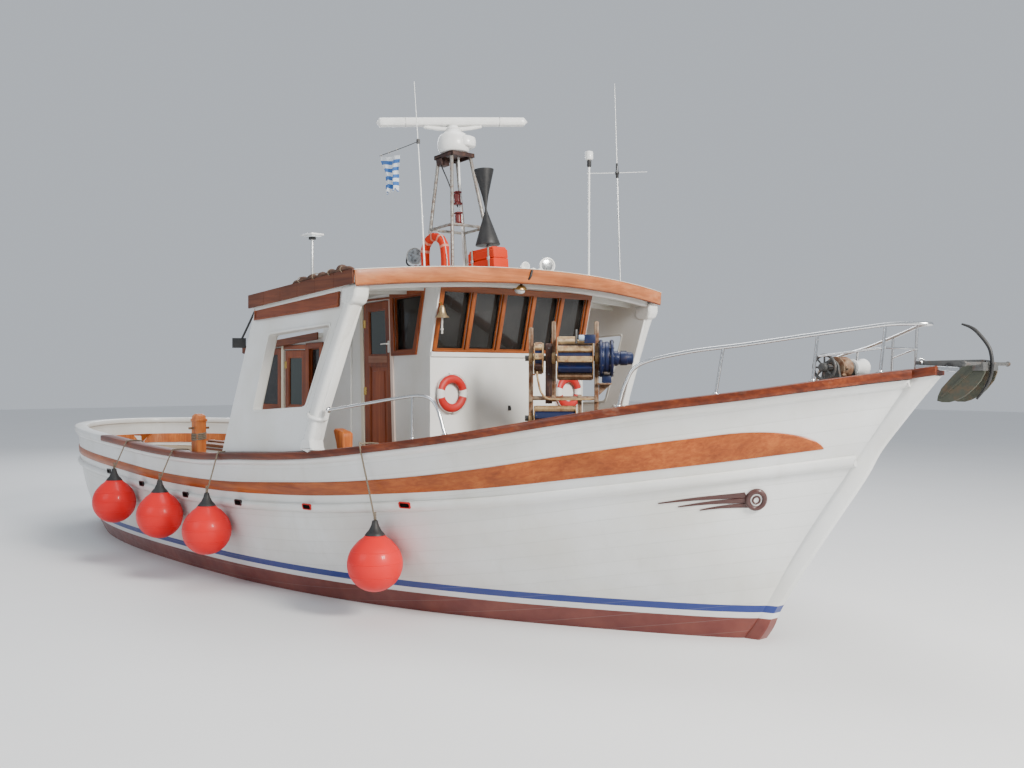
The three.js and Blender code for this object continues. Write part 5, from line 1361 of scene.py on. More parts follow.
def makeHelm():
    wheel = newPart()
    hub = Vector((1.985, 0, 2.08))
    addRing(wheel, hub, (1, 0, 0), 0.270, 0.017, "frameVarnish", 48, 14)
    addRing(wheel, hub + Vector((0.012, 0, 0)), (1, 0, 0), 0.270, 0.006, "brass", 48, 8)
    addLathe(wheel, [(0.0, -0.034), (0.030, -0.032), (0.048, -0.020), (0.052, 0.0), (0.048, 0.020),
                     (0.034, 0.030), (0.028, 0.062), (0.0, 0.062)],
             hub, (1, 0, 0), "frameVarnish", 24)
    addLathe(wheel, [(0.0, -0.046), (0.014, -0.044), (0.020, -0.034), (0.0, -0.030)], hub, (1, 0, 0),
             "brass", 16)
    spoke = [(0.010, 0.045), (0.014, 0.080), (0.009, 0.120), (0.013, 0.180), (0.009, 0.240),
             (0.011, 0.270), (0.008, 0.288),
             (0.014, 0.308), (0.013, 0.322), (0.006, 0.330), (0.0, 0.330)]
    for k in range(6):
        angle = math.pi * k / 3
        addLathe(wheel, spoke, hub, (0, math.cos(angle), math.sin(angle)), "frameVarnish", 12)
    makePiece("steeringWheel", wheel, "helm_wheel", ("helm_wheel",))
    dress(["helm_console"], "frameVarnish", 0.006)
    panel = newPart()
    for y in (-0.30, -0.10, 0.10, 0.30):
        addLathe(panel, [(0.0, 0.0), (0.055, 0.0), (0.058, 0.010), (0.050, 0.014), (0.0, 0.012)],
                 (2.085, y, 2.055), (-0.95, 0, 0.31),
                 "blackPlastic", 24)
    addBox(panel, (0.16, 0.34, 0.24), (2.24, -0.20, 2.325), "blackPlastic")
    addBox(panel, (0.14, 0.26, 0.18), (2.24, 0.22, 2.295), "greyMetal")
    addBox(panel, (0.03, 0.05, 0.10), (2.10, 0.38, 2.13), "blackPlastic")
    makePiece("instruments", panel, "boat", edge=0.006)


def makeLifebuoys():
    for name, side in (("Starboard", -1), ("Port", 1)):
        part = newPart()
        centre = Vector((house["front"] + 0.040, side * 0.88, 2.165))
        steps, sides = 72, 16
        for k in range(steps):
            pair = []
            middle = 360 * (k + 0.5) / steps
            white = min(abs(middle % 180), abs(180 - middle % 180)) < 13
            for angle in (tau * k / steps, tau * (k + 1) / steps):
                ring = []
                for j in range(sides):
                    t = tau * j / sides
                    reach = 0.155 + 0.045 * math.cos(t)
                    ring.append(centre + Vector((0.034 * math.sin(t), math.cos(angle) * reach,
                                                 math.sin(angle) * reach)))
                pair.append(ring)
            addGrid(part, pair, "buoyWhite" if white else "buoyRed", closed=True)
        for k in range(4):
            start = tau * k / 4 + 0.05
            points = []
            for j in range(9):
                a = start + (tau / 4 - 0.10) * j / 8
                out = 0.203 + 0.010 * math.sin(math.pi * j / 8)
                points.append(centre + Vector((0.006, math.cos(a) * out, math.sin(a) * out)))
            addTube(part, points, 0.004, "whiteRope", 6, 3)
        addBox(part, (0.034, 0.05, 0.10), (house["front"] + 0.017, side * 0.88, 2.335), "housePaint")
        makePiece("lifebuoy" + name, part, "boat", ("lifebuoy_" + name.lower(),), merge=True)


# lamp on a bent bracket at the roof's front edge, and the horn and lamps on top of it
def makeRoofLamps():
    part = newPart()
    lamp = Vector((2.85, -0.225, 3.300))
    addTube(part, around(lamp, [(0.150, 0.040, 0.185), (0.142, 0.010, 0.10), (0.060, -0.01, 0.055),
                                (0, 0, 0.030)]), 0.013, "blackPlastic", 10)
    addLathe(part, [(0.0, 0.035), (0.030, 0.034), (0.060, 0.018), (0.075, -0.006), (0.078, -0.020),
                    (0.070, -0.020), (0.0, -0.012)],
             lamp, (0.1, 0, 1), "castBronze", 28)
    addLathe(part, [(0.060, -0.012), (0.055, -0.040), (0.036, -0.060), (0.0, -0.066)], lamp, (0.1, 0, 1),
             "lampGlass", 24)
    ring = Vector((2.72, 0.293, roofTop(2.72, 0.293) + 0.105))
    addBar(part, ring - Vector((0, 0, 0.11)), ring - Vector((0, 0, 0.05)), 0.018, "whitePlastic", 12)
    addLathe(part, [(0.0, -0.050), (0.045, -0.046), (0.072, -0.020), (0.088, 0.020), (0.092, 0.046),
                    (0.078, 0.050), (0.070, 0.036), (0.0, 0.020)],
             ring, (0.92, -0.39, 0), "whitePlastic", 32)
    addLathe(part, [(0.0, 0.024), (0.045, 0.026), (0.066, 0.036)], ring, (0.92, -0.39, 0), "searchLens", 24)
    small = Vector((2.78, -0.105, roofTop(2.78, 0.1) + 0.060))
    addBar(part, small - Vector((0, 0, 0.065)), small - Vector((0, 0, 0.02)), 0.014, "whitePlastic", 12)
    addLathe(part, [(0.0, -0.060), (0.020, -0.056), (0.026, -0.010), (0.034, 0.034), (0.050, 0.062),
                    (0.044, 0.062), (0.0, 0.020)],
             small, (0.92, -0.39, 0), "whitePlastic", 24)
    for y in (0.02, 0.12):
        addLathe(part, [(0.0, -0.004), (0.034, 0.0), (0.034, 0.020), (0.024, 0.050), (0.0, 0.060)],
                 (2.80, y, roofTop(2.80, y) - 0.004), (0, 0, 1), "whitePlastic", 20)
    flood = Vector((0.400, -2.235, 2.713))
    addBox(part, (0.060, 0.150, 0.110), flood, "blackPlastic", Matrix.Rotation(-0.5, 3, "Z"))
    addBox(part, (0.010, 0.120, 0.085), flood + Vector((-0.031, 0.017, 0)), "lampGlass",
           Matrix.Rotation(-0.5, 3, "Z"))
    addTube(part, [flood + Vector((0.02, 0.02, 0.04)), flood + Vector((0.12, 0.05, 0.20)),
                   (0.70, -2.20, roofUnder(0.70, 2.2) - 0.03)],
            0.012, "blackPlastic", 8)
    makePiece("roofLamps", part, "boat", edge=0.0015)


dress(["wheelhouse_front", "wheelhouse_side_starboard", "wheelhouse_side_port"], "housePaint", 0.004)
dress(["wheelhouse_aft"], "innerPaint", 0.004)
dress(["wheelhouse_glass", "side_glass_starboard", "side_glass_port"], "pane")
makeFrontWindows()
makeSideWindows()
makeDoors()
makeWallFittings()
makeBell()
makeRoof()
makeRolledCover()
makeScreens()
makeAftHouse()
makeHelm()
makeLifebuoys()
makeRoofLamps()
print("superstructure made")


# Roof gear, each placed on the raked roof

gear = {"mast": (1.590, 0.0), "mastLift": 0.010, "mastHeight": 1.560, "braceAt": 0.44, "radarLift": 0.345,
        "radarSpan": 1.800,
        "radarYaw": 1.01, "staff": (1.679, -0.600), "staffHeight": 2.340, "yardHeight": 1.640,
        "yardLength": 0.745,
        "cloth": (0.37, 0.50), "dayMark": (2.100, 0.0), "apex": 0.840, "horseshoe": (1.650, -0.440),
        "searchlight": (1.200, -0.350), "raft": (2.322, -0.208), "lampPole": (0.950, -1.630),
        "canPole": (2.610, 1.100), "armPole": (2.520, 1.750)}


def onRoof(spot, lift=0.0, rake=True):
    x, y = spot
    place = Matrix.Translation((x, y, roofTop(x, y) + lift))
    return place @ Matrix.Rotation(-math.atan(roof["slope"]), 4, "Y") if rake else place


def placed(part, matrix):
    for i in range(len(part["verts"])):
        part["verts"][i] = matrix @ part["verts"][i]
    return part


def makeMast():
    part = newPart()
    height = gear["mastHeight"]
    feet = [(sx * 0.265, sy * 0.345) for sx in (-1, 1) for sy in (-1, 1)]
    heads = [(sx * 0.120, sy * 0.140) for sx in (-1, 1) for sy in (-1, 1)]
    for (fx, fy), (hx, hy) in zip(feet, heads):
        addBar(part, (fx, fy, 0.0), (hx, hy, height - 0.02), 0.021, "mastPaint", 16)
        addBox(part, (0.110, 0.110, 0.012), (fx, fy, 0.004), "mastPaint")
        for ox, oy in ((-0.036, -0.036), (0.036, 0.036), (-0.036, 0.036), (0.036, -0.036)):
            addBar(part, (fx + ox, fy + oy, 0.008), (fx + ox, fy + oy, 0.020), 0.008, "galvanized", 6)
    brace = [Vector((*foot, 0)).lerp(Vector((*head, height)), gear["braceAt"]) for foot,
             head in zip(feet, heads)]
    for a, b in ((0, 1), (1, 3), (3, 2), (2, 0)):
        addBar(part, brace[a], brace[b], 0.018, "mastPaint", 12)
    addBox(part, (0.34, 0.34, 0.014), (0, 0, height), "darkPlate")
    for side in (-1, 1):
        addBox(part, (0.34, 0.014, 0.045), (0, side * 0.163, height - 0.020), "darkPlate")
        addBox(part, (0.014, 0.34, 0.045), (side * 0.163, 0, height - 0.020), "darkPlate")
    addBox(part, (0.10, 0.12, 0.095), (-0.085, -0.11, height - 0.075), "darkPlate")
    addBar(part, (0.05, 0.02, 0.02), (0.05, 0.02, height - 0.03), 0.012, "whitePlastic", 14)
    for share in (0.515, 0.672):
        z = height * share
        spot = Vector((0.04, -0.020, z))
        addBox(part, (0.085, 0.085, 0.022), spot + Vector((0, 0, -0.075)), "darkRedBox")
        addLathe(part, [(0.0, -0.062), (0.036, -0.060), (0.040, -0.052), (0.038, -0.040), (0.040, -0.030),
                        (0.038, -0.020),
                        (0.040, -0.010), (0.038, 0.0), (0.040, 0.010), (0.038, 0.020), (0.040, 0.032),
                        (0.036, 0.044), (0.0, 0.046)],
                 spot, (0, 0, 1), "darkRedBox", 20)
        addBox(part, (0.078, 0.078, 0.020), spot + Vector((0, 0, 0.060)), "darkRedBox")
        addBar(part, spot + Vector((0.0, 0.02, -0.07)), Vector((0.05, 0.02, z - 0.07)), 0.008, "mastPaint",
               8)
    shell = [(0.0, 0.010), (0.110, 0.012), (0.165, 0.030), (0.188, 0.075), (0.190, 0.150), (0.178, 0.205),
             (0.150, 0.245),
             (0.108, 0.268), (0.095, 0.285), (0.092, 0.300), (0.0, 0.302)]
    addLathe(part, shell, (0, 0, height), (0, 0, 1), "scannerShell", 40)
    addLathe(part, [(0.0, 0.0), (0.100, 0.004), (0.128, 0.020), (0.135, 0.070), (0.128, 0.120),
                    (0.090, 0.142), (0.0, 0.146)],
             (0.10, 0.085, height + 0.070), (0, 0, 1), "scannerShell", 32)
    addTube(part, [(-0.05, -0.12, height + 0.02), (-0.07, -0.15, height - 0.10),
                   (-0.02, -0.10, height * 0.8), (0.03, -0.01, height * 0.6)],
            0.008, "blackPlastic", 8)
    makePiece("mastFrame", placed(part, onRoof(gear["mast"], gear["mastLift"])), "boat",
              ("mast",), edge=0.0015)


def makeRadar():
    part = newPart()
    span = gear["radarSpan"]
    low = gear["mastHeight"] + gear["radarLift"]
    turn = Matrix.Rotation(gear["radarYaw"], 4, "Z")
    rows = []
    for k in range(41):
        share = -1 + 2 * k / 40
        x = share * span / 2
        cap = math.sqrt(max(0.0,
                            1 - max(0, abs(share) - 0.94) ** 2 / 0.06 ** 2)) if abs(share) > 0.94 else 1.0
        deep, tall = 0.062 * max(cap, 0.10), 0.049 * max(cap, 0.12)
        lift = 0.052 + 0.004 * (1 - share * share)
        ring = []
        for a, b in ((-1, -0.55), (-0.80, -0.92), (-0.3, -1), (0.3, -1), (0.85, -0.90), (1, -0.50),
                     (1, 0.45), (0.80, 0.86), (0.2, 1), (-0.5, 1), (-0.9, 0.72), (-1, 0.3)):
            ring.append(Vector((x, a * deep, lift + b * tall)))
        rows.append(ring)
    addLoft(part, rows, "scannerShell")
    for share in (-0.5, 0.5):
        x = share * span * 0.62
        addBox(part, (0.006, 0.128, 0.100), (x, 0, 0.053), "scannerSeam")
    neck = [(0.0, -0.045), (0.080, -0.044), (0.088, -0.030), (0.070, -0.012), (0.062, 0.008), (0.0, 0.010)]
    addLathe(part, neck, (0, 0, 0), (0, 0, 1), "scannerShell", 28)
    for side in (-1, 1):
        arm = [(side * 0.03, 0, -0.030), (side * 0.12, 0, -0.026), (side * 0.24, 0, -0.012),
               (side * 0.34, 0, 0.008)]
        addTube(part, arm, 0.026, "scannerShell", 12)
    placed(part, Matrix.Translation((0, 0, low)) @ turn)
    makePiece("radarBar", placed(part, onRoof(gear["mast"], gear["mastLift"])), "radar_scanner",
              ("radar_scanner",), edge=0.002)


def makeStaffAndFlag():
    part = newPart()
    height = gear["staffHeight"]
    points = [(0.0, 0, 0.0), (0.004, 0, height * 0.3), (0.002, 0, height * 0.55),
              (-0.010, 0, height * 0.8), (-0.020, 0, height)]
    whip = curveThrough([Vector(p) for p in points], 10, False)
    rows = []
    for k, p in enumerate(whip):
        radius = 0.011 - 0.0075 * k / (len(whip) - 1)
        rows.append([p + Vector((a, b, 0)) for a, b in circle(0, 0, radius, 12)])
    addLoft(part, rows, "whitePlastic")
    addLathe(part, [(0.0, -0.01), (0.045, -0.008), (0.045, 0.004), (0.020, 0.012), (0.018, 0.090),
                    (0.0, 0.095)], (0, 0, 0), (0, 0, 1),
             "blackPlastic", 20)
    yard = gear["yardHeight"]
    addTube(part, [(0.0, 0, yard), (-0.3, 0, yard - 0.004), (-gear["yardLength"], 0, yard)], 0.005,
            "galvanized", 8)
    addBox(part, (0.03, 0.03, 0.05), (0, 0, yard), "galvanized")
    placed(part, onRoof(gear["staff"]))
    makePiece("flagStaffRod", part, "boat", ("flag_staff",))
    cloth = newPart()
    wide, tall = gear["cloth"]
    across, down = 48, 56
    rows, stripes = [], []
    for j in range(down + 1):
        v = j / down
        row = []
        for i in range(across + 1):
            u = i / across
            gather = 1 - 0.42 * ease(0.0, 0.75, v) * (0.65 + 0.35 * u)
            sag = 0.060 * u * u * (1 - v) + 0.028 * math.sin(math.pi * u) * (1 - v)
            fold = 0.030 * math.sin(u * 13.5 + 1.2 * v + 0.8 * math.sin(v * 5)) * (0.35 + 0.65 * v)
            slack = 0.016 * noise.noise(Vector((u * 3.1, v * 3.7, 2.0)))
            x = 0.012 + (wide - 0.012) * (0.5 + (u - 0.5) * gather) + 0.035 * v * math.sin(v * 3.1)
            tear = 0.030 * noise.noise(Vector((u * 11, 0.5, 7.0))) * ease(0.86, 1.0, v)
            z = -0.012 - (tall - 0.045) * v - sag + tear
            row.append(Vector((x - gear["yardLength"], fold + slack, yard + z)))
            stripes.append((v + 0.035 * math.sin(u * 9) * v) * 4.5)
        rows.append(row)
    addGrid(cloth, rows, "flagCloth")
    cloth["layers"]["stripe"] = stripes
    placed(cloth, onRoof(gear["staff"]))
    ensign = makePiece("flagSheet", cloth, "boat", ("flag",), smoothAngle=180)
    thick = ensign.modifiers.new("thickness", "SOLIDIFY")
    thick.thickness, thick.offset = 0.002, 0
    ties = newPart()
    for share in (0.06, 0.5, 0.94):
        x = -gear["yardLength"] + 0.012 + (wide - 0.012) * share
        addRing(ties, (x, 0, yard - 0.004), (1, 0.1, 0), 0.012, 0.0022, "whiteRope", 16, 6)
    makePiece("flagTies", placed(ties, onRoof(gear["staff"])), "boat")


def makeDayMark():
    part = newPart()
    apex = gear["apex"]
    profile = [(0.0, apex - 0.425), (0.140, apex - 0.425), (0.142, apex - 0.415), (0.118, apex - 0.340),
               (0.080, apex - 0.225),
               (0.040, apex - 0.105), (0.014, apex - 0.020), (0.012, apex), (0.014, apex + 0.020),
               (0.036, apex + 0.140),
               (0.074, apex + 0.290), (0.113, apex + 0.440), (0.115, apex + 0.450), (0.0, apex + 0.450)]
    addLathe(part, profile, (0, 0, 0), (0, 0, 1), "blackPlastic", 40)
    addBar(part, (0, 0, 0.0), (0, 0, apex - 0.42), 0.018, "mastPaint", 14)
    addBox(part, (0.10, 0.10, 0.012), (0, 0, 0.004), "mastPaint")
    makePiece("dayShape", placed(part, onRoof(gear["dayMark"])), "boat", ("day_mark",),
              edge=0.002)


# ring of the float's soft square section
def floatRing(p, side, wide, deep):
    ring = []
    for j in range(20):
        c, s = math.cos(tau * j / 20), math.sin(tau * j / 20)
        across, fore = math.copysign(abs(c) ** 0.62, c), math.copysign(abs(s) ** 0.62, s)
        ring.append(p + side * across * wide + Vector((0, fore * deep, 0)))
    return ring


def makeHorseshoe():
    part = newPart()
    middle, legs = 0.180, 0.370
    path = [(-middle, -legs), (-middle, -0.18)]
    path += [(-math.cos(math.pi * k / 14) * middle, math.sin(math.pi * k / 14) * middle) for k in range(15)]
    path += [(middle, -0.18), (middle, -legs)]
    line = curveThrough([Vector((x, 0, z)) for x, z in path], 3)
    rows = []
    for k, p in enumerate(line):
        share = k / (len(line) - 1)
        side = directionAt(line, k).cross(Vector((0, 1, 0)))
        cap = min(1, 0.72 + 6 * min(share, 1 - share))
        pinch = 1 - 0.06 * math.exp(-((share * 6.0) % 1.0 - 0.5) ** 2 * 90)
        rows.append(floatRing(p, side, 0.045 * cap * pinch, 0.046 * cap * pinch))
    addLoft(part, rows, "buoyOrange")
    for share in (0.16, 0.34, 0.50, 0.66, 0.84):
        k = round(share * (len(line) - 1))
        along = directionAt(line, k)
        side = along.cross(Vector((0, 1, 0)))
        band = [floatRing(line[k] + along * 0.030 * step, side, 0.0475, 0.0485) for step in (-0.5, 0.5)]
        addGrid(part, band, "reflector", closed=True)
    cord = [(-0.222, -0.02, -0.28), (-0.235, -0.02, -0.10), (-0.18, -0.02, 0.145), (0.0, -0.02, 0.238),
            (0.18, -0.02, 0.145),
            (0.235, -0.02, -0.10), (0.222, -0.02, -0.28)]
    addTube(part, cord, 0.005, "whiteRope", 8, 8)
    for x in (-0.18, 0.18):
        addBox(part, (0.030, 0.150, 0.016), (x, 0, -legs + 0.004), "mastPaint")
    makePiece("horseshoeFloat", placed(part, onRoof(gear["horseshoe"], legs + 0.002)), "boat",
              ("horseshoe_buoy",), smoothAngle=50)


raftBox = {"size": (0.446, 0.221, 0.288), "board": (0.480, 0.250, 0.020), "lidHeight": 0.030,
           "strapAt": 0.31}


def makeRaftBox():
    part = newPart()
    wide, across, tall = raftBox["size"]
    addBox(part, raftBox["board"], (0, 0, 0.012), "galvanized")
    seam = tall * 0.66
    for low, high, inset in ((0.026, 0.052, 0.004), (0.054, seam, 0.0), (seam + 0.004, tall, 0.002)):
        half = wide / 2 - inset
        addPlate(part, [[(-half, low), (half, low), (half - 0.004, high), (-half + 0.004, high)]],
                 across - 2 * inset, "y", 0,
                 "boxOrange", 0.014)
    half, top = wide / 2 - 0.010, tall + raftBox["lidHeight"]
    addPlate(part, [[(-half, tall - 0.012), (half, tall - 0.012), (half - 0.020, top),
                     (-half + 0.020, top)]], across - 0.020, "y", 0,
             "boxOrange", 0.012)
    for side in (-1, 1):
        strap = side * raftBox["strapAt"] * wide
        for y in (-1, 1):
            addBox(part, (0.026, 0.005, tall), (strap, y * (across / 2 + 0.003), tall / 2 + 0.022),
                   "canvas")
            addBox(part, (0.040, 0.010, 0.036), (strap, y * (across / 2 + 0.006), seam), "greyMetal")
        addBox(part, (0.026, across - 0.020, 0.005), (strap, 0, top + 0.001), "canvas")
    makePiece("raftBoxShell", placed(part, onRoof(gear["raft"])), "boat", ("raft_box",),
              edge=0.0015)


def makeSearchlight():
    part = newPart()
    height = 0.400
    addLathe(part, [(0.0, -0.01), (0.055, -0.008), (0.058, 0.010), (0.030, 0.026), (0.022, 0.060),
                    (0.0, 0.062)], (0, 0, 0), (0, 0, 1),
             "blackPlastic", 24)
    addBar(part, (0, 0, 0.02), (0, 0, height - 0.10), 0.018, "darkRedBox", 16)
    yoke = [(0, -0.098, height + 0.010), (0, -0.102, height - 0.070), (0, -0.045, height - 0.112),
            (0, 0.045, height - 0.112),
            (0, 0.102, height - 0.070), (0, 0.098, height + 0.010)]
    addTube(part, yoke, 0.010, "blackPlastic", 10, 6)
    can = [(0.0, -0.085), (0.030, -0.084), (0.056, -0.070), (0.068, -0.040), (0.072, 0.0), (0.084, 0.045),
           (0.092, 0.070), (0.098, 0.074),
           (0.098, 0.090), (0.090, 0.092), (0.088, 0.078), (0.0, 0.060)]
    addLathe(part, can, (0, 0, height), (1, 0, 0), "searchShell", 36)
    addLathe(part, [(0.0, 0.074), (0.050, 0.080), (0.089, 0.077)], (0, 0, height), (1, 0, 0), "searchLens",
             36)
    for k in range(5):
        addLathe(part, [(0.066, -0.002), (0.079, 0.0), (0.079, 0.004), (0.066, 0.006)],
                 (-0.058 + k * 0.015, 0, height), (1, 0, 0), "searchShell", 28)
    placed(part, Matrix.Rotation(-0.75, 4, "Z"))
    makePiece("searchlightUnit", placed(part, onRoof(gear["searchlight"])), "boat",
              ("searchlight",))


def makePoles():
    lamp = newPart()
    addLathe(lamp, [(0.0, -0.010), (0.042, -0.008), (0.042, 0.008), (0.022, 0.016), (0.0, 0.018)],
             (0, 0, 0), (0, 0, 1), "greyMetal", 20)
    addBar(lamp, (0, 0, 0), (0, 0, 0.630), 0.016, "greyMetal", 16)
    addBox(lamp, (0.230, 0.160, 0.020), (0, 0, 0.640), "whitePlastic")
    addBox(lamp, (0.190, 0.120, 0.016), (0, 0, 0.623), "lampGlass")
    addBox(lamp, (0.060, 0.060, 0.040), (0, 0, 0.606), "blackPlastic")
    makePiece("deckLampPole", placed(lamp, onRoof(gear["lampPole"], rake=False)), "boat",
              ("pole_lamp",), edge=0.003)
    can = newPart()
    addLathe(can, [(0.0, -0.010), (0.042, -0.008), (0.042, 0.060), (0.018, 0.068), (0.0, 0.070)],
             (0, 0, 0), (0, 0, 1), "whitePlastic", 20)
    addBar(can, (0, 0, 0), (0, 0, 1.440), 0.0125, "whitePlastic", 16)
    addLathe(can, [(0.0, 1.350), (0.020, 1.352), (0.026, 1.370), (0.026, 1.440), (0.0, 1.442)], (0, 0, 0),
             (0, 0, 1), "blackPlastic", 18)
    addLathe(can, [(0.0, 1.428), (0.030, 1.432), (0.046, 1.442), (0.048, 1.470), (0.048, 1.515),
                   (0.040, 1.533), (0.020, 1.540), (0.0, 1.541)],
             (0, 0, 0), (0, 0, 1), "whitePlastic", 32)
    makePiece("aerialWithCan", placed(can, onRoof(gear["canPole"], rake=False)), "boat",
              ("pole_can",))
    arms = newPart()
    height = 2.520
    addLathe(arms, [(0.0, -0.010), (0.042, -0.008), (0.042, 0.060), (0.016, 0.070), (0.0, 0.072)],
             (0, 0, 0), (0, 0, 1), "whitePlastic", 20)
    addBar(arms, (0, 0, 0), (0, 0, height * 0.56), 0.012, "greyMetal", 16)
    addBar(arms, (0, 0, height * 0.56), (0, 0, height), 0.0065, "whitePlastic", 12, endRadius=0.003)
    addLathe(arms, [(0.0, -0.055), (0.016, -0.052), (0.019, -0.010), (0.026, 0.0), (0.026, 0.022),
                    (0.018, 0.030), (0.012, 0.130), (0.0, 0.134)],
             (0, 0, height * 0.56), (0, 0, 1), "blackPlastic", 20)
    for ax, ay in ((-0.250, -0.270), (0.250, -0.270)):
        for side in (-1, 1):
            addBar(arms, (0, 0, height * 0.565), (ax * side, ay * side, height * 0.565 + 0.004), 0.0045,
                   "whitePlastic", 10, endRadius=0.003)
    lean = Matrix.Rotation(-math.atan(roof["slope"]) / 2, 4, "Y")
    makePiece("aerialWithArms", placed(arms, onRoof(gear["armPole"], rake=False) @ lean), "boat",
              ("pole_arms",))


makeMast()
makeRadar()
makeStaffAndFlag()
makeDayMark()
makeHorseshoe()
makeRaftBox()
makeSearchlight()
makePoles()
print("roof gear made")


# Deck, its hatches and bitts

deckGear = {"hold": {"x": -3.350, "long": 1.100, "wide": 1.250, "top": 1.290, "floor": 0.120,
                     "body": "hold_lid"},
            "fore": {"x": 4.950, "long": 0.700, "wide": 0.700, "top": 1.800, "floor": 1.020,
                     "body": "fore_lid"},
            "coaming": 0.060, "seatGap": 0.0004, "thickness": 0.045, "aft": -7.10, "forward": 6.60}


def skinFrame(x, z, out=0.0):
    along = (skinPoint(x + 0.02, z, out) - skinPoint(x - 0.02, z, out)).normalized()
    up = (skinPoint(x, z + 0.02, out) - skinPoint(x, z - 0.02, out)).normalized()
    normal = along.cross(up).normalized()
    up = normal.cross(along).normalized()
    place = Matrix((along, up, normal)).transposed().to_4x4()
    place.translation = skinPoint(x, z, out)
    return place


def deckHalf(x):
    return max(skinHalf(x, deckEdgeAt(x)) - hull["bulwark"] + 0.004, 0.01)


def addDeckZone(part, x0, x1, fromShare, toShare, count):
    rows = []
    for k in range(count + 1):
        x = x0 + (x1 - x0) * k / count
        low, high = fromShare(x), toShare(x)
        ys = spread(low, high, 10)
        top = [Vector((x, y, deckAt(x, y))) for y in ys]
        under = [p - Vector((0, 0, deckGear["thickness"])) for p in reversed(top)]
        rows.append(top + under)
    addLoft(part, rows, "deckPlanks", flip=True)


def makeDeck():
    part = newPart()
    hold, fore = deckGear["hold"], deckGear["fore"]
    edges = [deckGear["aft"], hold["x"] - hold["long"] / 2, hold["x"] + hold["long"] / 2,
             fore["x"] - fore["long"] / 2, fore["x"] + fore["long"] / 2, deckGear["forward"]]
    for k, count in ((0, 30), (2, 60), (4, 24)):
        addDeckZone(part, edges[k], edges[k + 1], lambda x: -deckHalf(x), deckHalf, count)
    for spec, k in ((hold, 1), (fore, 3)):
        half = spec["wide"] / 2
        addDeckZone(part, edges[k], edges[k + 1], lambda x: -deckHalf(x), lambda x: -half, 8)
        addDeckZone(part, edges[k], edges[k + 1], lambda x: half, deckHalf, 8)
    for spec in (hold, fore):
        x, sx, sy, wall = spec["x"], spec["long"] / 2, spec["wide"] / 2, deckGear["coaming"]
        outer = rectangle(x - sx, -sy, x + sx, sy)
        inner = rectangle(x - sx + wall, -sy + wall, x + sx - wall, sy - wall)
        tall = spec["top"] - spec["floor"]
        addPlate(part, [outer, inner], tall, "z", spec["floor"] + tall / 2, "housePaint", 0.006)
        addPlate(part, [outer], 0.03, "z", spec["floor"] - 0.015, "deckPlanks", 0.001)
        addPlate(part, [grow(outer, 0.016), grow(outer, -0.004)], 0.030, "z", spec["top"] - 0.030,
                 "frameVarnishAlong", 0.006)
        foot = min(deckAt(x - sx, sy), deckAt(x + sx, sy))
        addPlate(part, [grow(outer, 0.028), grow(outer, -0.004)], 0.060, "z", foot + 0.020, "housePaint",
                 0.010)
    makePiece("deckPlanking", part, "boat", ("deck",), smoothAngle=30)


def makeBitts():
    part = newPart()
    for x, rise, lean in ((-0.740, 0.440, 0.0), (2.225, 0.235, 0.095)):
        y = -(skinHalf(x - 0.075, deckEdgeAt(x)) - hull["bulwark"] - 0.115)
        foot, top = deckAt(x, y) - 0.02, sheerAt(x) + rise
        if lean:
            rows = []
            for share, wide, deep in ((0, 0.058, 0.058), (0.55, 0.060, 0.058), (0.82, 0.070, 0.060),
                                      (0.93, 0.086, 0.062),
                                      (0.975, 0.092, 0.062), (1.0, 0.080, 0.052)):
                middle = Vector((x - lean * share ** 1.5, y, foot + (top - foot) * share - 0.010))
                section = roundedBox(-wide, -deep, wide, deep, 0.016, 4)
                rows.append([middle + Vector((a, b, 0.016 * -a / wide)) for a, b in section])
            addLoft(part, rows, "bittVarnish")
            continue
        rows = []
        for share, half in ((0, 0.074), (0.80, 0.073), (0.94, 0.072), (0.975, 0.066), (1.0, 0.040)):
            section = roundedBox(-half, -half * 0.87, half, half * 0.87, min(0.014, half * 0.3), 4)
            rows.append([Vector((x + a, y + b, foot + (top - foot) * share)) for a, b in section])
        addLoft(part, rows, "bittVarnish")
        ring = roundedBox(-0.084, -0.074, 0.084, 0.074, 0.018, 4)
        addPlate(part, [[(x + a, y + b) for a, b in ring]], 0.034, "z", top - 0.075, "bittVarnish", 0.006)
        addBar(part, (x, y - 0.13, top - 0.17), (x, y + 0.13, top - 0.17), 0.014, "rustySteel", 14)
        for k in range(4):
            loop = [(x + math.cos(tau * j / 16) * 0.088, y + math.sin(tau * j / 16) * 0.080,
                     top - 0.235 - k * 0.021 + 0.010 * math.sin(tau * j / 16))
                    for j in range(16)]
            addTube(part, loop, 0.010, "rope", 8, 1, closed=True)
    makePiece("bitts", bothSides(part), "boat", edge=0.0, smoothAngle=40)


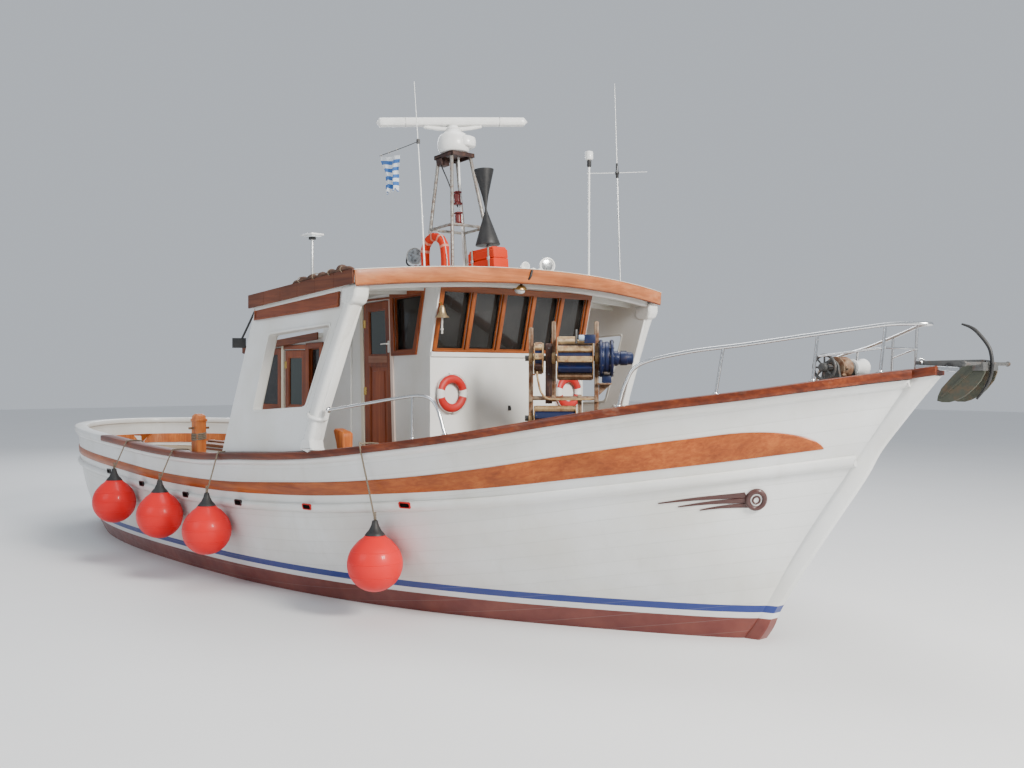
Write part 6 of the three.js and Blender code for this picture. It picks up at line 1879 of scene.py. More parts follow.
def makeLids():
    for name in ("hold", "fore"):
        spec = deckGear[name]
        part = newPart()
        x, low = spec["x"], spec["top"] + deckGear["seatGap"]
        long, wide = spec["long"] + 0.050, spec["wide"] + 0.050
        outline = rectangle(x - long / 2, -wide / 2, x + long / 2, wide / 2)
        addPlate(part, [outline, grow(outline, -0.075)], 0.045, "z", low + 0.0225, "hatchPlanks", 0.007)
        addPlate(part, [grow(outline, -0.070)], 0.018, "z", low + 0.010, "hatchPlanks", 0.001)
        count = 9 if name == "hold" else 5
        inner = wide - 0.150
        for k in range(count):
            y0 = -inner / 2 + inner * k / count
            addBox(part, (long - 0.154, inner / count - 0.006, 0.024), (x, y0 + inner / count / 2,
                                                                        low + 0.029), "hatchPlanks")
        for share in (-0.3, 0, 0.3):
            y = share * spec["wide"]
            addPlate(part, [rectangle(x - spec["long"] / 2 + 0.03, y - 0.035, x + spec["long"] / 2 - 0.03,
                                      y + 0.035)],
                     0.028, "z", low + 0.055, "hatchPlanks", 0.008)
            for end in (-1, 1):
                spot = (x + end * spec["long"] * 0.36, y, low + 0.070)
                addLathe(part, [(0.0, -0.003), (0.013, -0.002), (0.013, 0.001), (0.007, 0.004),
                                (0.0, 0.005)], spot, (0, 0, 1), "brass", 14)
        for end in (-1, 1):
            ring = (x + end * spec["long"] * 0.20, 0, low + 0.073)
            addRing(part, ring, (0, 0, 1), 0.042, 0.006, "stainless", 24, 8)
            addBox(part, (0.030, 0.020, 0.012), (ring[0] - end * 0.042, 0, low + 0.074), "stainless")
        makePiece(name + "HatchLid", part, spec["body"], (spec["body"],), edge=0.002)


scuppers = {"places": [(-3.040, 1.053), (-1.857, 0.979), (-0.610, 0.945), (0.613, 0.958), (1.862, 1.016),
                       (3.198, 1.133)],
            "long": 0.110, "tall": 0.042, "redFrom": 1.8}


def makeScuppers():
    part = newPart()
    for x, z in scuppers["places"]:
        place = skinFrame(x, z, hull["rubDepth"] * 0.92)
        finish = "scupperRed" if x > scuppers["redFrom"] else "hawseBlack"
        long, tall = scuppers["long"] / 2, scuppers["tall"] / 2
        rim = roundedBox(-long - 0.014, -tall - 0.012, long + 0.014, tall + 0.012, 0.018, 4)
        slot = roundedBox(-long, -tall, long, tall, 0.014, 4)
        addPlate(part, [rim, slot], 0.018, "z", 0.003, finish, 0.004, place)
        # the slot is a flat near-black plate: painted shade inside the scupper
        addPlate(part, [slot], 0.006, "z", 0.006, "slotBlack", 0.001, place)
    makePiece("scuppers", bothSides(part), "boat")


hawse = {"x": 6.108, "z": 1.318, "radius": 0.082,
         "tails": [(1.358, 5.462, 1.266, 0.046), (1.312, 5.595, 1.241, 0.046),
                   (1.266, 5.734, 1.215, 0.042)]}


def makeHawse():
    part = newPart()
    place = skinFrame(hawse["x"], hawse["z"], 0.006)
    radius = hawse["radius"]
    loop = [place @ Vector((a, b, 0.004)) for a, b in oval(0, 0, radius * 0.86, radius, 32)]
    addTube(part, loop, 0.023, "hawseBrown", 12, 1, closed=True)
    disc = oval(0, 0, radius * 0.78, radius * 0.92, 32)
    addPlate(part, [disc], 0.016, "z", 0.000, "stemPaint", 0.003, place)
    small = [place @ Vector((a, b, 0.010)) for a, b in oval(0, 0, 0.030, 0.034, 20)]
    addTube(part, small, 0.009, "hawseBrown", 8, 1, closed=True)
    for startZ, endX, endZ, wide in hawse["tails"]:
        startX = hawse["x"] - 0.050
        rows = []
        for k in range(29):
            share = k / 28
            x = startX + (endX - startX) * share
            z = startZ + (endZ - startZ) * (share ** 0.85) + 0.012 * math.sin(share * math.pi)
            half = wide * 0.5 * (1 - 0.86 * share) + 0.002
            rows.append([skinPoint(x, z - half, 0.001), skinPoint(x, z - half * 0.8, 0.008),
                         skinPoint(x, z + half * 0.8, 0.008),
                         skinPoint(x, z + half, 0.001)])
        addLoft(part, rows, "hawseBrown")
    makePiece("hawseRings", bothSides(part), "boat")


# Rails of stainless tube on the cap rail

def onCap(x, side, inset, lift):
    inboard = max(railHalf(x) - inset, 0.02)
    return Vector((x, side * inboard, railTop(min(x, 7.5)) + lift))


def addFlange(part, spot):
    addLathe(part, [(0.0, -0.004), (0.034, -0.003), (0.034, 0.004), (0.020, 0.008), (0.018, 0.016),
                    (0.0, 0.017)], spot, (0, 0, 1),
             "stainless", 20)


bowRailShape = {"inset": 0.020, "height": 0.376, "runs": [5.400, 5.450, 5.560, 5.900, 6.300, 6.700, 7.000,
                                                          7.200],
                "lifts": [0.004, 0.180, 0.330, 0.376, 0.376, 0.376, 0.376, 0.376], "posts": [6.150, 6.750,
                                                                                             7.150]}


def makeBowRail():
    part = newPart()
    inset, height = bowRailShape["inset"], bowRailShape["height"]
    sides = [[onCap(x, side, inset, lift) for x, lift in zip(bowRailShape["runs"], bowRailShape["lifts"])]
             for side in (-1, 1)]
    nose = Vector((7.395, 0, railTop(7.4) + height - 0.030))
    addTube(part, sides[0] + [nose] + sides[1][::-1], 0.0165, "stainless", 14, 8)
    for side in (-1, 1):
        for x in bowRailShape["posts"]:
            lean = 0.05 if x < 6.2 else 0.03
            addBar(part, onCap(x - lean, side, inset, 0.002), onCap(x, side, inset, height - 0.004),
                   0.0125, "stainless", 14)
            addFlange(part, onCap(x - lean, side, inset, 0.002))
        addFlange(part, onCap(5.400, side, inset, 0.002))
        low = [onCap(6.755, side, inset, height * 0.52), onCap(7.00, side, inset, height * 0.52),
               onCap(7.150, side, inset, height * 0.52)]
        addTube(part, low, 0.0085, "stainless", 10, 4)
    addBar(part, onCap(7.15, -1, inset, height * 0.52), onCap(7.15, 1, inset, height * 0.52), 0.0085,
           "stainless", 10)
    makePiece("bowRailing", part, "boat", ("bow_rail",))


handrailShape = {"inset": 0.030, "places": [(2.260, 0.396), (2.700, 0.401), (3.300, 0.406), (3.560, 0.386),
                                            (3.700, 0.280), (3.800, 0.004)],
                 "post": 3.420}


def makeHandrail():
    part = newPart()
    inset = handrailShape["inset"]
    addTube(part, [onCap(x, -1, inset, lift) for x, lift in handrailShape["places"]], 0.0155, "stainless",
            14, 6)
    post = handrailShape["post"]
    addBar(part, onCap(post, -1, inset, 0.002), onCap(post, -1, inset, 0.401), 0.0125, "stainless", 14)
    addFlange(part, onCap(post, -1, inset, 0.002))
    addFlange(part, onCap(3.800, -1, inset, 0.002))
    addLathe(part, [(0.0, -0.010), (0.030, -0.008), (0.030, 0.002), (0.017, 0.012), (0.0, 0.013)],
             onCap(2.262, -1, inset, 0.396), (1, 0, 0), "stainless", 18)
    makePiece("deckHandrail", part, "boat", ("handrail",))


# Fenders: ball, black cone and eye, with a taut line over the cap rail

fenders = {"places": [(-2.260, 0.730), (-0.870, 0.690), (0.265, 0.630), (2.895, 0.550)], "radius": 0.268}


def fenderSpot(x, z):
    radius = fenders["radius"]
    slope = (skinHalf(x + 0.02, z) - skinHalf(x - 0.02, z)) / 0.04
    flare = max(skinHalf(x, z + radius * 0.7) - skinHalf(x, z) - radius * 0.25, 0)
    return Vector((x, -(skinHalf(x, z) + (radius + 0.022) * math.hypot(1, slope) + flare), z))


def makeFenders():
    radius = fenders["radius"]
    for k, (x, z) in enumerate(fenders["places"]):
        part = newPart()
        spot = fenderSpot(x, z)
        shoulder = radius * math.sqrt(2)
        profile = [(0.0, -radius), (0.020, -radius + 0.001)]
        profile += [(radius * math.cos(a), radius * math.sin(a)) for a in [math.radians(-84 + 129 * j / 26)
                                                                           for j in range(27)]]
        profile += [(radius * 0.707 - 0.030, radius * 0.707 + 0.033), (0.120, shoulder - 0.128),
                    (0.094, shoulder - 0.100)]
        addLathe(part, profile + [(0.0, shoulder - 0.100)], spot, (0, 0, 1), "fenderRed", 56)
        cone = [(0.0, shoulder - 0.112), (0.098, shoulder - 0.110), (0.098, shoulder - 0.100),
                (0.082, shoulder - 0.078),
                (0.060, shoulder - 0.055), (0.038, shoulder - 0.010), (0.030, shoulder + 0.020),
                (0.028, shoulder + 0.036), (0.0, shoulder + 0.040)]
        addLathe(part, cone, spot, (0, 0, 1), "blackPlastic", 32)
        for height in (-0.11, 0.02, 0.13):
            ring = math.sqrt(radius * radius - height * height)
            addLathe(part, [(ring - 0.004, height - 0.006), (ring + 0.0022, height),
                            (ring - 0.004, height + 0.006)], spot, (0, 0, 1), "fenderRed", 56)
        eye = spot + Vector((0, 0, shoulder + 0.028))
        addRing(part, eye, (1, 0.2, 0), 0.020, 0.0055, "blackPlastic", 18, 8)
        railY = min(-(railHalf(x) + hull["capOverhang"] + 0.010), -0.02)
        top = railTop(x)
        lean = -0.05 if k == 3 else 0.0
        edge = Vector((x + lean, railY, top - 0.010))
        start = eye + Vector((0, 0, 0.012))
        line = [start, start.lerp(edge, 0.5), edge, Vector((x + lean, railY + 0.030, top + 0.010)),
                Vector((x + lean, railY + 0.16, top + 0.010)),
                Vector((x + lean, railY + 0.235, top - 0.020)),
                Vector((x + lean, railY + 0.225, top - 0.16))]
        addTube(part, line, 0.0085, "rope", 8, 5)
        for turn in range(5):
            addRing(part, start + Vector((0, 0, 0.016 + turn * 0.014)), (0.1, 0.1, 1), 0.011, 0.005,
                    "rope", 14, 6)
        makePiece("fenderBall%d" % (k + 1), part, "boat", ("fender_%d" % (k + 1),),
                  smoothAngle=60)


# Net reel, turned half way to the starboard bow. It is laid out along Y, then turned.

reel = {"place": (3.660, -0.369, 0), "turn": -0.797, "axis": 2.535, "lowAxis": 1.925, "beam": 2.130,
        "deck": 1.180,
        "aft": -0.333, "middle": -0.100, "low": 0.163, "fore": 0.333, "post": 0.044, "wide": 0.090,
        "clear": 0.032,
        "barSide": 0.070, "shaft": 0.029, "bore": 0.034}


def turnReel(part):
    return placed(part, Matrix.Translation(reel["place"]) @ Matrix.Rotation(reel["turn"], 4, "Z"))


def upright(width, low, high, x=0.0):
    return rectangle(x - width / 2, low, x + width / 2, high)


def addPost(part, y, low, high):
    addPlate(part, [upright(reel["wide"], low, high)], reel["post"] * 0.4, "y", y, "rustySteel", 0.003)
    for side in (-1, 1):
        flange = upright(0.012, low, high - 0.006, side * (reel["wide"] / 2 - 0.006))
        addPlate(part, [flange], reel["post"], "y", y, "rustySteel", 0.003)


def addBearing(part, y, z):
    addPlate(part, [circle(0, z, 0.074, 32), circle(0, z, reel["bore"], 24)], 0.040, "y", y, "slatSteel",
             0.003)
    for k in range(4):
        bolt = Vector((math.cos(0.4 + k * tau / 4) * 0.055, y, z + math.sin(0.4 + k * tau / 4) * 0.055))
        addBar(part, bolt - Vector((0, 0.024, 0)), bolt + Vector((0, 0.024, 0)), 0.008, "galvanized", 6)


def addChainCase(part):
    y, low, high = reel["middle"] - 0.050, 2.074, 2.686
    outline = roundedBox(-0.058, low, 0.058, high, 0.030, 5)
    addPlate(part, [outline, circle(0, reel["axis"], reel["bore"], 24)], 0.070, "y", y, "darkPlate", 0.006)
    addPlate(part, [grow(outline, 0.002), grow(outline, -0.016)], 0.012, "y", y, "darkPlate", 0.003)
    for z in (low + 0.05, low + 0.30, high - 0.05):
        addBar(part, (0.050, y, z), (0.064, y, z), 0.009, "galvanized", 6)


def addValve(part):
    x, y, z = 0.245, 0.222, 2.725
    addBar(part, (0.030, reel["fore"] - 0.020, z), (x, reel["fore"] - 0.030, z), 0.012, "rustySteel", 10)
    addBox(part, (0.050, 0.110, 0.085), (x, y + 0.040, z), "navyPaint")
    addBar(part, (x, y - 0.015, z + 0.010), (x, y - 0.070, z + 0.010), 0.030, "paleBluePaint", 16)
    addBar(part, (x, y - 0.070, z + 0.010), (x, y - 0.082, z + 0.010), 0.020, "galvanized", 6)
    addBar(part, (x, y - 0.095, z - 0.045), (x, y - 0.095, z + 0.095), 0.012, "galvanized", 12)
    addBar(part, (x, y - 0.095, z + 0.010), (x, y - 0.060, z + 0.010), 0.010, "galvanized", 10)
    addBar(part, (x, reel["fore"] - 0.030, z), (x, y + 0.090, z), 0.012, "rustySteel", 10)


def makeReelFrame():
    part = newPart()
    aft, middle, low, fore = (reel[name] for name in ("aft", "middle", "low", "fore"))
    for y, bottom, top in ((aft, reel["deck"], 2.850), (middle, reel["beam"], 2.912),
                           (low, reel["deck"], reel["beam"]),
                           (fore, reel["deck"], 2.912)):
        addPost(part, y, bottom, top)
        addBox(part, (0.184, reel["post"] - 0.004, 0.070), (0, y, reel["beam"]), "rustySteel")
    for y, z in ((aft, reel["axis"]), (middle, reel["axis"]), (fore, reel["axis"]), (aft, reel["lowAxis"]),
                 (low, reel["lowAxis"])):
        addBearing(part, y, z)
    for side in (-1, 1):
        addBar(part, (side * reel["barSide"], aft, reel["beam"]), (side * reel["barSide"], fore,
                                                                   reel["beam"]), 0.020, "rustySteel", 14)
        for y in (aft, low, fore):
            addBar(part, (side * 0.02, y, 1.540), (side * 0.190, y, reel["deck"] + 0.020), 0.016,
                   "rustySteel", 12)
            addBox(part, (0.090, 0.086, 0.012), (side * 0.170, y, reel["deck"] + 0.116), "rustySteel")
    for y in (aft, low, fore):
        addBox(part, (0.440, 0.010, 0.036), (0, y, 1.270), "rustySteel")
        for z in (1.255, 1.285):
            addBox(part, (0.440, 0.088, 0.010), (0, y, z), "rustySteel")
    addBox(part, (0.150, 0.150, 0.014), (0.020, fore + 0.080, reel["axis"] - 0.257), "rustySteel")
    addPlate(part, [[(-0.055, 0.0), (0.065, 0.0), (-0.055, -0.110)]], 0.010, "x", 0.020, "rustySteel",
             0.002,
             Matrix.Translation((0, fore + 0.080, reel["axis"] - 0.264)))
    addChainCase(part)
    addValve(part)
    pipe = [(0.120, -0.270, 2.400), (0.120, -0.255, 2.300), (0.116, -0.225, 2.190), (0.112, -0.165, 2.128),
            (0.110, -0.080, 2.120),
            (0.110, 0.100, 2.120), (0.110, 0.290, 2.122)]
    addTube(part, pipe, 0.011, "slatSteel", 10, 6)
    for y, z in ((-0.300, 2.370), (0.270, 2.121)):
        addBox(part, (0.090, 0.026, 0.018), (0.072, y, z), "rustySteel")
    makePiece("reelFrameJoinery", turnReel(part), "boat", ("reel_frame",), edge=0.0015)


def addDrum(part, low, high, radius, slats, axis, first, slatFinishes):
    width = high - low
    addLathe(part, rectangle(0.0, 0.004, radius - 0.040, width - 0.004),
             (0, low, axis), (0, 1, 0), "navyPaint", 36)
    for start in (0.0, width - 0.012):
        rim = radius - 0.006
        addLathe(part, [(0.0, start), (rim - 0.005, start), (rim, start + 0.003), (rim, start + 0.009),
                        (rim - 0.005, start + 0.012),
                        (0.0, start + 0.012)], (0, low, axis), (0, 1, 0), "slatSteel", 48)
    section = roundedBox(-0.024, -0.031, 0.022, 0.031, 0.012, 4)
    for k in range(slats):
        turn = Matrix.Rotation(first + k * tau / slats, 3, "Y")
        rows = []
        for y in (low + 0.014, high - 0.014):
            rows.append([Vector((0, y, axis)) + turn @ Vector((radius - 0.022 + a, 0, b)) for a,
                         b in section])
        addLoft(part, rows, slatFinishes[k % len(slatFinishes)])
        for y in (low + 0.030, high - 0.030):
            spot = Vector((0, y, axis)) + turn @ Vector((radius - 0.002, 0, 0))
            addBar(part, spot, spot + turn @ Vector((0.004, 0, 0)), 0.006, "galvanized", 6)


def makeReelDrums():
    aft, middle, low, fore = (reel[name] for name in ("aft", "middle", "low", "fore"))
    drum = newPart()
    addBar(drum, (0, aft - 0.060, reel["axis"]), (0, fore + 0.018, reel["axis"]), reel["shaft"],
           "galvanized", 20)
    tan, brown = "slatSteel", "slatBrown"
    addDrum(drum, middle + reel["clear"], fore - reel["clear"], 0.222, 12, reel["axis"], -0.995,
            (tan, tan, tan, "navyPaint", brown, brown, tan, tan, "navyPaint", tan, brown, tan))
    addDrum(drum, aft + reel["clear"], aft + 0.128, 0.162, 8, reel["axis"], -0.90, (tan, tan, "darkPlate",
                                                                                    brown))
    makePiece("reelDrumAndShaft", turnReel(drum), "reel_drum", ("reel_drum",))
    lower = newPart()
    addBar(lower, (0, aft - 0.060, reel["lowAxis"]), (0, low + 0.050, reel["lowAxis"]), reel["shaft"],
           "galvanized", 20)
    addDrum(lower, aft + reel["clear"], low - reel["clear"], 0.132, 7, reel["lowAxis"], -1.15,
            (tan, "navyPaint", tan, brown))
    makePiece("reelLowDrumAndShaft", turnReel(lower), "reel_low_drum", ("reel_low_drum",))


def makeReelMotor():
    part = newPart()
    start, z = reel["fore"] + 0.0224, reel["axis"]
    body = [(0.0, 0.0), (0.110, 0.0), (0.140, 0.004), (0.184, 0.006), (0.190, 0.012), (0.190, 0.028),
            (0.184, 0.034), (0.166, 0.038),
            (0.164, 0.062), (0.171, 0.066), (0.171, 0.096), (0.164, 0.100), (0.162, 0.114), (0.184, 0.118),
            (0.190, 0.124),
            (0.190, 0.138), (0.184, 0.144), (0.130, 0.150), (0.0, 0.150)]
    addLathe(part, body, (0, start, z), (0, 1, 0), "navyPaint", 48)
    for ring in (0.020, 0.131):
        for k in range(12):
            a = tau * k / 12 + 0.1
            spot = Vector((math.cos(a) * 0.176, start + ring, z + math.sin(a) * 0.176))
            addBar(part, spot - Vector((0, 0.022, 0)), spot + Vector((0, 0.022, 0)), 0.008, "galvanized", 6)
    nose = [(0.0, 0.140), (0.076, 0.140), (0.076, 0.190), (0.066, 0.195), (0.064, 0.214), (0.072, 0.219),
            (0.071, 0.284),
            (0.064, 0.290), (0.062, 0.334), (0.052, 0.345), (0.034, 0.351), (0.0, 0.352)]
    addLathe(part, nose, (0, start, z), (0, 1, 0), "navyPaint", 36)
    for k in range(3):
        spot = Vector((0, start + 0.232 + k * 0.020, z + 0.068))
        addBar(part, spot, spot + Vector((0, 0, 0.010)), 0.011, "galvanized", 6)
    foot = [(-0.038, z - 0.248), (0.078, z - 0.248), (0.070, z - 0.130), (-0.030, z - 0.130)]
    addPlate(part, [foot], 0.096, "y", start + 0.080, "navyPaint", 0.008)
    for side in (-1, 1):
        x = 0.020 + 0.075 * side
        addBar(part, (x, start + 0.05, z - 0.150), (x, start + 0.11, z - 0.150), 0.018, "galvanized", 14)
    makePiece("reelMotorAndPump", turnReel(part), "boat", ("reel_motor",), edge=0.0015)


# Windlass on the foredeck

windlass = {"x": 6.600, "axis": 2.440, "cheeks": (-0.150, 0.105)}


def makeWindlass():
    part = newPart()
    x, axis = windlass["x"], windlass["axis"]
    foot = axis - 0.420
    addPlate(part, [rectangle(x - 0.168, -0.185, x + 0.168, 0.141)], 0.058, "z", foot + 0.041,
             "rustySteel", 0.008)
    addBox(part, (0.290, 0.250, 0.110), (x, -0.022, foot - 0.030), "bittVarnish")
    for y in windlass["cheeks"]:
        rounded = [(x + math.cos(a) * 0.074, axis + math.sin(a) * 0.064) for a in [math.pi * k / 16
                                                                                   for k in range(17)]]
        cheek = [(x - 0.148, foot + 0.052), (x + 0.148, foot + 0.052)] + rounded
        bore = circle(x, axis, 0.031, 20)
        addPlate(part, [cheek, bore], 0.026, "y", y, "galvanized", 0.004)
        for k in (-1, 1):
            addBar(part, (x + k * 0.11, y - 0.020, foot + 0.076), (x + k * 0.11, y + 0.020, foot + 0.076),
                   0.011, "rustySteel", 6)
    makePiece("windlassStand", part, "boat", ("windlass_frame",), edge=0.0015)
    drum = newPart()
    centre = (x, 0, axis)
    addBar(drum, (x, -0.308, axis), (x, 0.364, axis), 0.026, "galvanized", 20)
    addRing(drum, (x, -0.255, axis), (0, 1, 0), 0.102, 0.013, "galvanized", 40, 10)
    addLathe(drum, [(0.0, -0.300), (0.034, -0.298), (0.038, -0.285), (0.038, -0.225), (0.030, -0.212),
                    (0.0, -0.210)], centre, (0, 1, 0),
             "galvanized", 24)
    for k in range(8):
        a = tau * k / 8
        rim = Vector((x + math.cos(a) * 0.100, -0.255, axis + math.sin(a) * 0.100))
        addBar(drum, (x + math.cos(a) * 0.03, -0.255, axis + math.sin(a) * 0.03), rim, 0.008, "galvanized",
               8)
    wheel = [(0.0, -0.100), (0.060, -0.099), (0.090, -0.094), (0.092, -0.086), (0.078, -0.064),
             (0.060, -0.040), (0.056, -0.020),
             (0.060, 0.000), (0.078, 0.026), (0.092, 0.046), (0.090, 0.054), (0.060, 0.060), (0.0, 0.062)]
    addLathe(drum, wheel, centre, (0, 1, 0), "rustySteel", 30)
    for k in range(6):
        a = tau * k / 6
        addBox(drum, (0.030, 0.060, 0.016), (x + math.cos(a) * 0.068, -0.020, axis + math.sin(a) * 0.068),
               "rustySteel",
               Matrix.Rotation(-a, 3, "Y"))
    barrel = [(0.0, 0.152), (0.060, 0.153), (0.074, 0.158), (0.074, 0.166), (0.064, 0.186), (0.058, 0.215),
              (0.057, 0.270), (0.061, 0.305),
              (0.072, 0.335), (0.077, 0.346), (0.075, 0.354), (0.060, 0.358), (0.0, 0.359)]
    addLathe(drum, barrel, centre, (0, 1, 0), "whitePlastic", 40)
    addLathe(drum, [(0.0, 0.356), (0.052, 0.357), (0.054, 0.362), (0.040, 0.365), (0.0, 0.366)], centre,
             (0, 1, 0), "hawseBlack", 32)
    makePiece("windlassWheels", drum, "windlass_drum", ("windlass_drum",))


# Anchor stowed over the stem head

def makeAnchor():
    part = newPart()
    shank = [(7.280, 2.452), (7.280, 2.490), (7.500, 2.495), (7.820, 2.500), (7.866, 2.494),
             (7.882, 2.466), (7.874, 2.442), (7.840, 2.432),
             (7.600, 2.438), (7.400, 2.446)]
    crown = circle(7.850, 2.466, 0.0185, 20)
    addPlate(part, [shank, crown], 0.034, "y", 0.0, "galvanized", 0.006)
    horn = [(7.290, 2.438), (7.640, 2.402), (7.662, 2.412), (7.660, 2.440), (7.300, 2.462)]
    addPlate(part, [horn], 0.016, "y", -0.044, "stainless", 0.003)
    addPlate(part, [horn], 0.016, "y", 0.044, "stainless", 0.003)
    addLathe(part, [(0.010, -0.036), (0.034, -0.034), (0.030, -0.018), (0.022, 0.0), (0.030, 0.018),
                    (0.034, 0.034), (0.010, 0.036)],
             (7.560, 0, 2.4405), (0, 1, 0), "blackPlastic", 28)
    addBar(part, (7.560, -0.058, 2.442), (7.560, 0.058, 2.442), 0.010, "stainless", 14)
    arm = [(7.652, 0, 2.776), (7.720, 0, 2.750), (7.780, 0, 2.705), (7.868, 0, 2.590), (7.892, 0, 2.480)]
    lower = [(7.892, 0, 2.452), (7.880, 0, 2.370), (7.838, 0, 2.280), (7.774, 0, 2.195)]
    rows = []
    line = curveThrough([Vector(p) for p in arm + lower], 7)
    for k, p in enumerate(line):
        along = directionAt(line, k)
        side = along.cross(Vector((0, 1, 0))).normalized()
        share = k / (len(line) - 1)
        size = 0.0145 * (0.55 + 0.45 * min(1, share * 5, (1 - share) * 5))
        rows.append([p + side * math.cos(a) * size + Vector((0, math.sin(a) * size, 0))
                     for a in [tau * j / 12 for j in range(12)]])
    addLoft(part, rows, "blackPlastic")
    shackle = curveThrough([Vector(p) for p in ((7.345, -0.028, 2.470), (7.325, -0.030, 2.500),
                                                (7.300, 0, 2.512), (7.325, 0.030, 2.500),
                                                (7.345, 0.028, 2.470))], 6)
    addTube(part, shackle, 0.007, "stainless", 10, 1)
    addBar(part, (7.345, -0.038, 2.470), (7.345, 0.038, 2.470), 0.007, "stainless", 12)
    makePiece("anchorShankAndArm", part, "boat", ("anchor_shank",), edge=0.0)
    flukes = newPart()
    cx, cz = 7.850, 2.466
    outline = [(-0.030, 0.010), (0.040, -0.060), (0.010, -0.130), (-0.050, -0.200), (-0.110, -0.250),
               (-0.180, -0.285), (-0.230, -0.300),
               (-0.290, -0.300), (-0.330, -0.290), (-0.325, -0.250), (-0.300, -0.190), (-0.210, -0.085),
               (-0.110, 0.010)]
    for side in (-1, 1):
        place = Matrix.Translation((cx, side * 0.095, cz)) @ Matrix.Rotation(side * 0.12, 4, "X")
        addPlate(flukes, [outline], 0.014, "y", 0.0, "flukePaint", 0.004, place)
        rib = [(-0.040, 0.0), (-0.300, -0.250), (-0.285, -0.265), (-0.020, -0.030)]
        addPlate(flukes, [rib], 0.030, "y", 0.0, "flukePaint", 0.006, place)
        addBox(flukes, (0.084, 0.084, 0.066), (cx - 0.010, side * 0.085, cz - 0.020), "galvanized")
    addBar(flukes, (cx, -0.378, cz), (cx, 0.378, cz), 0.0145, "galvanized", 18)
    for side in (-1, 1):
        addLathe(flukes, [(0.0, -0.012), (0.020, -0.010), (0.021, 0.0), (0.018, 0.012), (0.0, 0.014)],
                 (cx, side * 0.368, cz), (0, side, 0),
                 "galvanized", 20)
    makePiece("anchorBlades", flukes, "anchor_flukes", ("anchor_flukes",), edge=0.0015)


# Under water: propeller and rudder

screw = {"x": -5.560, "height": -1.230}


def makePropeller():
    low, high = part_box("propeller")
    part = newPart()
    centreX, height, radius = screw["x"], screw["height"], (high[2] - low[2]) / 2
    hub = [(0.0, -0.210), (0.012, -0.206), (0.030, -0.180), (0.062, -0.105), (0.078, -0.085),
           (0.086, -0.020), (0.090, 0.040), (0.088, 0.090), (0.0, 0.092)]
    addLathe(part, hub, (centreX, 0, height), (1, 0, 0), "castBronze", 36)
    addBar(part, (centreX + 0.080, 0, height), (high[0] - 0.002, 0, height), 0.034, "stainless", 20)
    for blade in range(4):
        turn = Matrix.Rotation(blade * math.pi / 2, 4, "X")
        rows = []
        for k in range(19):
            share = k / 18
            r = 0.070 + (radius - 0.074) * share
            chord = 0.125 * math.sin(math.pi * (0.22 + 0.74 * share)) ** 0.7 * (1 - 0.30 * share ** 6) + 0.002
            pitch = math.atan2(0.55, tau * max(r, 0.09)) + 0.10
            thick = 0.011 * (1 - share) + 0.003
            ring = []
            for j in range(16):
                a = tau * j / 16
                u, v = math.cos(a) * chord, math.sin(a) * thick + 0.012 * (1 - math.cos(a) ** 2)
                across = u * math.cos(pitch) - v * math.sin(pitch)
                fore = u * math.sin(pitch) + v * math.cos(pitch)
                ring.append(turn @ Vector((fore * 0.9 - 0.05 * share * share,
                                           across + 0.03 * share * share, r)) + Vector((centreX, 0,
                                                                                        height)))
            rows.append(ring)
        addLoft(part, rows, "castBronze")
    makePiece("propellerBlades", part, "propeller", ("propeller",), smoothAngle=50)


def makeRudder():
    part = newPart()
    blade = [(-6.040, -1.640), (-6.720, -1.640), (-6.775, -1.500), (-6.790, -1.300), (-6.790, -0.420),
             (-6.740, -0.350), (-6.640, -0.330), (-6.040, -0.560)]
    addPlate(part, [blade], 0.060, "y", 0.0, "bottomPaint", 0.014)
    low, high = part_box("rudder")
    stockX = -6.150
    addBar(part, (stockX, 0, low[2] + 0.001), (stockX, 0, -1.60), 0.027, "stainless", 20)
    addBar(part, (stockX, 0, -0.60), (stockX, 0, high[2] - 0.001), 0.037, "stainless", 24)
    for z in (-1.40, -0.95, -0.62):
        addPlate(part, [[(-6.60, z - 0.030), (-6.045, z - 0.038), (-6.045, z + 0.038),
                         (-6.60, z + 0.030)]], 0.066, "y", 0.0, "bottomPaint", 0.006)
        for x in (-6.15, -6.30, -6.45):
            addBar(part, (x, -0.037, z), (x, 0.037, z), 0.010, "castBronze", 12)
    makePiece("rudderBlade", part, "rudder", ("rudder",))


makeDeck()
makeBitts()
makeLids()
makeScuppers()
makeHawse()
makeBowRail()
makeHandrail()
makeFenders()
print("deck made")
makeReelFrame()
makeReelDrums()
makeReelMotor()
makeWindlass()
makeAnchor()
makePropeller()
makeRudder()
print("deck gear made")


# Camera, floor and lights

view = {"place": (11.7306, -8.4767, 2.4), "heading": 42.5, "pitch": 0.637, "roll": 0.112, "lens": 39.5,
        "sensor": 36}
stage = {"floorSize": 120, "floorTone": 0.78, "worldTone": (0.80, 0.86, 0.94), "worldStrength": 0.66}
lamps = [
    # name, place, aim, size, power, colour
    ("keyLamp", (19, -1, 10), (1.5, 0, 1.4), 5, 5200, (1.0, 0.965, 0.90)),
    ("sideLamp", (2, -17, 9), (0, 0, 1.2), 9, 620, (0.92, 0.96, 1.0)),
    ("aftLamp", (-15, 9, 10), (-1, 0, 1.5), 9, 1300, (0.95, 0.97, 1.0)),
    ("topLamp", (1, 3, 16), (0, 0, 0), 11, 1500, (1.0, 1.0, 1.0)),
]


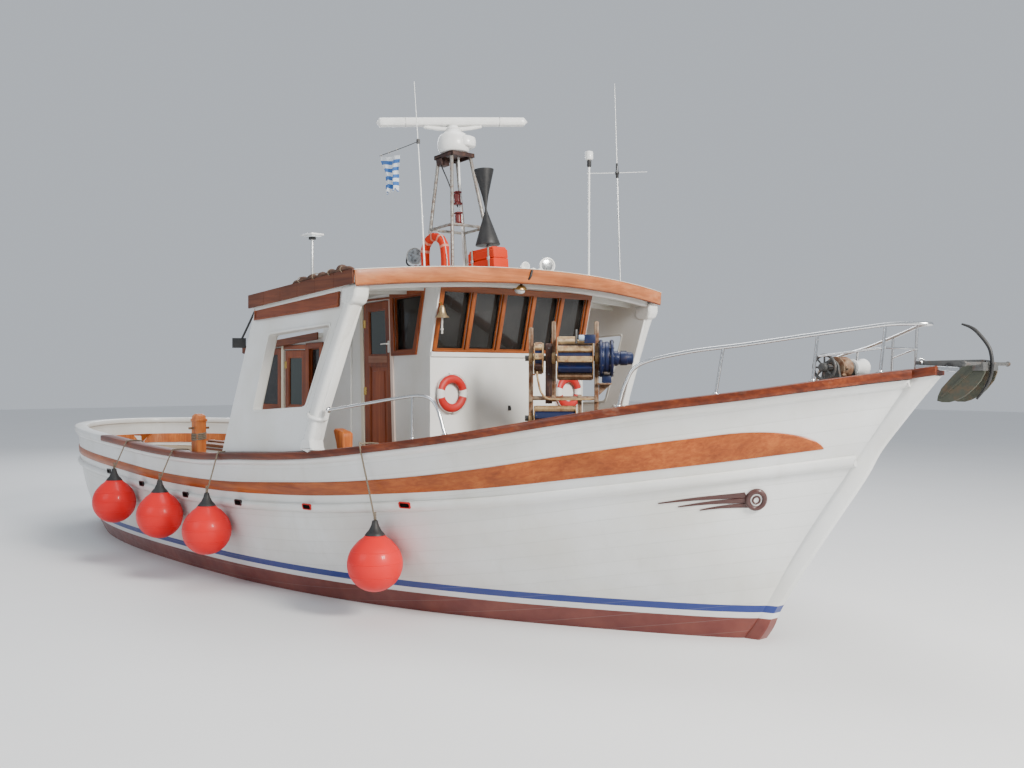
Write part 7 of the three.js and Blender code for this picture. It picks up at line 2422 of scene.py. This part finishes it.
def makeCamera():
    heading, pitch, roll = (math.radians(view[key]) for key in ("heading", "pitch", "roll"))
    level = Vector((-math.cos(heading), math.sin(heading), 0))
    up = Vector((0, 0, 1)) * math.cos(pitch) + level * math.sin(pitch)
    ahead = level * math.cos(pitch) - Vector((0, 0, 1)) * math.sin(pitch)
    side = Vector((math.sin(heading), math.cos(heading), 0)) * math.cos(roll) + up * math.sin(roll)
    top = side.cross(ahead)
    data = bpy.data.cameras.new("photoView")
    data.lens, data.sensor_width, data.clip_end = view["lens"], view["sensor"], 500
    camera = bpy.data.objects.new("photoView", data)
    camera.matrix_world = Matrix.Translation(view["place"]) @ Matrix((side, top,
                                                                      -ahead)).transposed().to_4x4()
    bpy.context.scene.collection.objects.link(camera)
    bpy.context.scene.camera = camera


def makeFloor():
    tree, shader = newFinish("floorPaint", Roughness=0.6)
    wire(tree, rampOf(tree, speckle(tree, 0.6, detail=6), [(0.3, grey(stage["floorTone"] - 0.02)),
                                                       (0.7, grey(stage["floorTone"]))]),
         shader.inputs["Base Color"])
    half = stage["floorSize"] / 2
    mesh = bpy.data.meshes.new("floor")
    mesh.from_pydata([(-half, -half, 0), (half, -half, 0), (half, half, 0), (-half, half, 0)], [],
                     [(0, 1, 2, 3)])
    mesh.materials.append(finishes["floorPaint"])
    floor = bpy.data.objects.new("floor", mesh)
    bpy.context.scene.collection.objects.link(floor)


def makeLights():
    for name, place, aim, size, power, color in lamps:
        data = bpy.data.lights.new(name, "AREA")
        data.shape, data.size, data.energy, data.color = "DISK", size, power, color
        lamp = bpy.data.objects.new(name, data)
        lamp.location = place
        lamp.rotation_euler = (Vector(aim) - Vector(place)).to_track_quat("-Z", "Y").to_euler()
        bpy.context.scene.collection.objects.link(lamp)
    world = bpy.data.worlds.new("studio")
    world.use_nodes = True
    background = world.node_tree.nodes["Background"]
    background.inputs["Color"].default_value = (*stage["worldTone"], 1)
    background.inputs["Strength"].default_value = stage["worldStrength"]
    bpy.context.scene.world = world


makeCamera()
makeFloor()
makeLights()
print("camera, floor and lights set")
